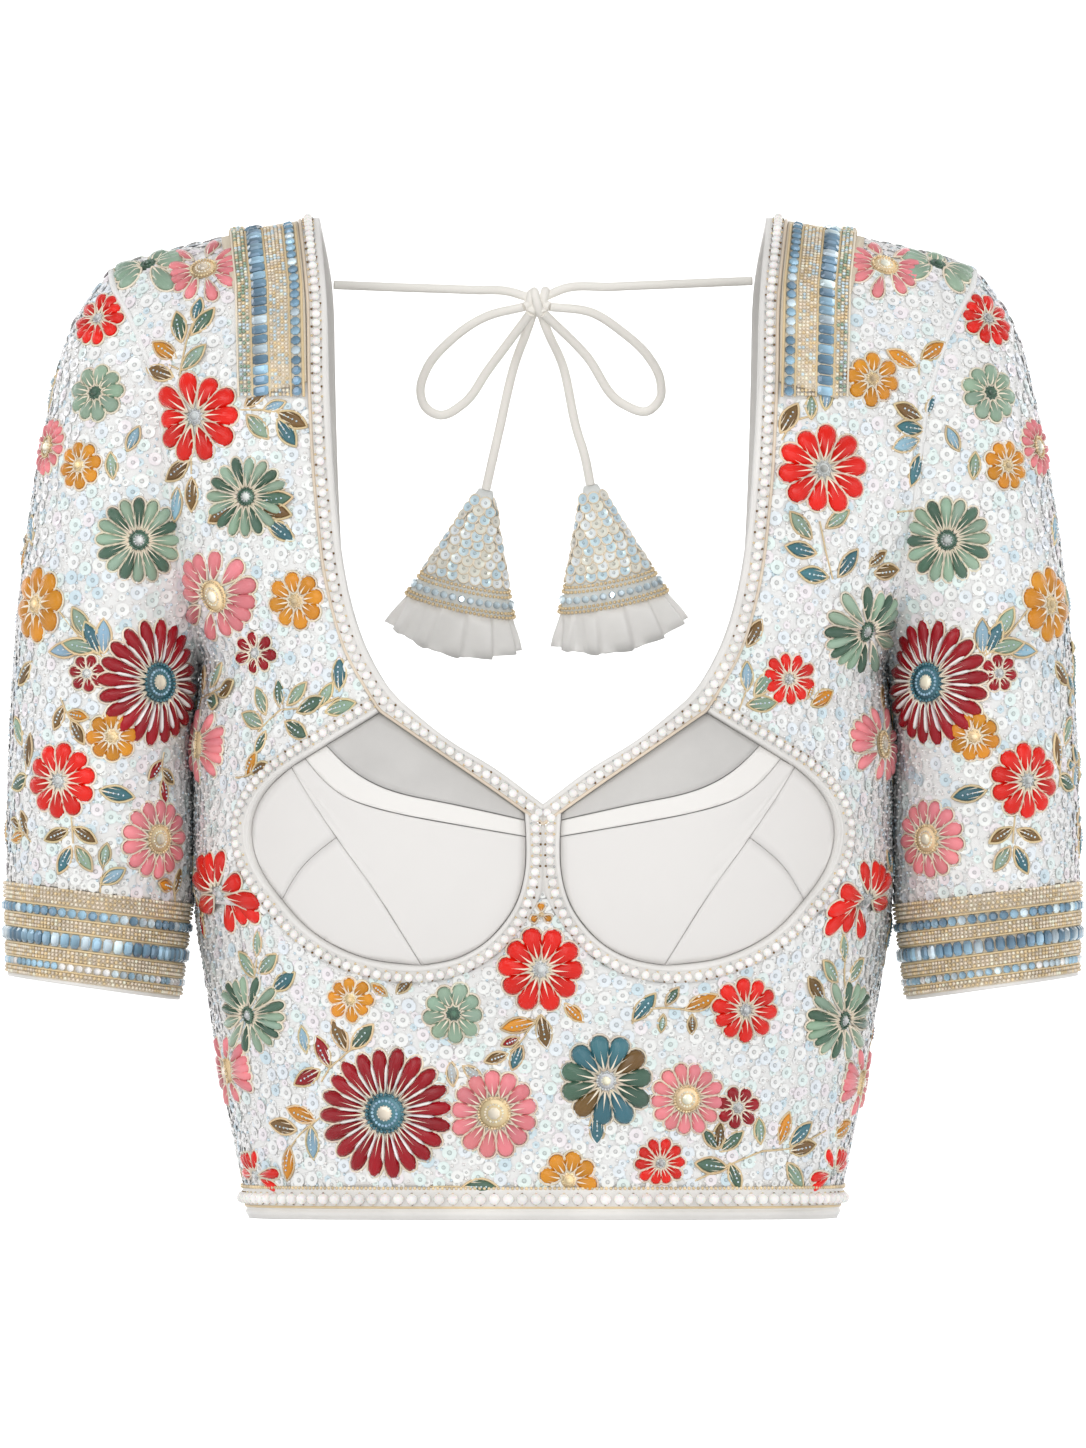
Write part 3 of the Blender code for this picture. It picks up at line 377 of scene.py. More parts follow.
def _object_point(wiring: Wiring) -> bpy.types.NodeSocket:
    """Object coordinates, in metres."""
    return wiring.add("ShaderNodeTexCoord").outputs["Object"]


def _wire_weave(wiring: Wiring, entry: bpy.types.Node) -> dict[str, object]:
    """Plain weave: threads over and under each other, with uneven yarn."""
    point = _object_point(wiring)
    parts = wiring.add("ShaderNodeSeparateXYZ", {0: point})
    turn = wiring.math("MULTIPLY", entry.outputs["Threads per metre"], 2 * math.pi)
    around = wiring.math("ADD", parts.outputs[0], parts.outputs[1])
    warp = wiring.math("SINE", wiring.math("MULTIPLY", around, turn))
    weft = wiring.math("SINE", wiring.math("MULTIPLY", parts.outputs[2], turn))
    woven = wiring.math("MULTIPLY", warp, weft)
    yarn = wiring.add("ShaderNodeTexNoise", {"Vector": point, "Scale": YARN_NOISE,
                                             "Detail": 3.0})
    uneven = wiring.math("MULTIPLY", yarn.outputs["Fac"], entry.outputs["Slub"])
    # Tone: painted shade where a thread dips under the other, mixed with the yarn's uneven tone.
    return {"Height": wiring.math("ADD", woven, uneven),
            "Tone": wiring.ramp(wiring.math("ADD", woven, yarn.outputs["Fac"]), -1.0, 2.0)}


def _wire_twist(wiring: Wiring, entry: bpy.types.Node) -> dict[str, object]:
    """Twisted thread: slanting strands along the piece's own length, read from its UV map."""
    uv = wiring.add("ShaderNodeSeparateXYZ", {0: wiring.add("ShaderNodeUVMap").outputs[0]})
    along = wiring.math("MULTIPLY", uv.outputs[0], entry.outputs["Turns"])
    slant = wiring.math("ADD", along, wiring.math("MULTIPLY", uv.outputs[1], 2.0))
    strand = wiring.math("PINGPONG", slant, 0.5)
    # Tone: painted shade in the grooves between the strands.
    return {"Height": strand, "Tone": wiring.ramp(strand, 0.05, 0.35)}


def _wire_stitch(wiring: Wiring, entry: bpy.types.Node) -> dict[str, object]:
    """Satin stitch over a pad: fine threads along the petal, and laid lines from its base."""
    uv = wiring.add("ShaderNodeSeparateXYZ", {0: wiring.add("ShaderNodeUVMap").outputs[0]})
    along, across = uv.outputs[0], uv.outputs[1]
    wander = wiring.add("ShaderNodeTexNoise", {"Vector": _object_point(wiring),
                                               "Scale": STITCH_NOISE})
    drift = wiring.math("ADD", across, wiring.math("MULTIPLY", wander.outputs["Fac"], 0.25))
    threads = wiring.math("SINE", wiring.math("MULTIPLY", drift, entry.outputs["Threads"]))
    spoke = wiring.math("ABSOLUTE", wiring.math("SUBTRACT", wiring.math(
        "FRACT", wiring.math("MULTIPLY", across, entry.outputs["Lines"])), 0.5))
    narrow = wiring.ramp(along, 0.05, 0.62, 0.16, 0.0)
    laid = wiring.math("LESS_THAN", spoke, narrow)
    # Shade: painted shade, darkest at the petal's base.
    return {"Height": wiring.math("ADD", threads, wiring.math("MULTIPLY", laid, 4.0)),
            "Laid": laid, "Shade": wiring.ramp(along, 0.0, 0.85)}


def _wire_drift(wiring: Wiring, entry: bpy.types.Node) -> dict[str, object]:
    """Slow unevenness of a cloth's tone, as from handling and dye."""
    cloud = wiring.add("ShaderNodeTexNoise", {"Vector": _object_point(wiring), "Detail": 4.0,
                                              "Scale": entry.outputs["Patches per metre"]})
    return {"Tone": wiring.ramp(cloud.outputs["Fac"], 0.25, 0.75)}


WEAVE = Effect("woven_threads", {"Threads per metre": 2600.0, "Slub": 1.0}, ("Height", "Tone"),
               _wire_weave)
TWIST = Effect("twisted_thread", {"Turns": 500.0}, ("Height", "Tone"), _wire_twist)
STITCH = Effect("satin_stitch", {"Threads": 60.0, "Lines": 3.0}, ("Height", "Laid", "Shade"),
                _wire_stitch)
DRIFT = Effect("tone_drift", {"Patches per metre": 30.0}, ("Tone",), _wire_drift)


class Pattern(Enum):
    """What a finish's surface is made of, with the painted shade of its hollows."""

    WOVEN = 0.93
    TWISTED = 0.84
    STITCHED = 0.74
    SMOOTH = 1.0


@dataclass(frozen=True)
class Finish:
    """One finish of the blouse: its material's colour, gloss and surface pattern."""

    GLOSS_RANGE = (0.88, 1.1)   # how the roughness drifts, as shares of its value
    MATTEST = 1.0

    name: str
    slot: str
    colour: Colour = (0.8, 0.8, 0.8)
    pattern: Pattern = Pattern.WOVEN
    tinted: bool = False
    roughness: float = 0.6
    metallic: float = 0.0
    coat: float = 0.0
    sheen: float = 0.0
    film: float = 0.0
    subsurface: float = 0.0
    bump: float = 0.3
    bump_distance: float = 0.0002
    threads: float = 2600.0
    unevenness: float = 0.06
    shine: float = 0.5

    def _surface(self, wiring: Wiring) -> tuple[object, object, object]:
        """The pattern's height, painted shade and laid lines, each None where it has none."""
        if self.pattern is Pattern.WOVEN:
            node = WEAVE.place(wiring, threads_per_metre=self.threads)
            return node.outputs["Height"], node.outputs["Tone"], None
        if self.pattern is Pattern.TWISTED:
            node = TWIST.place(wiring, turns=self.threads)
            return node.outputs["Height"], node.outputs["Tone"], None
        if self.pattern is Pattern.STITCHED:
            node = STITCH.place(wiring)
            return node.outputs["Height"], node.outputs["Shade"], node.outputs["Laid"]
        return None, None, None

    def material(self) -> bpy.types.Material:
        """The finish as a material, made the first time that it is asked for."""
        ready = bpy.data.materials.get(self.name)
        if ready:
            return ready
        made = bpy.data.materials.new(self.name)
        made.use_nodes = True
        wiring = Wiring(made.node_tree)
        height, tone, laid = self._surface(wiring)
        base = (wiring.add("ShaderNodeAttribute", attribute_name="tint").outputs["Color"]
                if self.tinted else (*self.colour, 1.0))
        drift = DRIFT.place(wiring).outputs["Tone"]
        darker = 1.0 - 2.0 * self.unevenness
        shade = wiring.mix(drift, (darker, darker, darker, 1.0), (1.0, 1.0, 1.0, 1.0))
        colour = wiring.mix(1.0, base, shade, "MULTIPLY")
        # The pattern's hollows are darkened by its value: painted shade.
        if tone is not None:
            deep = self.pattern.value
            colour = wiring.mix(tone, wiring.mix(1.0, colour, (deep, deep, deep, 1.0),
                                                 "MULTIPLY"), colour)
        if laid is not None:
            colour = wiring.mix(laid, colour, (*Tint.CREAM.value, 1.0))
        glossy, matt = (min(self.MATTEST, self.roughness * share) for share in self.GLOSS_RANGE)
        gloss = wiring.ramp(drift, 0.0, 1.0, glossy, matt)
        inputs = {"Base Color": colour, "Roughness": gloss, "Metallic": self.metallic,
                  "Coat Weight": self.coat, "Coat Roughness": 0.12,
                  "Specular IOR Level": self.shine,
                  "Sheen Weight": self.sheen, "Sheen Roughness": 0.45,
                  "Thin Film Thickness": self.film, "Thin Film IOR": 1.45,
                  "Subsurface Weight": self.subsurface, "Subsurface Scale": 0.0012}
        if height is not None and self.bump > 0:
            bump = wiring.add("ShaderNodeBump", {"Height": height, "Strength": self.bump,
                                                 "Distance": self.bump_distance})
            inputs["Normal"] = bump.outputs[0]
        shader = wiring.add("ShaderNodeBsdfPrincipled", inputs)
        wiring.add("ShaderNodeOutputMaterial", {"Surface": shader.outputs[0]})
        return made


class Cloths:
    """The finishes of the blouse's cloth and needlework."""

    NET = Finish("beaded_net", "sequinned", (0.93, 0.93, 0.92), roughness=0.62, sheen=0.2,
                 threads=1500.0, bump=0.3, unevenness=0.03)
    LINING = Finish("lining_satin", "sequinned", (0.80, 0.79, 0.77), roughness=0.5, sheen=0.2)
    CUP = Finish("cup_satin", "cup_satin", (0.78, 0.765, 0.745), roughness=0.44, sheen=0.3,
                 coat=0.05, bump=0.12)
    # Darker grey satin with painted shade: the upper cup panel where it recedes under the strap,
    # and the cup lining seen in the seams.
    UPPER = Finish("cup_upper_satin", "cup_satin", (0.64, 0.625, 0.605), roughness=0.46,
                   sheen=0.3, coat=0.05, bump=0.12)
    BAND = Finish("band_satin", "band_satin", (0.86, 0.845, 0.82), roughness=0.44, sheen=0.3,
                  coat=0.05, bump=0.12)
    BINDING = Finish("binding_satin", "edging", (0.87, 0.85, 0.82), roughness=0.45, sheen=0.3,
                     coat=0.05, bump=0.15)
    CUFF_GROUND = Finish("cuff_ground", "jewelled", (0.84, 0.74, 0.58), roughness=0.6,
                         threads=1200.0, bump=0.5)
    DORI = Finish("dori_satin", "dori_satin", (0.95, 0.93, 0.90), Pattern.TWISTED,
                  roughness=0.42, sheen=0.3, bump=0.12, threads=220.0)
    CONE = Finish("tassel_ground", "tassel_embroidery", (0.82, 0.84, 0.82), roughness=0.5)
    FRILL = Finish("frill_satin", "tassel_satin", (0.97, 0.955, 0.93), roughness=0.42, sheen=0.3,
                   coat=0.05, bump=0.12)
    PETAL = Finish("padded_petals", "sequinned", pattern=Pattern.STITCHED, tinted=True,
                   roughness=0.24, coat=0.25, bump=0.3, bump_distance=0.00012, shine=0.3)
    LEAF = Finish("padded_leaves", "sequinned", pattern=Pattern.STITCHED, tinted=True,
                  roughness=0.28, coat=0.25, bump=0.35, bump_distance=0.00012, shine=0.35)
    CORDING = Finish("metal_cording", "edging", pattern=Pattern.SMOOTH, tinted=True,
                     roughness=0.40, metallic=0.10, unevenness=0.10)
    BEADS = Finish("glass_beads", "jewelled", pattern=Pattern.SMOOTH, tinted=True,
                   roughness=0.20, metallic=0.10, coat=0.5)
    PEARLS = Finish("pearls", "edging", pattern=Pattern.SMOOTH, tinted=True, roughness=0.24,
                    coat=0.5, film=280.0, subsurface=0.15, unevenness=0.03)
    SEQUINS = Finish("pearl_sequins", "sequinned", pattern=Pattern.SMOOTH, tinted=True,
                     roughness=0.24, coat=0.3, film=360.0, unevenness=0.02)
    STONES = Finish("cut_stones", "jewelled", pattern=Pattern.SMOOTH, tinted=True,
                    roughness=0.07, metallic=0.10, coat=0.9, film=300.0, unevenness=0.15)


# ---------------------------------------------------------------- small shapes, made once
@dataclass
class Stamp:
    """A small shape that is repeated: its mesh as arrays, in millimetres, x along, z up."""

    verts: Array
    loops: Array
    totals: Array
    uv: Array
    shade: Array
    smooth: bool = True

    @classmethod
    def press(cls, mesh: bmesh.types.BMesh, length: float = 1.0, width: float = 1.0,
              smooth: bool = True, shade: Callable[[Array], Array] | None = None) -> "Stamp":
        """Turns a finished bmesh into a stamp and frees it.

        Args:
            mesh: The shape, based at the origin.
            length: The shape's length, for its UV map.
            width: The shape's width, for its UV map.
            smooth: Whether its faces are shaded smooth.
            shade: Gives each point's share of the stamp's tint, from its place; sequins and cut
                stones use it for painted shade and painted glints.

        Returns:
            The stamp.
        """
        bmesh.ops.recalc_face_normals(mesh, faces=mesh.faces)
        mesh.verts.index_update()
        verts = np.array([vert.co[:] for vert in mesh.verts])
        loops = np.array([vert.index for face in mesh.faces for vert in face.verts])
        totals = np.array([len(face.verts) for face in mesh.faces])
        uv = np.stack([verts[:, 0] / length, verts[:, 1] / width + 0.5], axis=-1)
        mesh.free()
        tone = shade(verts) if shade else np.ones(len(verts))
        return cls(verts, loops, totals, uv, tone, smooth)


class Lift(NamedTuple):
    """One step of a raised cap: the height gained, and its scale lengthways and across."""

    gain: float
    along: float
    across: float


BEAD_HEIGHT = 0.35          # a bead's middle over its cloth, as a share of its radius


@lru_cache(maxsize=None)
def bead(radius: float, detail: int = 1) -> Stamp:
    """A round bead, sitting on its lowest third."""
    mesh = bmesh.new()
    bmesh.ops.create_icosphere(mesh, subdivisions=detail, radius=radius)
    bmesh.ops.translate(mesh, verts=mesh.verts, vec=(0, 0, BEAD_HEIGHT * radius))
    return Stamp.press(mesh)


def _raise_cap(mesh: bmesh.types.BMesh, cap: list, steps: Sequence[Lift],
               centre_x: float = 0.0) -> list:
    """Pulls a cap up in steps, scaled about a place on its x axis."""
    for gain, along, across in steps:
        made = bmesh.ops.extrude_face_region(mesh, geom=cap)["geom"]
        bmesh.ops.delete(mesh, geom=cap, context="FACES_ONLY")
        verts = [item for item in made if isinstance(item, bmesh.types.BMVert)]
        cap = [item for item in made if isinstance(item, bmesh.types.BMFace)]
        bmesh.ops.translate(mesh, verts=verts, vec=(0, 0, gain))
        bmesh.ops.scale(mesh, verts=verts, vec=(along, across, 1.0),
                        space=Matrix.Translation((-centre_x, 0, 0)))
    return cap


SEQUIN_BRIM = 0.55
SEQUIN_STEPS = (Lift(-0.22, 0.40, 0.40), Lift(-0.12, 0.70, 0.70), Lift(0.62, 0.62, 0.62))
# Painted shade of a sequin: its hole is darker than the disc, by how far out each point lies.
SEQUIN_PAINTED_SHADE = ((0.80, 0.97), (0.36, 1.0), (0.23, 0.55), (-1.0, 0.80))  # least reach, tone


@lru_cache(maxsize=None)
def sequin(radius: float, sides: int = 9) -> Stamp:
    """A cupped sequin held by a seed bead in its hole, with painted shade in the hole."""
    mesh = bmesh.new()
    bmesh.ops.create_circle(mesh, cap_ends=True, segments=sides, radius=radius)
    bmesh.ops.translate(mesh, verts=mesh.verts, vec=(0, 0, SEQUIN_BRIM))
    _raise_cap(mesh, list(mesh.faces), SEQUIN_STEPS)

    def shade(verts: Array) -> Array:
        """Painted shade: darker in the hole, white at the bead."""
        reach = np.hypot(verts[:, 0], verts[:, 1])
        return np.select([reach > least * radius for least, _ in SEQUIN_PAINTED_SHADE],
                         [tone for _, tone in SEQUIN_PAINTED_SHADE])

    return Stamp.press(mesh, shade=shade)


class Outline(Enum):
    """The outline of a padded shape: how far it is pinched at its base and at its tip."""

    TEARDROP = (0.62, 0.0)
    PADDLE = (0.30, 0.0)
    LEAF = (0.55, 0.55)
    DISC = (0.0, 0.0)

    def trace(self, turn: Array, length: float, width: float) -> Array:
        """Points of the outline by angle, from the tip round to the base and back.

        Args:
            turn: Angles round the outline, zero at the tip.
            length: The shape's length.
            width: The shape's greatest width.

        Returns:
            An array of x and y.
        """
        base, tip = self.value
        share = (1.0 + np.cos(turn)) / 2.0
        pinch = share**base * (1.0 - share) ** tip
        fine = np.linspace(0.0, 1.0, 101)
        most = np.max(2.0 * np.sqrt(fine * (1.0 - fine)) * fine**base * (1.0 - fine) ** tip)
        return np.stack([length * share, width / 2.0 * np.sin(turn) * pinch / most], axis=-1)


DOME_SHOULDER = (0.45, 0.97, 0.94)      # shares of the rise, and scales
DOME_TOP = (0.40, 0.78, 0.66)
DOME_CROWN = 0.15


@lru_cache(maxsize=None)
def pad(shape: Outline, length: float, width: float, rise: float, sides: int = 14) -> Stamp:
    """A padded petal or leaf, domed over its outline."""
    mesh = bmesh.new()
    bmesh.ops.create_circle(mesh, cap_ends=True, segments=sides, radius=1.0)
    for vert in mesh.verts:
        turn = math.atan2(vert.co.y, vert.co.x)
        vert.co.x, vert.co.y = shape.trace(np.array(turn), length, width)
    middle = length * (0.5 if shape is Outline.LEAF else 0.60)
    steps = [Lift(gain * rise, *scales) for gain, *scales in (DOME_SHOULDER, DOME_TOP)]
    cap = _raise_cap(mesh, list(mesh.faces), steps, middle)
    crown = bmesh.ops.poke(mesh, faces=cap)["verts"]
    bmesh.ops.translate(mesh, verts=crown, vec=(0, 0, DOME_CROWN * rise))
    return Stamp.press(mesh, length, width)


SPUN_RADIUS = 10.0          # a ring is spun at this radius, then laid along its outline
OUTLINE_STEP = 0.02
CORD_HEIGHT = 0.30


@lru_cache(maxsize=None)
def cord_ring(shape: Outline, length: float, width: float, thickness: float,
              steps: int = 18) -> Stamp:
    """A couched cord round a petal or leaf: a spun ring laid along its outline."""
    mesh = bmesh.new()
    bmesh.ops.create_circle(mesh, segments=4, radius=thickness / 2)
    bmesh.ops.rotate(mesh, verts=mesh.verts, cent=(0, 0, 0),
                     matrix=Matrix.Rotation(math.pi / 2, 3, "X"))
    bmesh.ops.translate(mesh, verts=mesh.verts, vec=(SPUN_RADIUS, 0, 0))
    bmesh.ops.spin(mesh, geom=mesh.verts[:] + mesh.edges[:], cent=(0, 0, 0), axis=(0, 0, 1),
                   dvec=(0, 0, 0), angle=2 * math.pi, steps=steps, use_merge=True)
    bmesh.ops.remove_doubles(mesh, verts=mesh.verts, dist=1e-4)
    for vert in mesh.verts:
        turn = math.atan2(vert.co.y, vert.co.x)
        out = math.hypot(vert.co.x, vert.co.y) - SPUN_RADIUS
        turns = np.array([turn - OUTLINE_STEP, turn, turn + OUTLINE_STEP])
        near = shape.trace(turns, length, width)
        way = near[2] - near[0]
        away = np.array([way[1], -way[0]]) / max(np.hypot(*way), 1e-9)
        vert.co.x, vert.co.y = near[1] + out * away
        vert.co.z += CORD_HEIGHT * thickness
    return Stamp.press(mesh, length, width)


STONE_GIRDLE = (0.45, 0.98, 0.98)       # shares of the rise, and scales
STONE_TABLE = (0.55, 0.60, 0.60)
# Painted glint and painted shade across a stone's facets.
FACET_PAINTED_GLINT = (0.62, 1.45)              # the deepest and the lightest
FACET_GLINT_CONTRAST = 0.42


@lru_cache(maxsize=None)
def cut_stone(length: float, width: float, rise: float, sides: int = 8,
              squareness: float = 1.0) -> Stamp:
    """A faceted flat-backed stone.

    Args:
        length: Its length.
        width: Its width.
        rise: Its height.
        sides: How many facets go round it.
        squareness: 1 for an oval, and less than 1 for a baguette.

    Returns:
        The stamp, whose facets carry a painted glint on one side and painted shade on the other.
    """
    mesh = bmesh.new()
    bmesh.ops.create_circle(mesh, cap_ends=True, segments=sides, radius=1.0)
    bmesh.ops.rotate(mesh, verts=mesh.verts, cent=(0, 0, 0),
                     matrix=Matrix.Rotation(math.pi / sides, 3, "Z"))
    for vert in mesh.verts:
        vert.co.x = math.copysign(abs(vert.co.x) ** squareness, vert.co.x) * length / 2
        vert.co.y = math.copysign(abs(vert.co.y) ** squareness, vert.co.y) * width / 2
    _raise_cap(mesh, list(mesh.faces),
               [Lift(gain * rise, *scales) for gain, *scales in (STONE_GIRDLE, STONE_TABLE)])

    def shade(verts: Array) -> Array:
        """Painted glint on one side of the crown and painted shade on the other."""
        side = (verts[:, 0] / length + 0.6 * verts[:, 1] / width) * 2.0
        return np.clip(1.0 + FACET_GLINT_CONTRAST * side, *FACET_PAINTED_GLINT)

    return Stamp.press(mesh, length, width, smooth=False, shade=shade)


# ---------------------------------------------------------------- joining what is repeated
class Needlework:
    """Many small shapes of one finish, joined as they are sewn into one piece."""

    def __init__(self, name: str, finish: Finish) -> None:
        """Starts an empty piece."""
        self.name = name
        self.finish = finish
        self.verts: list[Array] = []
        self.loops: list[Array] = []
        self.totals: list[Array] = []
        self.uv: list[Array] = []
        self.tints: list[Array] = []
        self.smooth: list[Array] = []
        self.count = 0

    def sew(self, stamp: Stamp, points: Array, along: Array, up: Array,
            tint: Array | Tint, size: Array | float = 1.0) -> None:
        """Sews a stamp at each of many places.

        Args:
            stamp: The shape.
            points: Where its origin goes.
            along: Which way its x axis points.
            up: Which way its z axis points.
            tint: One colour, or one for each place.
            size: One scale, or one for each place.
        """
        points = np.atleast_2d(points)
        many = len(points)
        if not many:
            return
        up = unit(np.broadcast_to(up, points.shape))
        along = np.broadcast_to(along, points.shape)
        along = unit(along - np.sum(along * up, axis=-1, keepdims=True) * up)
        axes = np.stack([along, np.cross(up, along), up], axis=1)
        size = np.broadcast_to(np.asarray(size, float), (many,))[:, None, None]
        placed = points[:, None] + np.einsum("vk,nkj->nvj", stamp.verts, axes) * size
        each = len(stamp.verts)
        rgb = np.broadcast_to(tint.rgb if isinstance(tint, Tint) else tint, (many, 3))
        # The stamp's shade, which paints shade and glints on sequins and cut stones, is multiplied
        # into the tint.
        colours = rgb[:, None] * stamp.shade[None, :, None]
        starts = self.count + each * np.arange(many)[:, None]
        self.verts.append(placed.reshape(-1, 3))
        self.loops.append((stamp.loops[None] + starts).ravel())
        self.totals.append(np.tile(stamp.totals, many))
        self.uv.append(np.tile(stamp.uv[stamp.loops], (many, 1)))
        self.tints.append(colours.reshape(-1, 3))
        self.smooth.append(np.full(many * len(stamp.totals), stamp.smooth))
        self.count += many * each

    def finished(self) -> bpy.types.Object | None:
        """The joined piece, riding on the body, or None where nothing was sewn."""
        if not self.count:
            return None
        mesh = bpy.data.meshes.new(self.name)
        verts = np.concatenate(self.verts) * MM
        loops = np.concatenate(self.loops)
        totals = np.concatenate(self.totals)
        mesh.vertices.add(len(verts))
        mesh.vertices.foreach_set("co", verts.ravel())
        mesh.loops.add(len(loops))
        mesh.loops.foreach_set("vertex_index", loops)
        mesh.polygons.add(len(totals))
        mesh.polygons.foreach_set("loop_start", np.concatenate([[0], np.cumsum(totals)[:-1]]))
        mesh.polygons.foreach_set("use_smooth", np.concatenate(self.smooth))
        mesh.uv_layers.new(name="UVMap").uv.foreach_set("vector", np.concatenate(self.uv).ravel())
        tints = np.concatenate([np.concatenate(self.tints), np.ones((len(verts), 1))], axis=1)
        mesh.color_attributes.new("tint", "FLOAT_COLOR", "POINT").data.foreach_set(
            "color", tints.ravel())
        mesh.update(calc_edges=True)
        triangles = int(np.sum(totals - 2))
        log.info("%s: %d triangles", self.name, triangles)
        return own(bpy.data.objects.new(self.name, mesh), self.finish)


def own(piece: bpy.types.Object, finish: Finish) -> bpy.types.Object:
    """Gives a piece its finish and its place on the blouse."""
    if piece.name not in bpy.context.scene.collection.objects:
        bpy.context.scene.collection.objects.link(piece)
    if not piece.data.materials:
        piece.data.materials.append(finish.material())
    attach(piece, BODY)
    return piece


def corded(name: str, rails: Sequence[Rail], radius: float, finish: Finish, tint: Tint | None,
           step: float = 2.5, sides: int = 2) -> bpy.types.Object:
    """Round cords along rails, joined into one piece with a UV map along their length.

    Args:
        name: The piece's name.
        rails: Where the cords lie.
        radius: Their radius.
        finish: Their finish.
        tint: Their colour, for a tinted finish.
        step: How far apart their rings are.
        sides: Blender's bevel resolution, which sets how round they are.

    Returns:
        The piece.
    """
    curve = bpy.data.curves.new(name, "CURVE")
    curve.dimensions = "3D"
    curve.bevel_depth = radius * MM
    curve.bevel_resolution = sides
    curve.use_fill_caps = True
    for rail in rails:
        count = max(4, round(rail.length / step))
        points = rail.read(np.linspace(0.0, rail.length, count + 1))[0] * MM
        spline = curve.splines.new("POLY")
        spline.points.add(len(points) - 1)
        spline.points.foreach_set("co", np.concatenate(
            [points, np.ones((len(points), 1))], axis=1).ravel())
        spline.use_smooth = True
    shape = bpy.data.objects.new(name, curve)
    bpy.context.scene.collection.objects.link(shape)
    mesh = bpy.data.meshes.new_from_object(
        shape.evaluated_get(bpy.context.evaluated_depsgraph_get()))
    bpy.data.objects.remove(shape)
    mesh.name = name
    if tint:
        layer = mesh.color_attributes.new("tint", "FLOAT_COLOR", "POINT")
        layer.data.foreach_set("color", np.tile((*tint.value, 1.0), len(mesh.vertices)))
    mesh.materials.clear()
    log.info("%s: %d faces", name, len(mesh.polygons))
    return own(bpy.data.objects.new(name, mesh), finish)


# ---------------------------------------------------------------- cloth walls
SLEEVE_AXIS = np.array([[165.0, 0.0, -106.0], [193.0, 0.0, -289.0], [193.5, 0.0, -327.5]])
BODY_DEPTH = 100.0


def outward_of(points: Array, sleeve: bool) -> Array:
    """Rough outward directions from the middle of the body or of a sleeve.

    Args:
        points: Places on the cloth.
        sleeve: Whether they are on a sleeve or cuff.

    Returns:
        A direction for each place.
    """
    if not sleeve:
        wide = FORM.half_width(points[:, 2])
        return unit(np.stack([points[:, 0] / wide**2, points[:, 1] / BODY_DEPTH**2,
                              0 * points[:, 2]], axis=-1))
    side = np.sign(points[:, 0])
    axis_x = np.interp(-points[:, 2], -SLEEVE_AXIS[:, 2], SLEEVE_AXIS[:, 0])
    return unit(np.stack([points[:, 0] - side * axis_x, points[:, 1], 0 * points[:, 2]], axis=-1))


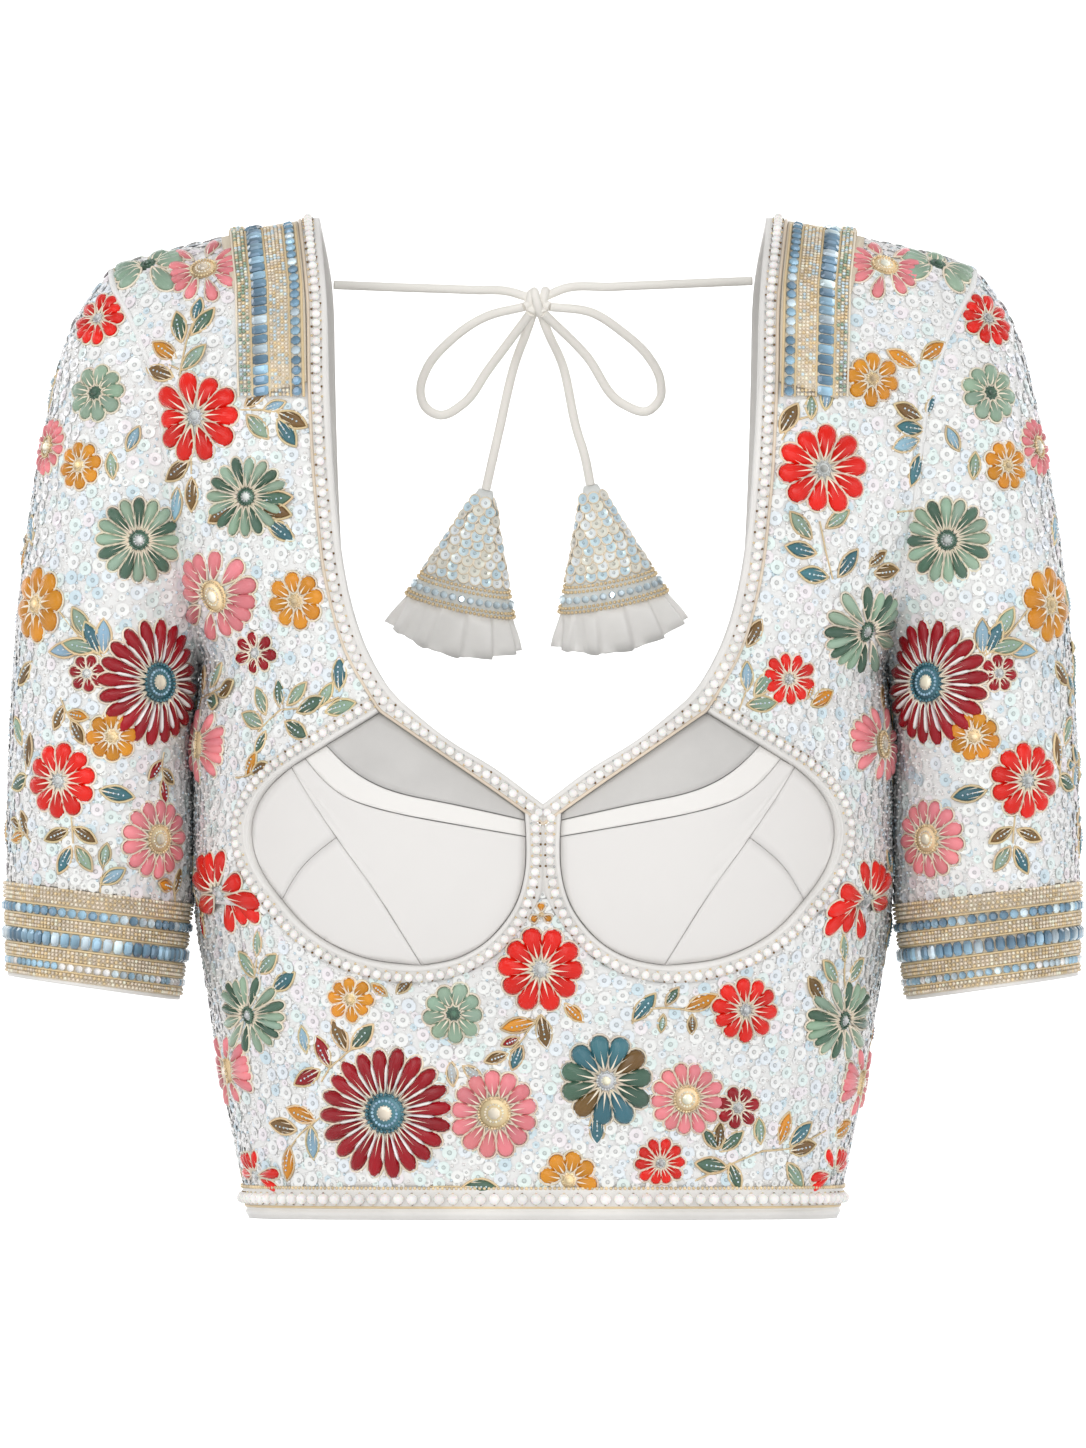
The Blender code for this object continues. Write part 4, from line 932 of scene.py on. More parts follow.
class Cloth:
    """One CAD panel remade as a smooth cloth shell of the same wall."""

    RIM_ANGLE = 0.87
    SMOOTHEST = 50.0            # degrees between faces that still shade as one
    MERGED = 2e-5
    FLAT_ENOUGH = (0.6, 1.2)    # how far two triangles may turn and skew, and be one quad
    LEVELS = 2
    OUTSIDE = 0.25              # least share of a face that looks outwards

    def __init__(self, node: str, finish: Finish, lining: Finish | None = None,
                 relief: Callable[[Array, Array], Array] | None = None) -> None:
        """Makes the shell.

        Args:
            node: The CAD node that it replaces.
            finish: The finish of its outer side.
            lining: The finish of its inner side, if that is different.
            relief: Gives how far each point is moved outwards, from places and directions.
        """
        self.node = node
        self.finish = finish
        self.sleeve = node.startswith(("sleeve", "cuff"))
        self.piece = self._divided()
        self._read()
        if relief:
            moved = self.points + relief(self.points, self.normals)[:, None] * self.normals
            self.piece.data.vertices.foreach_set("co", (moved * MM).ravel())
            self.piece.data.update()
            self._read()
        if lining:
            self.piece.data.materials.append(lining.material())
            inner = np.sum(self.face_normals * outward_of(self.centres, self.sleeve), axis=1) < 0
            self.piece.data.polygons.foreach_set("material_index", inner.astype(np.int32))
        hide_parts(node)

    def _divided(self) -> bpy.types.Object:
        """The node's mesh, merged, made of quads, creased at its rims and divided."""
        mesh = bmesh.new()
        mesh.from_mesh(bpy.data.objects[self.node].data)
        bmesh.ops.remove_doubles(mesh, verts=mesh.verts, dist=self.MERGED)
        bmesh.ops.join_triangles(mesh, faces=mesh.faces, angle_face_threshold=self.FLAT_ENOUGH[0],
                                 angle_shape_threshold=self.FLAT_ENOUGH[1])
        crease = mesh.edges.layers.float.new("crease_edge")
        for edge in mesh.edges:
            if len(edge.link_faces) == 2 and edge.calc_face_angle(0.0) > self.RIM_ANGLE:
                edge[crease] = 1.0
        data = bpy.data.meshes.new(f"{self.node}_cloth")
        mesh.to_mesh(data)
        mesh.free()
        rough = bpy.data.objects.new(f"{self.node}_rough", data)
        bpy.context.scene.collection.objects.link(rough)
        divide = rough.modifiers.new("divide", "SUBSURF")
        divide.levels = divide.render_levels = self.LEVELS
        fine = bpy.data.meshes.new_from_object(
            rough.evaluated_get(bpy.context.evaluated_depsgraph_get()))
        bpy.data.objects.remove(rough)
        fine.name = f"{self.node}_cloth"
        fine.materials.clear()
        fine.shade_smooth()
        fine.set_sharp_from_angle(angle=math.radians(self.SMOOTHEST))
        made = own(bpy.data.objects.new(f"{self.node}_cloth", fine), self.finish)
        log.info("%s: %d faces", made.name, len(fine.polygons))
        return made

    def _read(self) -> None:
        """Reads the shell's points and faces as arrays, in millimetres."""
        def column(items: Sequence, name: str, width: int = 3) -> Array:
            """One property of every vertex or face."""
            values = np.empty(width * len(items))
            items.foreach_get(name, values)
            return values.reshape(-1, width) if width > 1 else values

        data = self.piece.data
        self.points = column(data.vertices, "co") / MM
        self.normals = column(data.vertices, "normal")
        self.centres = column(data.polygons, "center") / MM
        self.face_normals = column(data.polygons, "normal")
        self.areas = column(data.polygons, "area", 1) / MM**2

    def outside(self) -> Array:
        """Which faces are on the outer side, leaving out the rims."""
        facing = np.sum(self.face_normals * outward_of(self.centres, self.sleeve), axis=1)
        return facing > self.OUTSIDE

    def declare(self, flat: tuple[float, float], area: float | None, held: str,
                rests_on: Sequence[str], with_pieces: Sequence[bpy.types.Object]) -> None:
        """Args:
            flat: The width and length that it was cut to, in millimetres. Not used.
            area: Its flat area in square millimetres, where the cut isn't a rectangle. Not used.
            held: How it is held. Not used.
            rests_on: What it hangs from or lies on. Not used.
            with_pieces: What is sewn on it. Not used.
        """


class Ground:
    """The outer side of several cloth shells, which needlework is sewn on."""

    def __init__(self, name: str, cloths: Sequence[Cloth]) -> None:
        """Gathers the shells' outer faces."""
        self.name = name
        verts: list[Vector] = []
        faces: list[list[int]] = []
        corners, normals, areas = [], [], []
        for cloth in cloths:
            start = len(verts)
            verts.extend(Vector(point) for point in cloth.points)
            keep = np.flatnonzero(cloth.outside())
            for index in keep:
                polygon = cloth.piece.data.polygons[int(index)]
                faces.append([start + v for v in polygon.vertices])
                corners.append([cloth.points[v] for v in polygon.vertices][:4])
            normals.append(cloth.face_normals[keep])
            areas.append(cloth.areas[keep])
        self.tree = BVHTree.FromPolygons(verts, faces)
        self.corners = np.array([(c * 2)[:4] if len(c) < 4 else c for c in corners])
        self.face_normals = np.concatenate(normals)
        self.areas = np.concatenate(areas)

    def seat(self, point: Array, reach: float = 1e9) -> tuple[Array, Array] | None:
        """The nearest place of the cloth, with its outward direction.

        Args:
            point: Where to look from.
            reach: How far away it may be.

        Returns:
            The place and direction, or None where the cloth has ended.
        """
        place, normal, _, distance = self.tree.find_nearest(Vector(point))
        if place is None or distance > reach:
            return None
        return np.array(place), np.array(normal)

    def strewn(self, pitch: float, clear: "Footprints", rng: np.random.Generator,
               tries: int) -> tuple[Array, Array]:
        """Random places a pitch apart, clear of what is already sewn on.

        Args:
            pitch: The least distance between places.
            clear: What they keep clear of.
            rng: The source of the draws.
            tries: How many places are tried.

        Returns:
            Points and outward directions.
        """
        share = np.cumsum(self.areas) / np.sum(self.areas)
        picks = np.searchsorted(share, rng.random(tries))
        u, v = rng.random((2, tries, 1))
        c = self.corners[picks]
        points = ((1 - u) * ((1 - v) * c[:, 0] + v * c[:, 3])
                  + u * ((1 - v) * c[:, 1] + v * c[:, 2]))
        cells: dict[tuple[int, int, int], list[Array]] = {}
        kept: list[int] = []
        for index, point in enumerate(points):
            key = tuple(np.floor(point / pitch).astype(int))
            near = (other for i in (-1, 0, 1) for j in (-1, 0, 1) for k in (-1, 0, 1)
                    for other in cells.get((key[0] + i, key[1] + j, key[2] + k), ()))
            if any(np.dot(point - other, point - other) < pitch**2 for other in near):
                continue
            if clear.covers(point):
                continue
            cells.setdefault(key, []).append(point)
            kept.append(index)
        return points[kept], self.face_normals[picks[kept]]


class Footprints:
    """Round areas of the cloth that are already covered."""

    CELL = 16.0

    def __init__(self) -> None:
        """Starts with none."""
        self.cells: dict[tuple[int, int, int], list[tuple[float, float, float, float]]] = {}

    def add(self, point: Array, radius: float) -> None:
        """Covers one round area, of a radius under one cell."""
        key = tuple(int(math.floor(v / self.CELL)) for v in point)
        self.cells.setdefault(key, []).append((*map(float, point), radius))

    def covers(self, point: Array, margin: float = 0.0) -> bool:
        """Whether a place is inside any covered area, or within a margin of one."""
        x, y, z = map(float, point)
        a, b, c = (int(math.floor(v / self.CELL)) for v in (x, y, z))
        for i in (a - 1, a, a + 1):
            for j in (b - 1, b, b + 1):
                for k in (c - 1, c, c + 1):
                    for px, py, pz, radius in self.cells.get((i, j, k), ()):
                        reach = radius + margin
                        if (x - px) ** 2 + (y - py) ** 2 + (z - pz) ** 2 < reach * reach:
                            return True
        return False


# ---------------------------------------------------------------- flowers and leaves
class Ring(NamedTuple):
    """A ring of beads in a flower's heart: its radius as a share of the heart, and the beads."""

    share: float
    bead: float
    tint: Tint


class Bloom(Enum):
    """The kinds of flower: petals, their colours, outline, heart share and heart rings."""

    RED = (10, (Tint.RED,), 0.21, Outline.TEARDROP, (Ring(0.72, 0.62, Tint.SILVER),))
    RUBY = (20, (Tint.RUBY,), 0.31, Outline.TEARDROP,
            (Ring(0.92, 0.85, Tint.TEAL), Ring(0.62, 0.75, Tint.SKY), Ring(0.34, 0.6, Tint.CREAM)))
    PINK = (13, (Tint.PINK,), 0.38, Outline.TEARDROP,
            (Ring(0.90, 0.62, Tint.GOLD), Ring(0.52, 0.62, Tint.CREAM)))
    MUSTARD = (8, (Tint.MUSTARD,), 0.28, Outline.PADDLE, (Ring(0.70, 0.5, Tint.GOLD),))
    SAGE = (9, (Tint.SAGE,), 0.26, Outline.PADDLE, (Ring(0.70, 0.55, Tint.GREEN),))
    GREEN = (16, (Tint.SAGE, Tint.GREEN, Tint.SAGE, Tint.SAGE, Tint.GREEN), 0.24,
             Outline.TEARDROP, (Ring(0.85, 0.6, Tint.GREEN), Ring(0.45, 0.55, Tint.SILVER)))
    TEAL = (11, (Tint.TEAL, Tint.TEAL, Tint.GREEN, Tint.GREEN, Tint.BROWN), 0.22,
            Outline.TEARDROP, (Ring(0.85, 0.6, Tint.SILVER), Ring(0.40, 0.5, Tint.CREAM)))
    CRIMSON = (7, (Tint.RUBY,), 0.28, Outline.PADDLE, (Ring(0.70, 0.5, Tint.SILVER),))
    TREFOIL = (3, (Tint.MUSTARD,), 0.20, Outline.TEARDROP, (Ring(0.70, 0.4, Tint.GOLD),))

    def __init__(self, petals: int, tints: tuple[Tint, ...], heart: float, outline: Outline,
                 rings: tuple[Ring, ...]) -> None:
        """Names the style's values."""
        self.petals = petals
        self.tints = tints
        self.heart = heart
        self.outline = outline
        self.rings = rings


class Leaves(Enum):
    """The colours that a sprig's leaves take in turn."""

    MOSS = (Tint.SAGE, Tint.GREEN)
    OLIVE = (Tint.BROWN, Tint.GREEN, Tint.SAGE)
    BRONZE = (Tint.BROWN, Tint.MUSTARD, Tint.BROWN)
    SEA = (Tint.TEAL, Tint.SKY, Tint.TEAL)
    FROST = (Tint.SKY, Tint.SILVER, Tint.SAGE)
    BERRY = (Tint.RUBY, Tint.BROWN)


class Flower(NamedTuple):
    """One flower: its kind, its place in the front view and its radius."""

    kind: Bloom
    x: float
    z: float
    radius: float


class Leaf(NamedTuple):
    """One leaf in the front view: its base, its tip and its colour."""

    x: float
    z: float
    tip_x: float
    tip_z: float
    tint: Tint


class Sprig(NamedTuple):
    """One sprig: which way it grows, its length, its leaves' count, length and colours."""

    angle: float
    length: float
    leaves: int
    leaf: float
    colours: Leaves


class Strewing(NamedTuple):
    """One pass of sequins: the least distance between them, their size, sides and tries."""

    pitch: float
    size: float
    sides: int
    tries: int


class Embroidery:
    """All the needlework on one stretch of cloth."""

    CORD = 1.15                 # couched cord round a petal or leaf
    STEM = 0.45                 # radius of a stem's cord
    SEQUIN = 3.0
    SEQUIN_PASSES = (Strewing(6.0, 1.0, 9, 18), Strewing(4.4, 0.60, 6, 8))
    SEQUIN_TINTS = ((0.95, 0.95, 0.94), (0.84, 0.94, 0.92), (0.86, 0.91, 0.96),
                    (0.95, 0.89, 0.92), (0.68, 0.81, 0.88))
    SEQUIN_SHARES = (0.52, 0.68, 0.84, 0.95)
    SEQUIN_LEAN = 0.16
    SEQUIN_SPREAD = (0.90, 0.2)     # least size, and how much more at random
    SEED_BEAD = 0.75
    SEED_BEAD_PITCH = 2.9
    SEED_BEAD_TRIES = 4
    STRIDE = 2.5                # longest step of a walk along the cloth
    STEP = 1.5                  # step of a walk that looks for the cloth's edge
    LONGEST = 1.8
    SEAM_STEPS = (0.0, 1.3, 2.6)
    OVERHANG = 0.9              # further than this beside the cloth, a walk has left it
    WHOLE = 0.78                # least share of a petal that is sewn
    FULLER = 1.07
    PETAL_START = 0.80          # as a share of the heart's radius
    PETAL_MIDDLE = 0.55
    PETAL_WIDEST = (0.76, 0.85)
    THICKEST = 3.0
    SPOKE = (0.62, 1.5, 2.0)    # share of a ruby petal's length, width and rise
    SPOKE_LIFT = 0.8
    HEART_CLEAR = 1.0
    SUNK = 0.35                 # how far a heart's beads sink into its cushion
    STEM_BEND = 30.0            # degrees
    BESIDE_STEM = (1.6, 1.4)    # kept clear beside a sprig's stem, and a couched one
    LEAF_LEAN = (38.0, 16.0)    # least degrees off the stem, and how many more at random
    LEAF_SPREAD = (0.85, 0.3)   # least size, and how much more at random
    TUCK = 3.5                  # how far a leaf may lie over what is already sewn
    LONGEST_LEAF = 15.5
    LEAF_REACH = 1.06
    LEAF_WIDTH = 0.46
    VEIN = (0.26, 0.40, 0.54, 0.68)
    VEIN_BEAD = 0.5
    COVERED = (0.3, 0.72)       # where a petal or leaf covers the cloth, along its length
    FACING_ASIDE = 0.3          # shorter than this, the sideways direction is taken anew

    def __init__(self, ground: Ground, seed: int, shown: float) -> None:
        """Starts with bare cloth.

        Args:
            ground: The cloth.
            seed: Sets the order of its random draws.
            shown: How far petals are lengthened where the cloth turns away from the front.
        """
        self.ground = ground
        self.shown = shown
        self.rng = np.random.default_rng(SEED + seed)
        self.clear = Footprints()
        self.petals, self.leaves, self.cording, self.beads, self.sequins = self.works = [
            Needlework(f"{ground.name}_{work}", finish) for work, finish in (
                ("petals", Cloths.PETAL), ("leaves", Cloths.LEAF), ("cording", Cloths.CORDING),
                ("beads", Cloths.BEADS), ("sequins", Cloths.SEQUINS))]
        self.stems: list[Rail] = []

    def _tinted(self, tint: Tint, spread: float = 0.16) -> Array:
        """A colour with the unevenness of dyed thread."""
        light = 1.0 + spread * (self.rng.random() - 0.5) * 2.0
        return np.clip(tint.rgb * light * (1.0 + 0.06 * (self.rng.random(3) - 0.5)), 0, 1)

    def _frame(self, place: Array, normal: Array) -> tuple[Array, Array]:
        """Sideways and upward directions in the cloth at a place."""
        across = np.array([1.0, 0.0, 0.0]) - normal[0] * normal
        if np.linalg.norm(across) < self.FACING_ASIDE:
            across = np.array([0.0, -np.sign(place[0]) * normal[0], 0.0]) + 1e-6
        across = unit(across)
        rise = np.cross(normal, across)
        return across, rise * (1.0 if rise[2] >= 0 else -1.0)

    def _padded(self, work: Needlework, shape: Outline, base: Array, way: Array, normal: Array,
                size: tuple[float, float, float], tint: Tint, outline: Tint) -> None:
        """Sews one padded petal or leaf with its couched cord.

        Args:
            work: The piece that the pad is joined to.
            shape: Its outline.
            base: Where it starts.
            way: Which way it points.
            normal: The cloth's outward direction.
            size: Its length, width and rise, read to the nearest half millimetre.
            tint: The pad's colour.
            outline: The cord's colour.
        """
        length, width, rise = (max(round(value * 2) / 2, least)
                               for value, least in zip(size, (3.0, 2.0, 0.8)))
        inside = pad(shape, length - self.CORD, width - self.CORD, rise)
        work.sew(inside, base + 0.5 * self.CORD * way, way, normal, self._tinted(tint))
        self.cording.sew(cord_ring(shape, length, width, self.CORD), base, way, normal,
                         self._tinted(outline, 0.10))
        for share in self.COVERED:
            self.clear.add(base + share * length * way, 0.30 * width + 0.12 * length)

    def _reached(self, start: Array, way: Array,
                 distance: float) -> tuple[Array, Array, Array] | None:
        """Walks along the cloth, and over the small drop where one panel ends at another.

        Args:
            start: The place where the walk begins.
            way: Its first direction.
            distance: How far it goes.

        Returns:
            The place, outward direction and forward direction at its end, or None where the
            cloth ends first.
        """
        steps = max(1, math.ceil(distance / self.STRIDE))
        place, normal = self.ground.seat(start)
        for _ in range(steps):
            aim = place + distance / steps * way
            for sunk in self.SEAM_STEPS:
                found = self.ground.seat(aim - sunk * normal, 2.0 * self.STRIDE)
                if found is None:
                    continue
                off = found[0] - aim
                if np.linalg.norm(off - np.dot(off, found[1]) * found[1]) < self.OVERHANG:
                    break
            else:
                return None
            place, normal = found
            way = unit(way - np.dot(way, normal) * normal)
        return place, normal, way

    def _stride(self, start: Array, way: Array, target: float) -> float:
        """How far a walk goes until it shows a distance away, or leaves the cloth.

        Args:
            start: The place where the walk begins.
            way: Its first direction.
            target: The distance between its ends, seen from the front.

        Returns:
            The distance walked.
        """
        gone, place = 0.0, start
        while gone < self.LONGEST * target:
            reached = self._reached(place, way, self.STEP)
            if reached is None:
                break
            place, _, way = reached
            gone += self.STEP
            if math.hypot(place[0] - start[0], place[2] - start[2]) >= target:
                break
        return gone - self.STEP / 2

    def flower(self, flower: Flower, aim: Array) -> None:
        """Sews one flower, leaving out the petals that would run off the cloth.

        Args:
            flower: What is sewn.
            aim: A place on or near the cloth, where its heart goes.
        """
        kind, radius = flower.kind, self.FULLER * flower.radius
        place, normal = self.ground.seat(aim)
        across, rise = self._frame(place, normal)
        heart = kind.heart * radius
        start = self.PETAL_START * heart
        length = radius - start
        pitch = 2 * math.pi / kind.petals
        widest, most = self.PETAL_WIDEST
        spoke_share, spoke_width, spoke_rise = self.SPOKE
        width = min(pitch * (start + widest * length), most * length)
        stretch = abs(normal[1]) ** -self.shown
        turn0 = self.rng.random() * 2 * math.pi if kind is not Bloom.TREFOIL else math.pi / 2
        for index in range(kind.petals):
            turn = turn0 + pitch * index
            way = unit(stretch * math.cos(turn) * across + math.sin(turn) * rise)
            walked = self._stride(place, way, radius) / radius
            if walked < self.WHOLE:
                continue
            longer = walked if walked < 1.0 else 1.0 + self.shown * (walked - 1.0)
            middle = self._reached(place, way, (start + self.PETAL_MIDDLE * length) * longer)
            if middle is None:
                continue
            middle, up, onward = middle
            self._padded(self.petals, kind.outline,
                         middle - self.PETAL_MIDDLE * length * longer * onward, onward, up,
                         (length * longer, width, min(self.THICKEST, 1.0 + 0.10 * radius)),
                         kind.tints[index % len(kind.tints)], Tint.CREAM)
            if kind is Bloom.RUBY:
                spoke = turn + pitch / 2
                between = unit(stretch * math.cos(spoke) * across + math.sin(spoke) * rise)
                base, out, ahead = self._reached(place, between, heart) or (place, normal, between)
                self.cording.sew(pad(Outline.PADDLE, round(spoke_share * length), spoke_width,
                                     spoke_rise, 8), base + self.SPOKE_LIFT * out, ahead, out,
                                 self._tinted(Tint.PEARL, 0.08))
        self._heart(place, across, rise, normal, heart, kind)

    def _heart(self, place: Array, across: Array, rise: Array, normal: Array, heart: float,
               kind: Bloom) -> None:
        """Sews a flower's beaded heart: a cushion, rings of beads and a stone.

        Args:
            place: Its middle.
            across: A direction in the cloth.
            rise: The direction in the cloth square to it.
            normal: The cloth's outward direction.
            heart: Its radius.
            kind: The kind of flower.
        """
        height = 1.0 + 0.10 * heart
        self.beads.sew(cut_stone(2 * heart, 2 * heart, height, 12), place, across, normal,
                       self._tinted(kind.rings[0].tint))
        for ring in kind.rings:
            reach = ring.share * heart
            count = max(5, int(2 * math.pi * reach / (2.0 * ring.bead)))
            turns = np.arange(count) * 2 * math.pi / count
            spots = place + reach * (np.cos(turns)[:, None] * across + np.sin(turns)[:, None]
                                     * rise) + (height - self.SUNK) * normal
            tints = np.array([self._tinted(ring.tint, 0.3) for _ in turns])
            self.beads.sew(bead(ring.bead), spots, across, normal, tints)
        stone = 0.62 * heart + 0.9
        self.beads.sew(cut_stone(stone, stone, 1.2), place + (height - 0.1) * normal, across,
                       normal, self._tinted(kind.rings[-1].tint, 0.3))
        self.clear.add(place, heart + self.HEART_CLEAR)

    def sprig(self, sprig: Sprig, aim: Array) -> None:
        """Sews one sprig of leaves along a curving stem.

        Args:
            sprig: What is sewn.
            aim: A place on or near the cloth, where its stem starts.
        """
        at, normal = self.ground.seat(aim)
        across, rise = self._frame(at, normal)
        bend = math.radians(self.STEM_BEND) * (self.rng.random() - 0.5) * 2.0
        lean_least, lean_more = self.LEAF_LEAN
        leaf_least, leaf_more = self.LEAF_SPREAD
        steps = 2 * sprig.leaves
        stem, ups = [at + self.STEM * normal], [normal]
        for index in range(steps):
            turn = math.radians(sprig.angle) + bend * index / steps
            way = math.cos(turn) * across + math.sin(turn) * rise
            reached = self._reached(at, way, sprig.length / steps)
            if reached is None:
                break
            at, normal, way = reached
            stem.append(at + self.STEM * normal)
            ups.append(normal)
            self.clear.add(at, self.BESIDE_STEM[0])
            if index == steps - 1:
                beside = way
            elif index % 2:
                side = 1.0 if (index // 2) % 2 else -1.0
                lean = side * math.radians(lean_least + lean_more * self.rng.random())
                beside = math.cos(lean) * way + math.sin(lean) * np.cross(normal, way)
            else:
                continue
            length = sprig.leaf * (leaf_least + leaf_more * self.rng.random())
            self._leaf(at, beside, normal, length,
                       sprig.colours.value[(index // 2) % len(sprig.colours.value)])
        if len(stem) > 2:
            self.stems.append(Rail(np.array(stem), np.array(ups)))

    def leaf(self, base: Array, tip: Array, tint: Tint) -> None:
        """Sews one leaf between two places on or near the cloth."""
        place, normal = self.ground.seat(base)
        way = tip - place
        length = min(self.LEAF_REACH * float(np.linalg.norm(way)), self.LONGEST_LEAF)
        self._leaf(place, unit(way - np.dot(way, normal) * normal), normal, length, tint,
                   -self.TUCK)

    def stem(self, places: Array) -> None:
        """Couches a stem along the cloth, through places on or near it."""
        seats = [self.ground.seat(point) for point in Rail(places, places).spaced(self.STRIDE)[0]]
        for place, _ in seats:
            self.clear.add(place, self.BESIDE_STEM[1])
        self.stems.append(Rail(np.array([place + self.STEM * normal for place, normal in seats]),
                               np.array([normal for _, normal in seats])))

    def _leaf(self, base: Array, way: Array, normal: Array, length: float, tint: Tint,
              margin: float = 0.0) -> None:
        """Sews one leaf, with a line of seed beads along it, where the cloth is free.

        Args:
            base: Where it starts.
            way: Which way it points.
            normal: The cloth's outward direction.
            length: Its length.
            tint: Its colour.
            margin: How far off what is already sewn it stays.
        """
        reached = self._reached(base, way, 0.9 * length)
        if reached is None or self.clear.covers(base + 0.62 * length * way, margin):
            return
        self._padded(self.leaves, Outline.LEAF, base, way, normal,
                     (length, self.LEAF_WIDTH * length, 0.8 + 0.06 * length), tint, Tint.GOLD)
        share = np.array(self.VEIN)[:, None]
        spots = base + share * length * way + (0.70 + 0.055 * length) * normal
        self.beads.sew(bead(self.VEIN_BEAD), spots, way, normal, self._tinted(Tint.ICE))

    def scatter_sprigs(self, count: int, room: float = 8.0, leaf: float = 11.0) -> None:
        """Fills open cloth with small sprigs of three leaves.

        Args:
            count: The most sprigs that are sewn.
            room: The free cloth that each needs round it.
            leaf: Its leaves' length.
        """
        points, normals = self.ground.strewn(2.2 * room, self.clear, self.rng, 60 * count)
        kinds = list(Leaves)
        made = 0
        for point, normal in zip(points, normals):
            if made >= count:
                break
            if self.clear.covers(point, room):
                continue
            angle = 360.0 * self.rng.random()
            across, rise = self._frame(point, normal)
            turn = math.radians(angle)
            aim = point - 0.7 * leaf * (math.cos(turn) * across + math.sin(turn) * rise)
            self.sprig(Sprig(angle, leaf, 3, leaf, kinds[int(self.rng.integers(len(kinds)))]), aim)
            made += 1

    def strew(self) -> None:
        """Fills what is left with sequins, then with seed beads between them."""
        area = float(np.sum(self.ground.areas))
        least, more = self.SEQUIN_SPREAD
        kinds = np.array(self.SEQUIN_TINTS)
        for pitch, size, sides, tries in self.SEQUIN_PASSES:
            points, normals = self.ground.strewn(pitch, self.clear, self.rng,
                                                 int(tries * area / pitch**2))
            lean = self.SEQUIN_LEAN * (self.rng.random(points.shape) - 0.5)
            picks = np.searchsorted(self.SEQUIN_SHARES, self.rng.random(len(points)))
            sizes = size * (least + more * self.rng.random(len(points)))
            turned = self.rng.random(points.shape) - 0.5
            self.sequins.sew(sequin(self.SEQUIN, sides), points, turned, normals + lean,
                             kinds[picks], sizes)
            for point in points:
                self.clear.add(point, 0.9 * size * self.SEQUIN)
        tries = int(self.SEED_BEAD_TRIES * area / self.SEED_BEAD_PITCH**2)
        points, normals = self.ground.strewn(self.SEED_BEAD_PITCH, self.clear, self.rng, tries)
        kinds = np.array([tint.rgb for tint in (Tint.PEARL, Tint.ICE, Tint.WHITE, Tint.PEARL)])
        self.beads.sew(bead(self.SEED_BEAD), points, (1.0, 0.0, 0.0), normals,
                       kinds[self.rng.integers(0, len(kinds), len(points))])

    def pieces(self) -> list[bpy.types.Object]:
        """The finished pieces."""
        made = [piece for piece in (work.finished() for work in self.works) if piece]
        if self.stems:
            made.append(corded(f"{self.ground.name}_stems", self.stems, self.STEM, Cloths.CORDING,
                               Tint.GOLD, 1.6, sides=0))
        return made


# ---------------------------------------------------------------- borders, bands and cuffs
@dataclass(frozen=True)
class Row:
    """One row of a trim: where it lies across the trim, and what is sewn along it.

    A share of 0 is the trim's first edge and 1 its second.
    """

    share: float
    stamp: Stamp | None
    pitch: float
    tints: tuple[Tint, ...]
    lift: float = 0.0
    finish: Finish = Cloths.BEADS
    radius: float = 0.0
    spread: float = 0.08
    across: bool = False
    shift: float = 0.5


def cord_row(share: float, radius: float, lift: float, tint: Tint = Tint.GOLD,
             finish: Finish = Cloths.CORDING) -> Row:
    """A row that is one cord."""
    return Row(share, None, 0, (tint,), lift, finish, radius)


@dataclass
class Strip:
    """A trim between two edges, with rows of pearls, stones and cords along it."""

    first: Array
    second: Array
    normals: Array
    seed: int = 0

    def rail(self, share: float, lift: float) -> Rail:
        """The line at a share across the strip."""
        points = (1 - share) * self.first + share * self.second
        return Rail(points + lift * self.normals, self.normals)

    def mirrored(self, seed: int) -> "Strip":
        """The same trim on the other side of the body."""
        return Strip(self.first * OTHER_SIDE, self.second * OTHER_SIDE, self.normals * OTHER_SIDE,
                     seed)

    def dressed(self, rows: Sequence[Row], works: "Trimmings") -> None:
        """Sews the rows on.

        Args:
            rows: What is sewn.
            works: The pieces that they are joined to.
        """
        rng = np.random.default_rng(SEED + 100 + self.seed)
        for row in rows:
            rail = self.rail(row.share, row.lift)
            if row.stamp is None:
                works.couch(rail, row.radius, row.tints[0], row.finish)
                continue
            points, along, up = rail.spaced(row.pitch, row.shift)
            if row.across:
                along = np.cross(up, along)
            palette = np.array([tint.rgb for tint in row.tints])
            tints = palette[rng.integers(0, len(palette), len(points))]
            light = 1.0 + row.spread * (2.0 * rng.random((len(points), 1)) - 1.0)
            works.work(row.finish).sew(row.stamp, points, along, up,
                                       np.clip(tints * light, 0.0, 1.0))


class Trimmings:
    """What is sewn on the trims of one part of the blouse, joined by finish."""

    def __init__(self, name: str) -> None:
        """Starts with nothing."""
        self.name = name
        self.works: dict[str, Needlework] = {}
        self.cords: dict[tuple[str, float, Tint], list[Rail]] = {}
        self.finishes: dict[str, Finish] = {}

    def work(self, finish: Finish) -> Needlework:
        """The joined piece of one finish."""
        if finish.name not in self.works:
            self.works[finish.name] = Needlework(f"{self.name}_{finish.name}", finish)
        return self.works[finish.name]

    def couch(self, rail: Rail, radius: float, tint: Tint, finish: Finish) -> None:
        """Adds one cord; those of one finish, radius and colour are joined."""
        self.finishes[finish.name] = finish
        self.cords.setdefault((finish.name, radius, tint), []).append(rail)

    def pieces(self) -> list[bpy.types.Object]:
        """The finished pieces."""
        made = [work.finished() for work in self.works.values()]
        for index, ((finish, radius, tint), rails) in enumerate(self.cords.items()):
            made.append(corded(f"{self.name}_{finish}_{index}", rails, radius,
                               self.finishes[finish], tint, 2.5))
        return [piece for piece in made if piece]


PEARL = bead(1.95, 2)
PEARL_PITCH = 4.6
HEM_PEARL = bead(2.55, 2)
HEM_PITCH = 5.95
SEED_GOLD = bead(0.85)
TINY = bead(0.6)


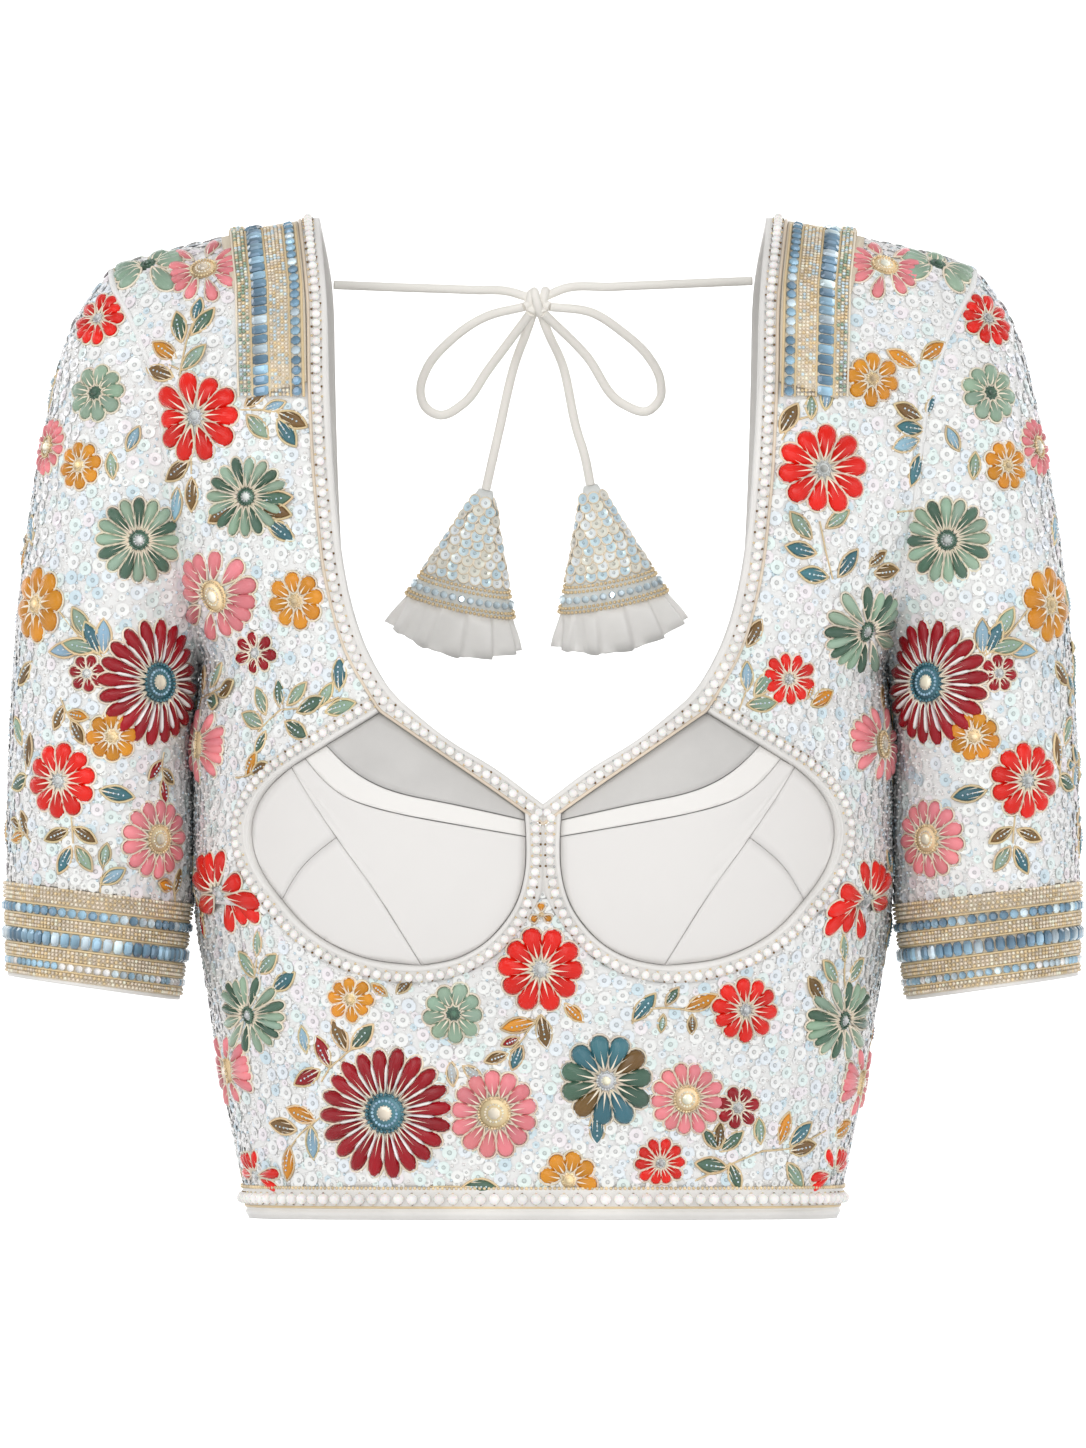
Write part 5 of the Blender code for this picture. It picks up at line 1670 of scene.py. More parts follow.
@dataclass(frozen=True)
class NeckBorder:
    """The bound and pearled edge of the front neck, the straps and the back neck."""

    neck: tuple[Spot, ...] = (Spot(96, -2), Spot(92.9, -30), Spot(91.2, -77), Spot(88.4, -120),
                              Spot(83.2, -159), Spot(75.4, -185), Spot(67.4, -199))
    bend: tuple[Spot, ...] = (Spot(67.4, -199), Spot(61.5, -206))
    strap: tuple[Spot, ...] = (Spot(61.5, -206), Spot(40, -224), Spot(18.5, -237),
                               Spot(4.5, -247.6))
    point: tuple[Spot, ...] = (Spot(4.5, -247.6), Spot(0, -251))
    seam: tuple[Spot, ...] = (Spot(104.9, -3), Spot(101.6, -30), Spot(99.9, -77),
                              Spot(97, -121), Spot(91.4, -161), Spot(83, -188),
                              Spot(73.4, -205.4))
    corner: Spot = Spot(69.4, -212)
    strap_foot: Spot = Spot(7.9, -254.5)
    post_top: Spot = Spot(0, -260)
    back_neck: tuple[Spot, ...] = (
        Spot(96, -2), Spot(91, -27), Spot(90, -60), Spot(89.4, -90), Spot(88.4, -120),
        Spot(86.8, -150), Spot(84, -180), Spot(78, -215), Spot(66, -243), Spot(45, -268),
        Spot(22, -281), Spot(0, -285))
    back_seam: tuple[Spot, ...] = (
        Spot(104.9, -3), Spot(100, -28), Spot(99, -61), Spot(98.4, -91), Spot(97.4, -121),
        Spot(95.8, -152), Spot(92.8, -183.5), Spot(86, -219.5), Spot(72.5, -249.5),
        Spot(49.8, -275.6), Spot(24.4, -289.8), Spot(0, -294))
    start_z: float = -2.3       # clear of the shoulder's ridge
    top: float = 3.0

    def strips(self) -> list[Strip]:
        """The front and back borders of the wearer's left, as strips."""
        inner = np.concatenate([outline(self.neck, 42), outline(self.bend, 6)[1:],
                                outline(self.strap, 24)[1:], outline(self.point, 6)[1:]])
        outer = np.concatenate([
            outline(self.seam, 42), outline((self.seam[-1], self.corner), 6)[1:],
            outline((self.corner, self.strap_foot), 24)[1:],
            outline((self.strap_foot, self.post_top), 6)[1:]])
        made = []
        for first, second, back in (
                (inner, outer, False),
                (outline(self.back_neck, 72, True), outline(self.back_seam, 72, True), True)):
            first[0, 1] = min(first[0, 1], self.start_z)
            edges = [FORM.points(flat[:, 0], flat[:, 1], back) for flat in (first, second)]
            middle = (first + second) / 2
            normals = FORM.normals(middle[:, 0], middle[:, 1], back)
            made.append(Strip(*edges, normals))
        return made

    def rows(self) -> list[Row]:
        """What is sewn along the border, from the neck edge outwards."""
        lift = self.top
        tiny = (Tint.BROWN, Tint.SILVER, Tint.GOLD)
        return [
            cord_row(0.17, 1.45, lift - 0.9, Tint.PEARL, Cloths.BINDING),
            Row(0.30, TINY, PEARL_PITCH, tiny, lift, shift=0.0),
            Row(0.53, PEARL, PEARL_PITCH, (Tint.PEARL,), lift + 0.1, Cloths.PEARLS),
            Row(0.76, TINY, PEARL_PITCH, tiny, lift, shift=0.0),
            cord_row(0.92, 0.75, lift - 0.2, Tint.BEIGE),
        ]

    def sewn(self, works: Trimmings) -> None:
        """Sews both sides of the border."""
        for index, strip in enumerate(self.strips()):
            for side in (strip, strip.mirrored(10 + index)):
                side.dressed(self.rows(), works)


@dataclass(frozen=True)
class CupBorder:
    """The bound and pearled edge round a cup window, with its post between the cups."""

    corner: Spot = Spot(69.4, -212)
    window: tuple[Spot, ...] = (
        Spot(69.4, -212), Spot(92, -225.9), Spot(101, -231.5), Spot(107, -235.2),
        Spot(113.5, -240.2), Spot(121, -249.5), Spot(124.6, -260), Spot(123.5, -271),
        Spot(118.6, -282), Spot(110.9, -291.5), Spot(103, -301), Spot(92.3, -309.2),
        Spot(76.5, -316.2), Spot(51.7, -319.4), Spot(36.3, -316.2), Spot(25.5, -310.3),
        Spot(17.1, -302), Spot(11.2, -292.5), Spot(7.8, -280), Spot(7.3, -264.6),
        Spot(7.7, -257.6), Spot(7.9, -254.5))
    seam_z: tuple[float, float] = (-252.0, -287.5)
    width: float = 7.0
    top: float = 3.0

    def strip(self) -> Strip:
        """The border of the wearer's left as a strip, from the window's edge outwards."""
        first = outline(self.window, 120)
        way = unit(np.gradient(first, axis=0))
        away = np.stack([-way[:, 1], way[:, 0]], axis=-1)
        away[np.sum(away * (first - np.array(FORM.cup_centre)), axis=1) < 0] *= -1
        second = first + self.width * away
        second[:, 0] = np.maximum(second[:, 0], 0.0)
        edges = [FORM.points(flat[:, 0], flat[:, 1], False) for flat in (first, second)]
        middle = (first + second) / 2
        return Strip(*edges, FORM.normals(middle[:, 0], middle[:, 1], False))

    def rows(self) -> list[Row]:
        """What is sewn along the border, from the cup outwards."""
        lift = self.top
        return [
            cord_row(0.16, 1.15, lift - 0.8, Tint.PEARL, Cloths.BINDING),
            Row(0.34, TINY, PEARL_PITCH, (Tint.SILVER, Tint.GOLD), lift - 0.1, shift=0.0),
            Row(0.58, PEARL, PEARL_PITCH, (Tint.PEARL,), lift + 0.1, Cloths.PEARLS),
            Row(0.86, TINY, PEARL_PITCH, (Tint.BROWN, Tint.GOLD, Tint.BROWN), lift - 0.1,
                shift=0.0),
        ]

    def sewn(self, works: Trimmings) -> None:
        """Sews both cups' borders, and the roll over the seam between them."""
        strip = self.strip()
        for side in (strip, strip.mirrored(21)):
            side.dressed(self.rows(), works)
        z = np.linspace(*self.seam_z, 30)
        seam = body_rail(np.stack([0 * z, z], axis=-1), 2.0)
        works.couch(seam, 0.9, Tint.PEARL, Cloths.BINDING)


@dataclass(frozen=True)
class HemBorder:
    """The pearled and bound border of the hem, all round the waist."""

    top_z: float = -414.2
    foot_z: float = -428.2
    top: float = 3.2

    def strips(self) -> list[Strip]:
        """The front and back halves of the hem."""
        made = []
        for back in (False, True):
            turns = np.linspace(-math.pi / 2, math.pi / 2, 161)
            edges = []
            for z in (self.top_z, self.foot_z):
                wide = float(FORM.half_width(np.float64(z)))
                x = np.sign(turns) * wide * np.abs(np.sin(turns)) ** (2.0 / FORM.roundness)
                edges.append(FORM.points(x, np.full(len(x), z), back))
            normals = FORM.normals(x, np.full(len(x), self.foot_z), back)
            normals[[0, -1]] = [[-1.0, 0.0, 0.0], [1.0, 0.0, 0.0]]
            made.append(Strip(*edges, normals))
        return made

    def rows(self) -> list[Row]:
        """What is sewn along the hem, from the top down."""
        lift = self.top
        tiny = (Tint.BROWN, Tint.GOLD)
        return [
            Row(0.03, SEED_GOLD, 2.0, (Tint.GOLD,), lift - 0.6, spread=0.25),
            Row(0.36, HEM_PEARL, HEM_PITCH, (Tint.PEARL,), lift - 0.3, Cloths.PEARLS),
            Row(0.20, TINY, HEM_PITCH, tiny, lift - 0.1),
            Row(0.52, TINY, HEM_PITCH, tiny, lift - 0.1),
            cord_row(0.62, 0.55, lift - 0.2),
            cord_row(0.82, 1.95, lift - 1.4, Tint.PEARL, Cloths.BINDING),
        ]

    def sewn(self, works: Trimmings) -> None:
        """Sews the hem."""
        for strip in self.strips():
            strip.dressed(self.rows(), works)


STONE_BLUES = (Tint.SKY, Tint.STEEL, Tint.ICE, Tint.STEEL)


@dataclass(frozen=True)
class ShoulderBand:
    """The jewelled band beside the neck border, over the shoulder."""

    width: float = 30.0
    front_length: float = 78.0
    back_length: float = 70.0
    slant: float = 0.13
    start_z: float = -3.6
    neck: NeckBorder = NeckBorder()
    top: float = 3.8

    def strip(self, back: bool) -> Strip:
        """The band of the wearer's left, from the neck border outwards."""
        seam = self.neck.back_seam if back else self.neck.seam
        z = np.linspace(self.start_z, -(self.back_length if back else self.front_length), 40)
        inner = np.interp(-z, [-spot.z for spot in seam], [spot.x for spot in seam])
        edges = [FORM.points(inner + reach, z - self.slant * reach * (z > -6), back)
                 for reach in (0.6, self.width)]
        return Strip(*edges, FORM.normals(inner + self.width / 2, z, back))

    def rows(self) -> list[Row]:
        """What is sewn along the band, from the neck border outwards."""
        lift = self.top
        pale = (Tint.GOLD, Tint.CREAM, Tint.BEIGE, Tint.CREAM, Tint.ICE)
        minty = (Tint.SAGE, Tint.ICE, Tint.CREAM, Tint.GOLD)
        return [
            cord_row(0.02, 0.6, lift),
            Row(0.115, cut_stone(4.4, 4.4, 1.6, 8), 4.9, STONE_BLUES, lift, Cloths.STONES,
                spread=0.2),
            cord_row(0.20, 0.5, lift),
            Row(0.635, cut_stone(7.0, 4.3, 1.7, 8, 0.42), 4.9, STONE_BLUES, lift, Cloths.STONES,
                across=True, spread=0.25),
            cord_row(0.51, 0.5, lift),
            cord_row(0.76, 0.5, lift),
            cord_row(0.97, 0.5, lift, Tint.CREAM),
            *(Row(share, SEED_GOLD, 1.85, pale, lift, spread=0.2)
              for share in (0.25, 0.305, 0.36, 0.415, 0.465)),
            *(Row(share, SEED_GOLD, 1.85, minty, lift, spread=0.2)
              for share in (0.81, 0.865, 0.92)),
        ]

    def sewn(self, works: Trimmings) -> None:
        """Sews both bands."""
        for seed, back in ((36, False), (37, True)):
            strip = self.strip(back)
            strip.dressed(self.rows(), works)
            strip.mirrored(seed).dressed(self.rows(), works)


@dataclass(frozen=True)
class Cuff:
    """A jewelled cuff: rows of stones between rows of metal cord."""

    outer_x: tuple[float, float] = (228.4, 227.4)
    outer_z: tuple[float, float] = (-284.0, -324.5)
    inner_x: tuple[float, float] = (153.8, 159.0)
    inner_z: tuple[float, float] = (-293.5, -334.7)
    depth: tuple[float, float] = (49.0, 48.0)
    top: float = 3.0

    def strip(self, side: float) -> Strip:
        """The cuff as a strip, from its top edge to its foot, round the arm."""
        turns = np.linspace(0.0, 2 * math.pi, 97)
        rings = []
        for end in (0, 1):
            outer = np.array([self.outer_x[end], 0.0, self.outer_z[end]])
            inner = np.array([self.inner_x[end], 0.0, self.inner_z[end]])
            deep = np.array([0.0, -self.depth[end], 0.0])
            rings.append((outer + inner) / 2 + np.cos(turns)[:, None] * (outer - inner) / 2
                         + np.sin(turns)[:, None] * deep)
        way = np.gradient(rings[0], axis=0)
        normals = unit(np.cross(way, rings[1] - rings[0]))
        normals[[0, -1]] = unit(np.array([1.0, 0.0, -0.1]))
        if np.sum(normals[24] * (rings[0][24] - rings[0].mean(axis=0))) < 0:
            normals = -normals
            normals[[0, -1]] = unit(np.array([1.0, 0.0, 0.0]))
        strip = Strip(*rings, normals, 40)
        return strip if side > 0 else strip.mirrored(41)

    def rows(self) -> list[Row]:
        """What is sewn round the cuff, from the top down."""
        lift = self.top
        return [
            *(Row(share, SEED_GOLD, 1.9, (Tint.GOLD, Tint.CREAM, Tint.BEIGE), lift - 0.1,
                  spread=0.2)
              for share in (0.02, 0.065, 0.11, 0.155, 0.345, 0.385, 0.425, 0.665, 0.705,
                            0.745, 0.90, 0.94)),
            cord_row(0.195, 0.5, lift),
            Row(0.255, cut_stone(4.2, 4.2, 1.6), 4.6, STONE_BLUES, lift, Cloths.STONES,
                spread=0.2),
            cord_row(0.315, 0.5, lift),
            cord_row(0.455, 0.5, lift),
            Row(0.545, cut_stone(6.2, 4.2, 1.8, 8, 0.6), 4.7, STONE_BLUES, lift, Cloths.STONES,
                across=True, spread=0.25),
            cord_row(0.635, 0.5, lift),
            cord_row(0.775, 0.45, lift),
            Row(0.825, cut_stone(3.4, 3.4, 1.3), 3.9, (Tint.PEARL, Tint.SKY, Tint.ICE), lift,
                Cloths.STONES, spread=0.2),
            cord_row(0.87, 0.45, lift),
            cord_row(0.985, 1.0, lift - 1.0, Tint.PEARL, Cloths.BINDING),
        ]

    def sewn(self, works: Trimmings, side: float) -> None:
        """Sews one cuff."""
        self.strip(side).dressed(self.rows(), works)


# ---------------------------------------------------------------- the tie and its tassels
class Lie(NamedTuple):
    """A route point along the back: its front view place, and how far it is off the form."""

    x: float
    z: float
    lift: float


def lies(spot: Lie) -> Array:
    """Where a route point is."""
    depth = float(FORM.depth(np.float64(spot.x), np.float64(spot.z), True))
    return np.array([spot.x, depth + spot.lift, spot.z])


@dataclass(frozen=True)
class Tassel:
    """A latkan: an embroidered cone over a pleated satin frill, leaning off the back."""

    side: str
    apex: Lie
    lean: float
    pitch: float = 13.0
    cone_length: float = 52.5
    cone_radius: float = 23.8
    tip_radius: float = 3.2
    flatness: float = 0.45
    pleats: int = 12
    pleat_depth: float = 2.2
    pleat_start: float = 0.59           # in pleats, from the front
    pleat_shares: tuple[float, float] = (0.84, 0.16)    # of its slow rise and its steep fall
    pleat_reach: float = 9.0            # how far below the cone the pleats reach full depth
    lift: float = 0.1
    beaded: tuple[float, ...] = (0.80, 0.84, 0.965, 1.0)    # shares down the cone
    jewelled: float = 0.905
    sequined: tuple[float, float, int] = (0.10, 0.73, 10)
    disc: float = 4.9
    sequin_tints: tuple[tuple[float, float, float], ...] = (
        (0.62, 0.78, 0.87), (0.90, 0.94, 0.96), (0.82, 0.80, 0.72), Tint.ICE.value)

    def turned(self) -> Matrix:
        """How the tassel is turned from hanging straight down."""
        return (Matrix.Rotation(math.radians(self.lean), 3, "Y")
                @ Matrix.Rotation(math.radians(self.pitch), 3, "X"))

    def placed(self, points: Array) -> Array:
        """Points of the upright tassel moved to where it hangs."""
        return points @ np.array(self.turned()).T + lies(self.apex)

    def ring(self, share: float, turns: int = 73) -> Rail:
        """A level line round the cone, just outside it.

        Args:
            share: How far down the cone it is.
            turns: How many points it has.

        Returns:
            The line, in place.
        """
        radius = self.tip_radius + (self.cone_radius - self.tip_radius) * share**1.08
        turn = np.linspace(0.0, 2 * math.pi, turns)
        down = np.full(turns, -self.cone_length * share)
        points = np.stack([radius * np.cos(turn), self.flatness * radius * np.sin(turn), down],
                          axis=-1)
        normals = unit(np.stack([self.flatness * np.cos(turn), np.sin(turn),
                                 np.full(turns, 0.25)], axis=-1))
        turned = np.array(self.turned()).T
        return Rail(self.placed(points) + self.lift * (normals @ turned), normals @ turned)

    def _pleated(self, points: Array, normals: Array) -> Array:
        """The frill's knife pleats.

        Args:
            points: Places on the frill.
            normals: Their directions.

        Returns:
            How far each place is moved along its direction.
        """
        turned = np.array(self.turned())
        local = (points - lies(self.apex)) @ turned
        facing = normals @ turned
        round_way = np.stack([local[:, 0], local[:, 1] / self.flatness], axis=-1)
        turn = np.arctan2(round_way[:, 1], round_way[:, 0]) / (2 * math.pi)
        fold = (turn * self.pleats + self.pleat_start) % 1.0
        rise, fall = self.pleat_shares
        saw = np.where(fold < rise, fold / rise, (1.0 - fold) / fall) - 0.5
        down = np.clip((-local[:, 2] - self.cone_length) / self.pleat_reach, 0.3, 1.0)
        return self.pleat_depth * saw * down * np.sum(facing[:, :2] * unit(round_way), axis=1)

    def sewn(self, rng: np.random.Generator) -> list[bpy.types.Object]:
        """Makes the tassel's cloth and what is sewn on it."""
        cone = Cloth(f"tassel_cone_{self.side}", Cloths.CONE)
        frill = Cloth(f"tassel_frill_{self.side}", Cloths.FRILL, relief=self._pleated)
        works = Trimmings(f"tassel_{self.side}")
        for share in self.beaded:
            points, along, up = self.ring(share).spaced(1.85)
            works.work(Cloths.BEADS).sew(SEED_GOLD, points, along, up, Tint.GOLD)
        points, along, up = self.ring(self.jewelled).spaced(3.9)
        works.work(Cloths.STONES).sew(cut_stone(3.4, 3.4, 1.3), points, along, up, Tint.ICE)
        kinds = np.array(self.sequin_tints)
        for share in np.linspace(*self.sequined):
            points, along, up = self.ring(float(share)).spaced(5.0, rng.random())
            tints = kinds[rng.integers(0, len(kinds), len(points))]
            works.work(Cloths.SEQUINS).sew(sequin(2.2), points, along, up, tints)
            works.work(Cloths.CORDING).sew(
                cord_ring(Outline.DISC, self.disc, self.disc, 0.9, 12),
                points - self.disc / 2 * along, along, up, Tint.CREAM)
        made = [*works.pieces(), cone.piece, frill.piece]
        cone.declare((82.0, 56.0), 3000.0, "stretched", [], [])
        frill.declare((135.0, 19.5), None, "gathered", [f"tassel_cone_{self.side}"], [])
        return made


class Wrap(NamedTuple):
    """One turn of the knot: its height and depth, how far it leans and where it lies."""

    tall: float
    deep: float
    degrees: float
    shift: tuple[float, float, float]


@dataclass(frozen=True)
class Dori:
    """The satin tie across the open back: two runs, a knotted bow, and two tasselled tails."""

    radius: float = 2.0
    knot_place: Lie = Lie(-2.6, -33.5, 6.6)
    start: float = 6.9
    loop_depth: float = -2.6
    tail_depth: float = 2.8
    gap: float = 0.4
    runs: tuple[tuple[Lie, ...], ...] = (
        (Lie(90.3, -25.4, 1.5), Lie(60, -26.6, 2.5), Lie(30, -27.8, 4.5)),
        (Lie(-90.3, -27.1, 1.5), Lie(-60, -28.2, 2.5), Lie(-30, -29.2, 4.5)))
    run_angles: tuple[float, float] = (24.0, 162.0)
    loops: tuple[tuple[Lie, ...], ...] = (
        (Lie(21, -38.8, 3), Lie(34.5, -47.3, 2.4), Lie(45.3, -57.3, 2.2),
         Lie(50.8, -67.8, 2.2), Lie(50.6, -76.2, 2.2), Lie(44.8, -81.4, 2.2),
         Lie(34.8, -78.2, 2.2), Lie(18.8, -57.4, 2.4)),
        (Lie(-24.5, -40.5, 3), Lie(-40.5, -51.2, 2.4), Lie(-50.6, -63.4, 2.2),
         Lie(-53.1, -73.2, 2.2), Lie(-50.4, -80.2, 2.2), Lie(-44.2, -83, 2.2),
         Lie(-34.8, -78.2, 2.2), Lie(-23.8, -63.4, 2.4)))
    loop_angles: tuple[tuple[float, float], ...] = ((333.0, 297.0), (207.0, 243.0))
    tails: tuple[tuple[Lie, ...], ...] = (
        (Lie(8.7, -62, 6), Lie(14.7, -89.5, 3.5)), (Lie(-12.6, -62, 6), Lie(-19.1, -90, 3.5)))
    tail_angles: tuple[float, float] = (288.0, 252.0)
    tassels: tuple[Tassel, ...] = (Tassel("left", Lie(20.6, -113.2, 3.0), -11.2),
                                   Tassel("right", Lie(-24.8, -115.2, 3.0), 12.6))
    wraps: tuple[Wrap, ...] = (
        Wrap(4.9, 3.6, -15.0, (0.0, -0.3, -1.0)), Wrap(3.0, 2.7, 12.0, (3.0, 0.3, 1.2)),
        Wrap(2.6, 2.6, 8.0, (-2.9, 0.6, 0.3)))

    def _beside(self, degrees: float, depth: float, reach: float) -> Array:
        """A point beside the knot, at an angle in the front view and a depth of its own."""
        flat = math.sqrt(reach**2 - depth**2)
        turn = math.radians(degrees)
        return lies(self.knot_place) + np.array([flat * math.cos(turn), depth,
                                                 flat * math.sin(turn)])

    def _leaving(self, degrees: float, depth: float) -> list[Array]:
        """The first two points of a cord that leaves the knot squarely."""
        return [self._beside(degrees, depth, self.start),
                self._beside(degrees, depth * 1.5, 1.6 * self.start)]

    def _smooth(self, points: Sequence[Lie | Array], spacing: float = 2.5) -> Array:
        """A smooth curve through a route's points, read off evenly."""
        places = np.array([lies(p) if isinstance(p, Lie) else p for p in points], float)
        reach = np.concatenate([[0.0], np.cumsum(np.linalg.norm(np.diff(places, axis=0),
                                                                axis=1))])
        fine = np.linspace(0.0, reach[-1], 600)
        line = np.stack([through(fine, reach, places[:, k]) for k in range(3)], axis=-1)
        length = np.concatenate([[0.0], np.cumsum(np.linalg.norm(np.diff(line, axis=0),
                                                                 axis=1))])
        even = np.linspace(0.0, length[-1], max(4, round(length[-1] / spacing)) + 1)
        return np.stack([np.interp(even, length, line[:, k]) for k in range(3)], axis=-1)

    def routes(self) -> dict[str, Array]:
        """Every cord's centreline, in millimetres, by node."""
        made: dict[str, Array] = {}
        for k, side in enumerate(("left", "right")):
            made[f"dori_run_{side}"] = self._smooth(
                [*self.runs[k], *self._leaving(self.run_angles[k], 0.0)[::-1]])
            first, last = self.loop_angles[k]
            made[f"dori_loop_{side}"] = self._smooth(
                [self._beside(first, self.loop_depth, self.start), *self.loops[k],
                 self._beside(last, self.loop_depth, self.start)])
            tassel = self.tassels[k]
            axis = np.array(tassel.turned() @ Vector((0.0, 0.0, 1.0)))
            end = lies(tassel.apex) + axis * self.gap
            made[f"dori_tail_{side}"] = self._smooth(
                [*self._leaving(self.tail_angles[k], self.tail_depth), *self.tails[k],
                 end + axis * 13.0, end])
        return made

    def _knot(self) -> bpy.types.Object:
        """The bow's knot: turns of the cord drawn tight round each other."""
        centre = lies(self.knot_place)
        turn = np.linspace(0.0, 2 * math.pi, 33)
        rails = []
        for tall, deep, degrees, shift in self.wraps:
            ring = np.stack([0.0 * turn, deep * np.cos(turn), tall * np.sin(turn)], axis=-1)
            turned = ring @ np.array(Matrix.Rotation(math.radians(degrees), 3, "Y")).T
            rails.append(Rail(turned + centre + np.array(shift), turned))
        ends = [(angle, 0.0) for angle in self.run_angles]
        ends += [(angle, self.loop_depth) for pair in self.loop_angles for angle in pair]
        ends += [(angle, self.tail_depth) for angle in self.tail_angles]
        for angle, depth in ends:
            inward = np.array([self._beside(angle, share * depth, share * self.start)
                               for share in (0.4, 0.7, 1.0)])
            rails.append(Rail(inward, inward))
        made = corded("dori_knot_turns", rails, self.radius, Cloths.DORI, None, 1.0, sides=3)
        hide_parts("dori_knot")
        return made

    def tied(self) -> list[bpy.types.Object]:
        rng = np.random.default_rng(SEED + 77)
        knot = self._knot()
        hung = {tassel.side: tassel.sewn(rng) for tassel in self.tassels}
        made = [knot]
        for node, route in self.routes().items():
            piece = corded(f"{node}_cord", [Rail(route, route)], self.radius, Cloths.DORI, None,
                           2.0, sides=3)
            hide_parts(node)
            made.append(piece)
        return made


# ---------------------------------------------------------------- the whole blouse
FRONT_FLOWERS = (
    Flower(Bloom.SAGE, -169, -21, 15), Flower(Bloom.PINK, -145, -24, 14.5),
    Flower(Bloom.RED, -147, -86, 18), Flower(Bloom.GREEN, -125, -120, 16.5),
    Flower(Bloom.PINK, -138, -161, 18), Flower(Bloom.MUSTARD, -104, -164, 11.5),
    Flower(Bloom.CRIMSON, -120.5, -186, 8.8), Flower(Bloom.PINK, -143, -226, 15),
    Flower(Bloom.RED, -134.5, -288, 17), Flower(Bloom.GREEN, -122.5, -340.5, 15.5),
    Flower(Bloom.PINK, -132.5, -365, 14), Flower(Bloom.MUSTARD, -81, -333, 9.5),
    Flower(Bloom.RUBY, -66, -382, 26.5), Flower(Bloom.RED, -120.5, -409, 10.3),
    Flower(Bloom.PINK, -20.6, -382, 18), Flower(Bloom.SAGE, -38, -339, 12.5),
    Flower(Bloom.TREFOIL, -0.9, -297.5, 5.5), Flower(Bloom.RED, -0.9, -320, 17.5),
    Flower(Bloom.TEAL, 26.7, -368, 19), Flower(Bloom.PINK, 60.2, -376, 15),
    Flower(Bloom.CRIMSON, 81.7, -380, 9), Flower(Bloom.RED, 84.7, -337.6, 13.5),
    Flower(Bloom.RED, 49.5, -404, 10), Flower(Bloom.MUSTARD, 10.8, -411, 11.5),
    Flower(Bloom.RED, 121.3, -408, 10.3), Flower(Bloom.GREEN, 125.6, -343, 16),
    Flower(Bloom.PINK, 135.5, -370, 14), Flower(Bloom.RED, 135, -291, 16),
    Flower(Bloom.PINK, 140.6, -225.8, 15), Flower(Bloom.RED, 102.8, -197.8, 10.8),
    Flower(Bloom.GREEN, 135, -176, 18), Flower(Bloom.RED, 118.3, -108.4, 18),
    Flower(Bloom.MUSTARD, 139.8, -70.1, 11), Flower(Bloom.PINK, 145.8, -22.5, 14.5),
    Flower(Bloom.SAGE, 169, -21, 15),
)
BACK_FLOWERS = (
    Flower(Bloom.SAGE, -167, -26, 15), Flower(Bloom.PINK, -146, -52, 14),
    Flower(Bloom.RED, -128, -106, 18), Flower(Bloom.GREEN, -128, -166, 17),
    Flower(Bloom.PINK, -112, -222, 17), Flower(Bloom.RUBY, -106, -290, 26),
    Flower(Bloom.MUSTARD, -134, -250, 11), Flower(Bloom.GREEN, -52, -322, 16),
    Flower(Bloom.PINK, -112, -356, 16), Flower(Bloom.RED, -66, -376, 18),
    Flower(Bloom.MUSTARD, -22, -392, 11), Flower(Bloom.CRIMSON, -20, -336, 9),
    Flower(Bloom.SAGE, 167, -26, 15), Flower(Bloom.PINK, 146, -52, 14),
    Flower(Bloom.RED, 128, -106, 18), Flower(Bloom.GREEN, 128, -166, 17),
    Flower(Bloom.PINK, 112, -222, 17), Flower(Bloom.RUBY, 106, -290, 26),
    Flower(Bloom.MUSTARD, 134, -250, 11), Flower(Bloom.TEAL, 52, -322, 17),
    Flower(Bloom.PINK, 112, -356, 16), Flower(Bloom.RED, 66, -376, 18),
    Flower(Bloom.MUSTARD, 22, -366, 11), Flower(Bloom.CRIMSON, 20, -404, 9),
)
SLEEVE_FLOWERS = (
    Flower(Bloom.RED, 190.5, -43, 12.5), Flower(Bloom.SAGE, 191.5, -75, 12.5),
    Flower(Bloom.PINK, 212, -98, 12), Flower(Bloom.MUSTARD, 198.5, -106, 10.3),
    Flower(Bloom.GREEN, 173, -138, 18), Flower(Bloom.MUSTARD, 217, -165.5, 15.5),
    Flower(Bloom.RUBY, 165, -199, 26), Flower(Bloom.CRIMSON, 195, -195, 8),
    Flower(Bloom.MUSTARD, 184.5, -222, 11), Flower(Bloom.RED, 207, -241, 15.5),
    Flower(Bloom.PINK, 165, -266, 16.3),
)
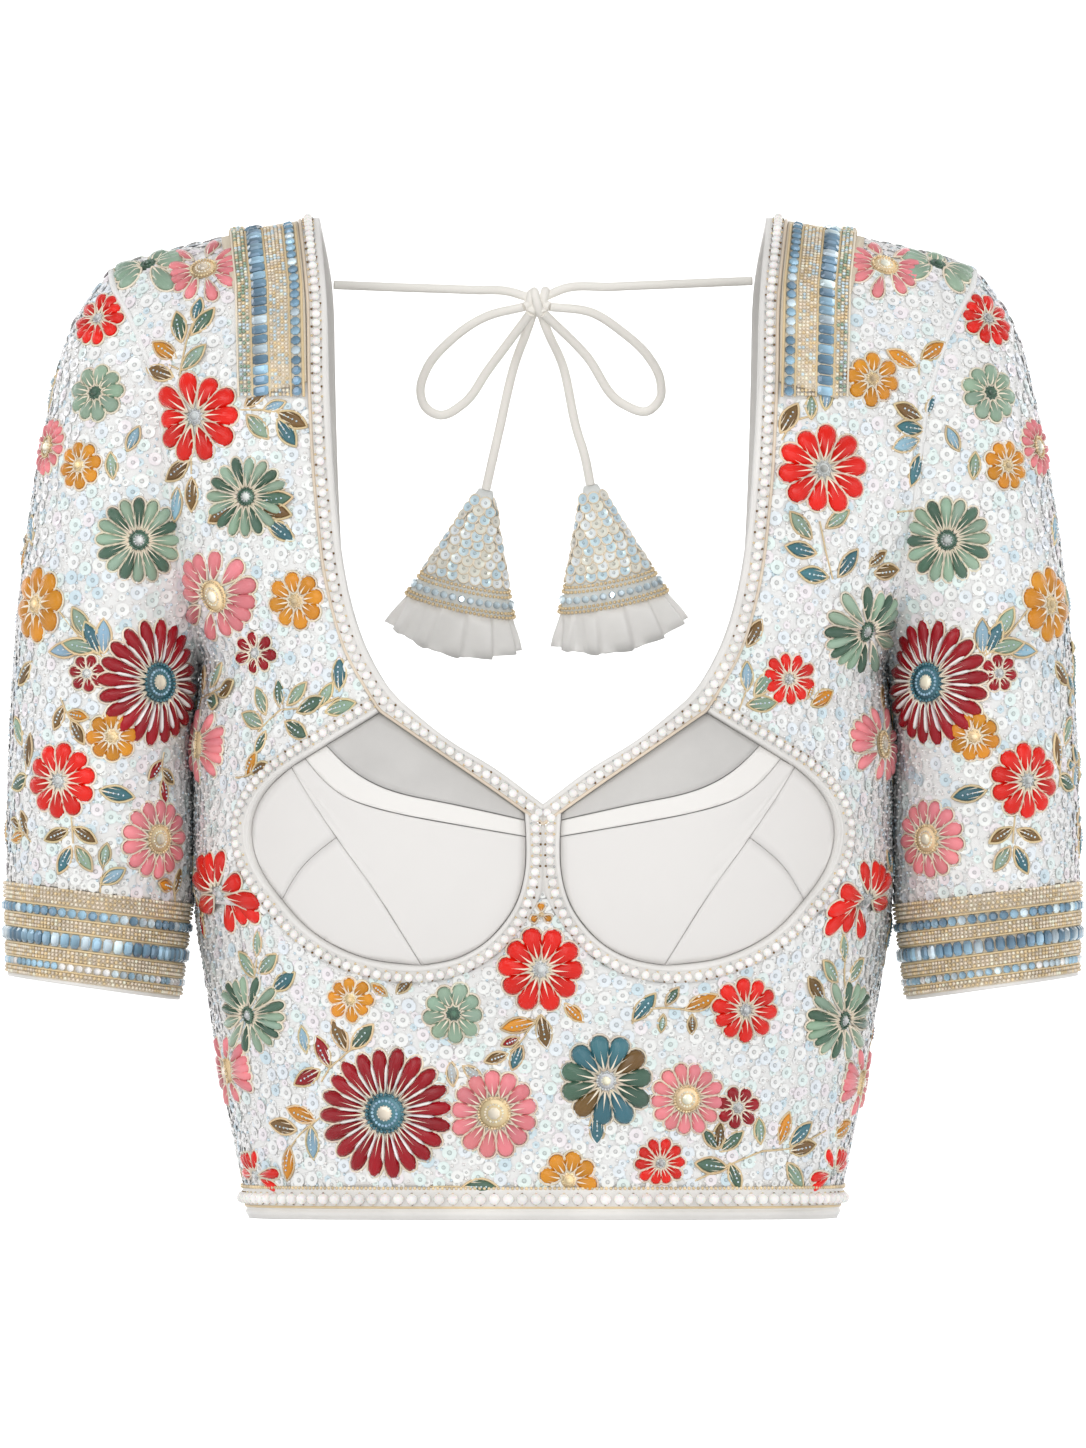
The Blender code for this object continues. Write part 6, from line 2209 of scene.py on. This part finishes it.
FRONT_LEAVES = (
    Leaf(-154, -54, -156, -41, Tint.GREEN), Leaf(-149, -45, -146, -36, Tint.TEAL),
    Leaf(-150, -51, -139, -39, Tint.GREEN), Leaf(-156, -61, -169, -52, Tint.MUSTARD),
    Leaf(-154, -66, -142, -55, Tint.SAGE), Leaf(-157, -69, -168, -65, Tint.BROWN),
    Leaf(-127, -82, -118, -74, Tint.BROWN), Leaf(-119, -83, -110, -80, Tint.SKY),
    Leaf(-126, -85, -116, -96, Tint.SAGE), Leaf(-113, -84, -101, -90, Tint.BROWN),
    Leaf(-113, -87, -104, -100, Tint.TEAL), Leaf(-150, -104, -159, -112, Tint.BROWN),
    Leaf(-149, -111, -149, -125, Tint.BROWN), Leaf(-155, -115, -156, -129, Tint.SKY),
    Leaf(-120, -122, -105, -120, Tint.GREEN), Leaf(-120, -124, -105, -128, Tint.BROWN),
    Leaf(-117, -130, -105, -139, Tint.TEAL), Leaf(-130, -123, -142, -131, Tint.BROWN),
    Leaf(-86, -203, -86, -189, Tint.TEAL), Leaf(-141, -204, -145, -193, Tint.BROWN),
    Leaf(-138, -202, -135, -189, Tint.SAGE), Leaf(-135, -205, -125, -196, Tint.BROWN),
    Leaf(-139, -207, -129, -210, Tint.GREEN), Leaf(-145, -206, -152, -213, Tint.BROWN),
    Leaf(-117, -213, -121, -202, Tint.SAGE), Leaf(-111, -210, -112, -198, Tint.GREEN),
    Leaf(-108, -209, -100, -200, Tint.SAGE), Leaf(-104, -212, -92, -206, Tint.GREEN),
    Leaf(-95, -210, -89, -200, Tint.SAGE), Leaf(-92, -212, -78, -208, Tint.SAGE),
    Leaf(-109, -216, -99, -223, Tint.GREEN), Leaf(-118, -218, -126, -213, Tint.SAGE),
    Leaf(-117, -220, -121, -229, Tint.GREEN), Leaf(101, -93, 108, -81, Tint.BROWN),
    Leaf(114, -87, 114, -77, Tint.SAGE), Leaf(120, -83, 121, -73, Tint.SKY),
    Leaf(161, -86, 148, -80, Tint.BROWN), Leaf(162, -91, 146, -89, Tint.TEAL),
    Leaf(165, -86, 166, -77, Tint.TEAL), Leaf(160, -95, 145, -100, Tint.SKY),
    Leaf(162, -101, 156, -115, Tint.TEAL), Leaf(159, -64, 144, -57, Tint.MUSTARD),
    Leaf(161, -61, 171, -54, Tint.MUSTARD), Leaf(114, -138, 104, -126, Tint.SAGE),
    Leaf(120, -133, 129, -126, Tint.SAGE), Leaf(116, -144, 98, -140, Tint.TEAL),
    Leaf(125, -154, 136, -138, Tint.TEAL), Leaf(121, -154, 103, -151, Tint.TEAL),
    Leaf(138, -149, 145, -143, Tint.BROWN), Leaf(140, -152, 152, -150, Tint.BROWN),
    Leaf(86, -184, 92, -173, Tint.BROWN), Leaf(141, -212, 141, -202, Tint.BROWN),
    Leaf(82, -206, 77, -196, Tint.SAGE), Leaf(86, -203, 86, -191, Tint.SKY),
    Leaf(89, -205, 97, -195, Tint.SAGE), Leaf(86, -209, 98, -208, Tint.SAGE),
    Leaf(81, -212, 74, -216, Tint.SKY), Leaf(111, -206, 113, -199, Tint.MUSTARD),
    Leaf(113, -209, 122, -203, Tint.MUSTARD), Leaf(-121, -316, -121, -305, Tint.SAGE),
    Leaf(-121, -325, -130, -313, Tint.SAGE), Leaf(-120, -323, -111, -314, Tint.SAGE),
    Leaf(-114, -330, -104, -322, Tint.TEAL), Leaf(-83, -356, -89, -343, Tint.BROWN),
    Leaf(-81, -355, -72, -345, Tint.GREEN), Leaf(-90, -363, -96, -350, Tint.RUBY),
    Leaf(-94, -364, -106, -371, Tint.RUBY), Leaf(-100, -357, -102, -346, Tint.SKY),
    Leaf(-96, -386, -111, -379, Tint.MUSTARD), Leaf(-104, -390, -118, -386, Tint.BROWN),
    Leaf(-98, -388, -97, -402, Tint.SKY), Leaf(-107, -397, -108, -412, Tint.MUSTARD),
    Leaf(-53, -411, -61, -417, Tint.BROWN), Leaf(-40, -406, -49, -416, Tint.SAGE),
    Leaf(-34, -414, -20, -414, Tint.GREEN), Leaf(-3, -343, -19, -346, Tint.MUSTARD),
    Leaf(-10, -350, -17, -353, Tint.RUBY), Leaf(-9, -353, -13, -363, Tint.TEAL),
    Leaf(-15, -357, -24, -360, Tint.BROWN), Leaf(-38, -371, -39, -361, Tint.SILVER),
    Leaf(-34, -362, -26, -368, Tint.SILVER), Leaf(-66, -332, -72, -327, Tint.MUSTARD),
    Leaf(-62, -331, -56, -325, Tint.BROWN), Leaf(-1, -340, 2, -357, Tint.BROWN),
    Leaf(9, -335, 17, -343, Tint.MUSTARD), Leaf(38, -343, 47, -332, Tint.TEAL),
    Leaf(60, -338, 73, -332, Tint.MUSTARD), Leaf(63, -340, 63, -348, Tint.BROWN),
    Leaf(51, -340, 50, -347, Tint.SAGE), Leaf(52, -336, 57, -329, Tint.GREEN),
    Leaf(23, -381, 23, -398, Tint.TEAL), Leaf(128, -318, 128, -307, Tint.SAGE),
    Leaf(124, -327, 117, -317, Tint.SAGE), Leaf(129, -327, 136, -317, Tint.SAGE),
    Leaf(118, -335, 111, -323, Tint.BROWN), Leaf(74, -398, 68, -390, Tint.GREEN),
    Leaf(74, -398, 75, -387, Tint.BROWN), Leaf(75, -399, 84, -391, Tint.GREEN),
    Leaf(78, -406, 64, -404, Tint.GREEN), Leaf(61, -409, 74, -418, Tint.BROWN),
    Leaf(79, -404, 83, -415, Tint.GREEN), Leaf(92, -396, 91, -385, Tint.SAGE),
    Leaf(100, -396, 104, -383, Tint.MUSTARD), Leaf(104, -397, 114, -386, Tint.TEAL),
    Leaf(104, -399, 118, -395, Tint.BROWN), Leaf(92, -402, 95, -416, Tint.TEAL),
    Leaf(103, -404, 110, -416, Tint.SAGE), Leaf(123, -393, 129, -387, Tint.MUSTARD),
)
FRONT_STEMS = (
    ((-154, -77), (-154, -66), (-152, -54), (-149, -45)), ((-154, -66), (-160, -63)),
    ((-130, -83), (-119, -83), (-113, -84)), ((-149, -101), (-149, -111)),
    ((-130, -123), (-120, -123), (-116, -130)), ((-141, -206), (-134, -202)),
    ((-121, -221), (-111, -211), (-95, -210), (-85, -205)), ((101, -97), (106, -88), (116, -85)),
    ((165, -108), (162, -95), (162, -86)), ((160, -69), (160, -62)),
    ((123, -156), (120, -144), (117, -129)), ((137, -151), (141, -146)), ((82, -213), (86, -202)),
    ((-121, -331), (-121, -316)), ((-94, -370), (-90, -363), (-82, -356), (-78, -353)),
    ((-92, -383), (-102, -391), (-107, -398)), ((-49, -414), (-34, -414)),
    ((-1, -339), (-9, -351), (-15, -357)), ((37, -345), (42, -338), (51, -337), (62, -338)),
    ((129, -335), (127, -327), (128, -317)),
    ((63, -412), (78, -405), (92, -399), (104, -398), (120, -390)), ((23, -378), (23, -389)),
)
SLEEVE_LEAVES = (
    Leaf(191, -185, 212, -181, Tint.SAGE), Leaf(190, -187, 198, -168, Tint.TEAL),
    Leaf(188, -187, 188, -170, Tint.SKY), Leaf(194, -180, 203, -163, Tint.SAGE),
    Leaf(197, -184, 209, -186, Tint.SKY), Leaf(190, -245, 175, -248, Tint.TEAL),
    Leaf(203, -262, 212, -266, Tint.BROWN), Leaf(201, -261, 191, -267, Tint.BROWN),
    Leaf(202, -269, 207, -280, Tint.TEAL), Leaf(200, -269, 193, -279, Tint.SAGE),
    Leaf(221, -236, 219, -221, Tint.BROWN), Leaf(221, -239, 227, -245, Tint.GREEN),
    Leaf(223, -226, 226, -212, Tint.SAGE), Leaf(219, -190, 224, -200, Tint.BROWN),
    Leaf(219, -140, 219, -126, Tint.SKY), Leaf(184, -112, 185, -101, Tint.SAGE),
    Leaf(178, -100, 173, -90, Tint.SKY),
)
SLEEVE_STEMS = (
    ((208, -167), (197, -181), (185, -191)), ((202, -255), (201, -269)), ((221, -245), (221, -226)),
)


class Cut(NamedTuple):
    """The flat cut of a cloth, in millimetres, and the cloth that it is sewn to."""

    width: float
    length: float
    area: float | None
    sewn_to: str


CUTS = {
    "front_yoke": Cut(150, 310, 26900, "neck_border_front"),
    "back": Cut(215, 415, 53500, "neck_border_back"),
    "sleeve_front": Cut(125, 285, 29650, "front_yoke"),
    "sleeve_back": Cut(125, 285, 29750, "back"),
    "front_band": Cut(370, 127, 43200, "front_yoke_left"),
    "cup_main": Cut(102, 90, 4030, "cup_border"),
    "cup_side_lower": Cut(62, 56, 1870, "cup_main"),
    "cup_side_upper": Cut(60, 54, 1535, "cup_side_lower"),
    "cup_upper": Cut(88, 48, 1530, "neck_border_front"),
    "cup_top_band": Cut(98, 10, 907, "cup_upper"),
    "neck_border_front": Cut(345, 10, 3020, "front_yoke"),
    "neck_border_back": Cut(405, 10, 3600, "back"),
    "cup_border": Cut(395, 10, 2770, "front_band"),
    "hem_border": Cut(717, 14.1, None, "front_band"),
    "shoulder_band": Cut(204, 30, None, "front_yoke"),
    "cuff": Cut(278, 41.5, None, "sleeve_front"),
}


class Crease(NamedTuple):
    """A soft crease of a cup: its two ends in the front view, its width and its height."""

    start: Spot
    end: Spot
    width: float
    height: float


CREASES = (
    Crease(Spot(24, -258), Spot(52, -312), 4.5, 0.55),
    Crease(Spot(40, -256), Spot(70, -308), 4.0, -0.5),
    Crease(Spot(14, -268), Spot(34, -308), 3.2, -0.4),
    Crease(Spot(60, -250), Spot(84, -300), 4.0, 0.45),
    Crease(Spot(98, -236), Spot(72, -262), 3.4, 0.4),
    Crease(Spot(84, -228), Spot(52, -246), 3.0, -0.3),
    Crease(Spot(116, -262), Spot(92, -270), 3.0, 0.3),
)


def creased(points: Array, normals: Array) -> Array:
    """How far the cups' satin stands out in its creases.

    Args:
        points: Places on a cup.
        normals: The outward directions there.

    Returns:
        The distance moved along each direction.
    """
    x, z = np.abs(points[:, 0]), points[:, 2]
    rise = np.zeros(len(points))
    for crease in CREASES:
        dx, dz = crease.end.x - crease.start.x, crease.end.z - crease.start.z
        share = ((x - crease.start.x) * dx + (z - crease.start.z) * dz) / (dx**2 + dz**2)
        share = np.clip(share, 0.0, 1.0)
        away = np.hypot(x - crease.start.x - share * dx, z - crease.start.z - share * dz)
        rise += crease.height * 4.0 * share * (1.0 - share) * np.exp(-(away / crease.width) ** 2)
    return -rise * normals[:, 1]


# How far the side of the body leans out to the sleeve: heights and amounts.
LEAN = ((-302.0, 0.0), (-292.0, 0.9), (-282.0, 0.4), (-265.0, 0.2), (-235.0, 0.4), (-220.0, 1.4),
        (-210.0, 2.7), (-202.0, 2.8), (-197.0, 1.6), (-190.0, 0.0))
BAND_LEAN = ((-335.0, 0.0), (-300.0, 1.7), (-290.0, 1.9))
LEAN_REACH = 20.0       # the lean grows to its full amount over this distance
LEAN_START = 25.0       # and starts this far in from the body's side


def leaned(points: Array, normals: Array, sleeve: bool,
           leans: Sequence[tuple[float, float]] = LEAN) -> Array:
    """How far the body's side and the sleeve's underarm side lean toward each other.

    Args:
        points: Places on the cloth.
        normals: Their directions.
        sleeve: Whether the cloth is a sleeve's.
        leans: How far it leans, by height.

    Returns:
        How far each place is moved along its direction.
    """
    across, height = np.abs(points[:, 0]), points[:, 2]
    amount = np.interp(height, [z for z, _ in leans], [lean for _, lean in leans])
    if sleeve:
        axis = np.interp(-height, -SLEEVE_AXIS[:, 2], SLEEVE_AXIS[:, 0])
        share = -np.clip((axis - across) / LEAN_REACH, 0.0, 1.0)
    else:
        share = np.clip((across - FORM.half_width(height) + LEAN_START) / LEAN_REACH, 0.0, 1.0)
    return amount * share * normals[:, 0] * np.sign(points[:, 0])


@dataclass(frozen=True)
class CupLining:
    """The lining behind a cup's pieces, which shows only in their seams: darker satin that paints
    shade into them.
    """

    border: CupBorder = CupBorder()
    segments: int = 96
    rings: int = 9
    overlap: float = 2.5
    lift: float = -1.7
    centre_gap: float = 0.6

    def made(self, flip: float) -> bpy.types.Object:
        """Makes one cup's lining, of rings spun in from just behind the border."""
        mesh = bmesh.new()
        bmesh.ops.create_circle(mesh, segments=self.segments, radius=1.0)
        rim = mesh.edges[:]
        for ring in range(self.rings - 1, 0, -1):
            grown = bmesh.ops.extrude_edge_only(mesh, edges=rim)["geom"]
            rim = [item for item in grown if isinstance(item, bmesh.types.BMEdge)]
            inner = [item for item in grown if isinstance(item, bmesh.types.BMVert)]
            share = ring / (ring + 1)
            bmesh.ops.scale(mesh, verts=inner, vec=(share, share, 1.0))
        bmesh.ops.contextual_create(mesh, geom=rim)
        strap = (self.border.window[-1], self.border.corner)
        edge = np.concatenate([outline(self.border.window, 120), outline(strap, 40)[1:-1]])
        middle = np.array(FORM.cup_centre)
        turns = np.arctan2(*(edge - middle).T[::-1])
        order = np.argsort(turns)
        reach = np.linalg.norm(edge - middle, axis=1) + self.overlap
        for vert in mesh.verts:
            turn = math.atan2(vert.co.y, vert.co.x)
            share = math.hypot(vert.co.x, vert.co.y) * np.interp(
                turn, turns[order], reach[order], period=2 * math.pi)
            x = np.array([max(middle[0] + share * math.cos(turn), self.centre_gap)])
            z = np.array([middle[1] + share * math.sin(turn)])
            place = FORM.points(x, z, False) + self.lift * FORM.normals(x, z, False)
            vert.co = Vector(place[0] * np.array([flip, 1.0, 1.0]) * MM)
        bmesh.ops.recalc_face_normals(mesh, faces=mesh.faces)
        name = f"cup_lining_{'left' if flip > 0 else 'right'}"
        data = bpy.data.meshes.new(name)
        mesh.to_mesh(data)
        mesh.free()
        data.shade_smooth()
        made = own(bpy.data.objects.new(name, data), Cloths.UPPER)
        return made


@dataclass
class Blouse:
    """The whole dressed blouse."""

    BODY_EDGE = 0.985       # needlework is aimed within this share of the half width
    BAND_CLEARANCE = 5.2    # and is kept this far off the lines of a shoulder band
    SPRIGS = {"front": 10, "back": 60, "sleeve": 14}
    BODY_SHOWN = 0.9        # how far petals are lengthened where the cloth turns away
    SLEEVE_SHOWN = 0.15
    ARMHOLE = (Spot(185, -23.5), Spot(184, -29), Spot(177, -42), Spot(168.5, -62),
               Spot(162.5, -86), Spot(160, -104), Spot(157, -128), Spot(152.5, -155),
               Spot(148, -178), Spot(145.3, -190))

    cloths: dict[str, Cloth] = field(default_factory=dict)

    def _cloth(self, name: str, finish: Finish, sides: Sequence[str] = ("left", "right"),
               **options: object) -> None:
        """Makes the same cloth for each side.

        Args:
            name: The node's name, without its side.
            finish: The cloth's finish.
            sides: The sides it is made for, or one empty name where it crosses the middle.
            options: What else the cloth is given.
        """
        for side in sides:
            node = f"{name}_{side}" if side else name
            self.cloths[node] = Cloth(node, finish, **options)

    def panels(self) -> None:
        """Makes every cloth shell."""
        for name in ("front_yoke", "back", "sleeve_front", "sleeve_back"):
            self._cloth(name, Cloths.NET, lining=Cloths.LINING,
                        relief=partial(leaned, sleeve=name.startswith("sleeve")))
        self._cloth("front_band", Cloths.NET, ("",), lining=Cloths.LINING,
                    relief=partial(leaned, sleeve=False, leans=BAND_LEAN))
        for name in ("cup_main", "cup_side_lower", "cup_side_upper"):
            self._cloth(name, Cloths.CUP, relief=creased)
        self._cloth("cup_upper", Cloths.UPPER, relief=creased)
        self._cloth("cup_top_band", Cloths.BAND)
        for flip in (1.0, -1.0):
            CupLining().made(flip)
        for name in ("neck_border_front", "neck_border_back", "cup_border"):
            self._cloth(name, Cloths.BINDING)
        self._cloth("hem_border", Cloths.BINDING, ("",))
        self._cloth("shoulder_band", Cloths.CUFF_GROUND)
        self._cloth("cuff", Cloths.CUFF_GROUND, lining=Cloths.LINING)

    def _body_aim(self, x: float, z: float, back: bool) -> Array:
        """A place on the body's cloth from a front view place."""
        limit = self.BODY_EDGE * float(FORM.half_width(np.float64(z)))
        return FORM.points(np.clip(x, -limit, limit), np.float64(z), back)

    def body_embroidery(self) -> dict[str, list[bpy.types.Object]]:
        """Sews the front and the back of the body."""
        made = {}
        halves = (("front", ("front_yoke_left", "front_yoke_right", "front_band"), FRONT_FLOWERS,
                   FRONT_LEAVES, FRONT_STEMS),
                  ("back", ("back_left", "back_right"), BACK_FLOWERS, (), ()))
        for seed, (name, nodes, flowers, leaves, stems) in enumerate(halves):
            back = name == "back"
            work = Embroidery(Ground(name, [self.cloths[node] for node in nodes]), seed,
                              self.BODY_SHOWN)
            self._keep_off_bands(work, back)
            for flower in flowers:
                work.flower(flower, self._body_aim(flower.x, flower.z, back))
            for leaf in leaves:
                work.leaf(self._body_aim(leaf.x, leaf.z, back),
                          self._body_aim(leaf.tip_x, leaf.tip_z, back), leaf.tint)
            for stem in stems:
                work.stem(np.array([self._body_aim(x, z, back) for x, z in stem]))
            work.scatter_sprigs(self.SPRIGS[name])
            work.strew()
            made[name] = work.pieces()
        return made

    def _keep_off_bands(self, work: Embroidery, back: bool) -> None:
        """Keeps needlework off the cloth under the shoulder bands."""
        strip = ShoulderBand().strip(back)
        for side in (1.0, OTHER_SIDE):
            for share in np.linspace(0.05, 0.90, 6):
                for point in strip.rail(float(share), 0.0).points[::2]:
                    work.clear.add(point * side, self.BAND_CLEARANCE)

    def sleeve_embroidery(self, side: str) -> list[bpy.types.Object]:
        """Sews one sleeve all round."""
        flip = 1.0 if side == "left" else -1.0
        nodes = [f"sleeve_front_{side}", f"sleeve_back_{side}"]
        ground = Ground(f"sleeve_{side}", [self.cloths[node] for node in nodes])
        work = Embroidery(ground, 5 if flip > 0 else 6, self.SLEEVE_SHOWN)
        for facing in (-1.0, 1.0):
            for flower in SLEEVE_FLOWERS:
                aim = self._sleeve_aim(ground, flip * flower.x, flower.z, facing)
                if aim is not None and not (facing > 0 and work.clear.covers(aim, 6.0)):
                    work.flower(flower, aim)
            for leaf in SLEEVE_LEAVES:
                base = self._sleeve_aim(ground, flip * leaf.x, leaf.z, facing)
                tip = self._sleeve_aim(ground, flip * leaf.tip_x, leaf.tip_z, facing)
                if base is not None and tip is not None:
                    work.leaf(base, tip, leaf.tint)
            for stem in SLEEVE_STEMS:
                aims = [self._sleeve_aim(ground, flip * x, z, facing) for x, z in stem]
                if all(aim is not None for aim in aims):
                    work.stem(np.array(aims))
        work.scatter_sprigs(self.SPRIGS["sleeve"])
        work.strew()
        return work.pieces()

    @staticmethod
    def _sleeve_aim(ground: Ground, x: float, z: float, facing: float) -> Array | None:
        """Where a line through the sleeve, front to back, meets its outside.

        Args:
            ground: The sleeve's cloth.
            x: The line's sideways place.
            z: Its height.
            facing: -1 for the sleeve's front and 1 for its back.

        Returns:
            The place, the nearest one where the line passes just beside the sleeve, or None.
        """
        hit = ground.tree.ray_cast(Vector((x, facing * 150.0, z)), Vector((0, -facing, 0)))[0]
        if hit is None or hit.y * facing < 0:
            near = ground.seat(np.array([x, facing * 12.0, z]), 14.0)
            return None if near is None else near[0]
        return np.array(hit)

    def armhole_rolls(self, works: Trimmings) -> None:
        """The rolled satin seams where the sleeves are set in."""
        for back in (False, True):
            rail = body_rail(outline(self.ARMHOLE, 60, back), 1.1, back)
            for side in (rail, rail.mirrored()):
                works.couch(side, 1.5, Tint.WHITE, Cloths.NET)

    def dressed(self) -> None:
        """Builds and dresses the blouse, piece by piece."""
        self.panels()
        body = self.body_embroidery()
        worked = {"front_band": body["front"], "back_left": body["back"]}
        edging = Trimmings("edging")
        NeckBorder().sewn(edging)
        CupBorder().sewn(edging)
        HemBorder().sewn(edging)
        bands = Trimmings("shoulder")
        ShoulderBand().sewn(bands)
        self.armhole_rolls(bands)
        worked["hem_border"] = edging.pieces()
        worked["shoulder_band_left"] = bands.pieces()
        for side, flip in (("left", 1.0), ("right", -1.0)):
            worked[f"sleeve_front_{side}"] = self.sleeve_embroidery(side)
            cuff = Trimmings(f"cuff_{side}")
            Cuff().sewn(cuff, flip)
            worked[f"cuff_{side}"] = cuff.pieces()
        Dori().tied()
        self._declare(worked)

    def _declare(self, worked: dict[str, list[bpy.types.Object]]) -> None:
        """Logs each cloth shell's outer area, and passes the sheet that it was cut from to
        Cloth.declare, which does nothing with it.

        Args:
            worked: The needlework on each cloth that carries some, by node.
        """
        for node, cloth in self.cloths.items():
            name, _, side = node.rpartition("_")
            if side not in ("left", "right"):
                name, side = node, ""
            cut = CUTS[name]
            sewn_to = f"{cut.sewn_to}_{side}" if side else cut.sewn_to
            beside = sewn_to if sewn_to in self.cloths else cut.sewn_to
            log.info("%s: %.0f mm2 outside", node, float(np.sum(cloth.areas[cloth.outside()])))
            cloth.declare((cut.width, cut.length), cut.area, "stretched", [beside],
                          worked.get(node, []))


# ---------------------------------------------------------------- the studio
class Lamp(NamedTuple):
    """An area light, in metres and watts."""

    name: str
    place: tuple[float, float, float]
    size: float
    power: float
    aim: tuple[float, float, float] = (0.0, 0.0, -0.22)


LAMPS = (
    Lamp("front", (0.0, -3.4, 0.5), 2.2, 25.0), Lamp("key", (-1.3, -2.4, 1.5), 1.4, 17.0),
    Lamp("fill", (1.8, -2.2, 0.5), 2.0, 7.0), Lamp("top", (0.2, -0.2, 2.6), 1.8, 9.0),
    Lamp("side_left", (-2.8, -0.9, 0.1), 2.0, 14.0),
    Lamp("side_right", (2.8, -0.9, 0.1), 2.0, 14.0),
    Lamp("rim_left", (-2.2, 1.6, 0.8), 1.2, 10.0), Lamp("rim_right", (2.2, 1.6, 0.8), 1.2, 10.0),
    Lamp("wall", (0.0, 3.2, 2.6), 3.0, 240.0, (0.0, 6.5, 0.0)),
)


@dataclass(frozen=True)
class Studio:
    """A plain pale room with soft light and a level camera, in metres."""

    pixels: tuple[int, int] = (1086, 1448)
    scale: float = 0.43                 # millimetres to a pixel
    centre_row: float = 220.0           # the row of pixels at the model's height 0
    distance: float = 12.0
    sensor: float = 36.0
    floor: float = -0.60
    room_reach: float = 6.0
    curve: float = 1.5                  # radius of the bend from floor to backdrop
    curve_steps: int = 8
    wall_height: float = 7.0
    inside: tuple[float, float, float] = (0.0, 0.0, 2.0)
    sky: float = 0.44
    beam_power: float = 40.0
    beam_degrees: float = 4.9
    beam_place: tuple[float, float, float] = (0.0, -2.0, -0.108)

    def camera(self) -> None:
        """A long lens, level with the middle of the frame."""
        height = self.pixels[1] * self.scale * MM
        lens = bpy.data.cameras.new("studio_camera")
        lens.sensor_fit = "VERTICAL"
        lens.sensor_height = self.sensor
        lens.lens = self.sensor * self.distance / height
        lens.clip_end = 40.0
        camera = bpy.data.objects.new("studio_camera", lens)
        level = -(self.pixels[1] / 2 - self.centre_row) * self.scale * MM
        camera.location = (0.0, -self.distance, level)
        camera.rotation_euler = (math.pi / 2, 0.0, 0.0)
        bpy.context.scene.collection.objects.link(camera)
        bpy.context.scene.camera = camera

    def room(self) -> None:
        """A floor that curves up into a backdrop, and is clear when seen from outside."""
        mesh = bmesh.new()
        bmesh.ops.create_grid(mesh, x_segments=1, y_segments=1, size=self.room_reach)
        bmesh.ops.translate(mesh, verts=mesh.verts, vec=(0, 0, self.floor))
        far = [edge for edge in mesh.edges if all(vert.co.y > 0 for vert in edge.verts)]
        for k in range(1, self.curve_steps + 1):
            turn = math.pi / 2 * k / self.curve_steps
            made = bmesh.ops.extrude_edge_only(mesh, edges=far)["geom"]
            far = [item for item in made if isinstance(item, bmesh.types.BMEdge)]
            for vert in {vert for edge in far for vert in edge.verts}:
                vert.co.y = self.room_reach + self.curve * math.sin(turn)
                vert.co.z = self.floor + self.curve * (1 - math.cos(turn))
        made = bmesh.ops.extrude_edge_only(mesh, edges=far)["geom"]
        for item in made:
            if isinstance(item, bmesh.types.BMVert):
                item.co.z += self.wall_height
        mesh.normal_update()
        for face in mesh.faces:
            if face.normal.dot(Vector(self.inside) - face.calc_center_median()) < 0:
                face.normal_flip()
        data = bpy.data.meshes.new("studio_room")
        mesh.to_mesh(data)
        mesh.free()
        data.shade_smooth()
        paint = bpy.data.materials.new("studio_paint")
        paint.use_nodes = True
        wiring = Wiring(paint.node_tree)
        cloud = wiring.add("ShaderNodeTexNoise", {"Vector": _object_point(wiring), "Scale": 3.0})
        tone = wiring.mix(cloud.outputs["Fac"], (0.93, 0.93, 0.93, 1), (0.96, 0.96, 0.96, 1))
        side = wiring.add("ShaderNodeNewGeometry").outputs["Backfacing"]
        shader = wiring.add("ShaderNodeBsdfPrincipled", {
            "Base Color": tone, "Roughness": 0.9, "Alpha": wiring.math("SUBTRACT", 1.0, side)})
        wiring.add("ShaderNodeOutputMaterial", {"Surface": shader.outputs[0]})
        data.materials.append(paint)
        room = bpy.data.objects.new("studio_room", data)
        bpy.context.scene.collection.objects.link(room)

    def lights(self) -> None:
        """A pale sky, the lamps, and a narrow beam through the open neck onto the tie."""
        world = bpy.data.worlds.new("studio_world")
        world.use_nodes = True
        wiring = Wiring(world.node_tree)
        sky = wiring.add("ShaderNodeBackground", {"Color": (1, 1, 1, 1), "Strength": self.sky})
        wiring.add("ShaderNodeOutputWorld", {"Surface": sky.outputs[0]})
        bpy.context.scene.world = world
        for name, place, size, power, aim in LAMPS:
            lamp = bpy.data.lights.new(name, "AREA")
            lamp.size = size
            lamp.energy = power
            light = bpy.data.objects.new(name, lamp)
            light.location = place
            way = Vector(aim) - Vector(place)
            light.rotation_euler = way.to_track_quat("-Z", "Y").to_euler()
            bpy.context.scene.collection.objects.link(light)
        beam = bpy.data.lights.new("snoot", "SPOT")
        beam.energy, beam.spot_size = self.beam_power, math.radians(self.beam_degrees)
        beam.spot_blend, beam.shadow_soft_size = 0.3, 0.03
        snoot = bpy.data.objects.new("snoot", beam)
        snoot.location = self.beam_place
        snoot.rotation_euler = (math.pi / 2, 0.0, 0.0)
        bpy.context.scene.collection.objects.link(snoot)

    def built(self) -> None:
        """Sets up the camera, the room and the lights."""
        bpy.context.scene.view_settings.view_transform = "Standard"
        self.camera()
        self.room()
        self.lights()


def main() -> None:
    """Builds the studio and the blouse."""
    logging.basicConfig(level=logging.INFO, format="%(message)s")
    Studio().built()
    Blouse().dressed()


if __name__ == "__main__":
    main()
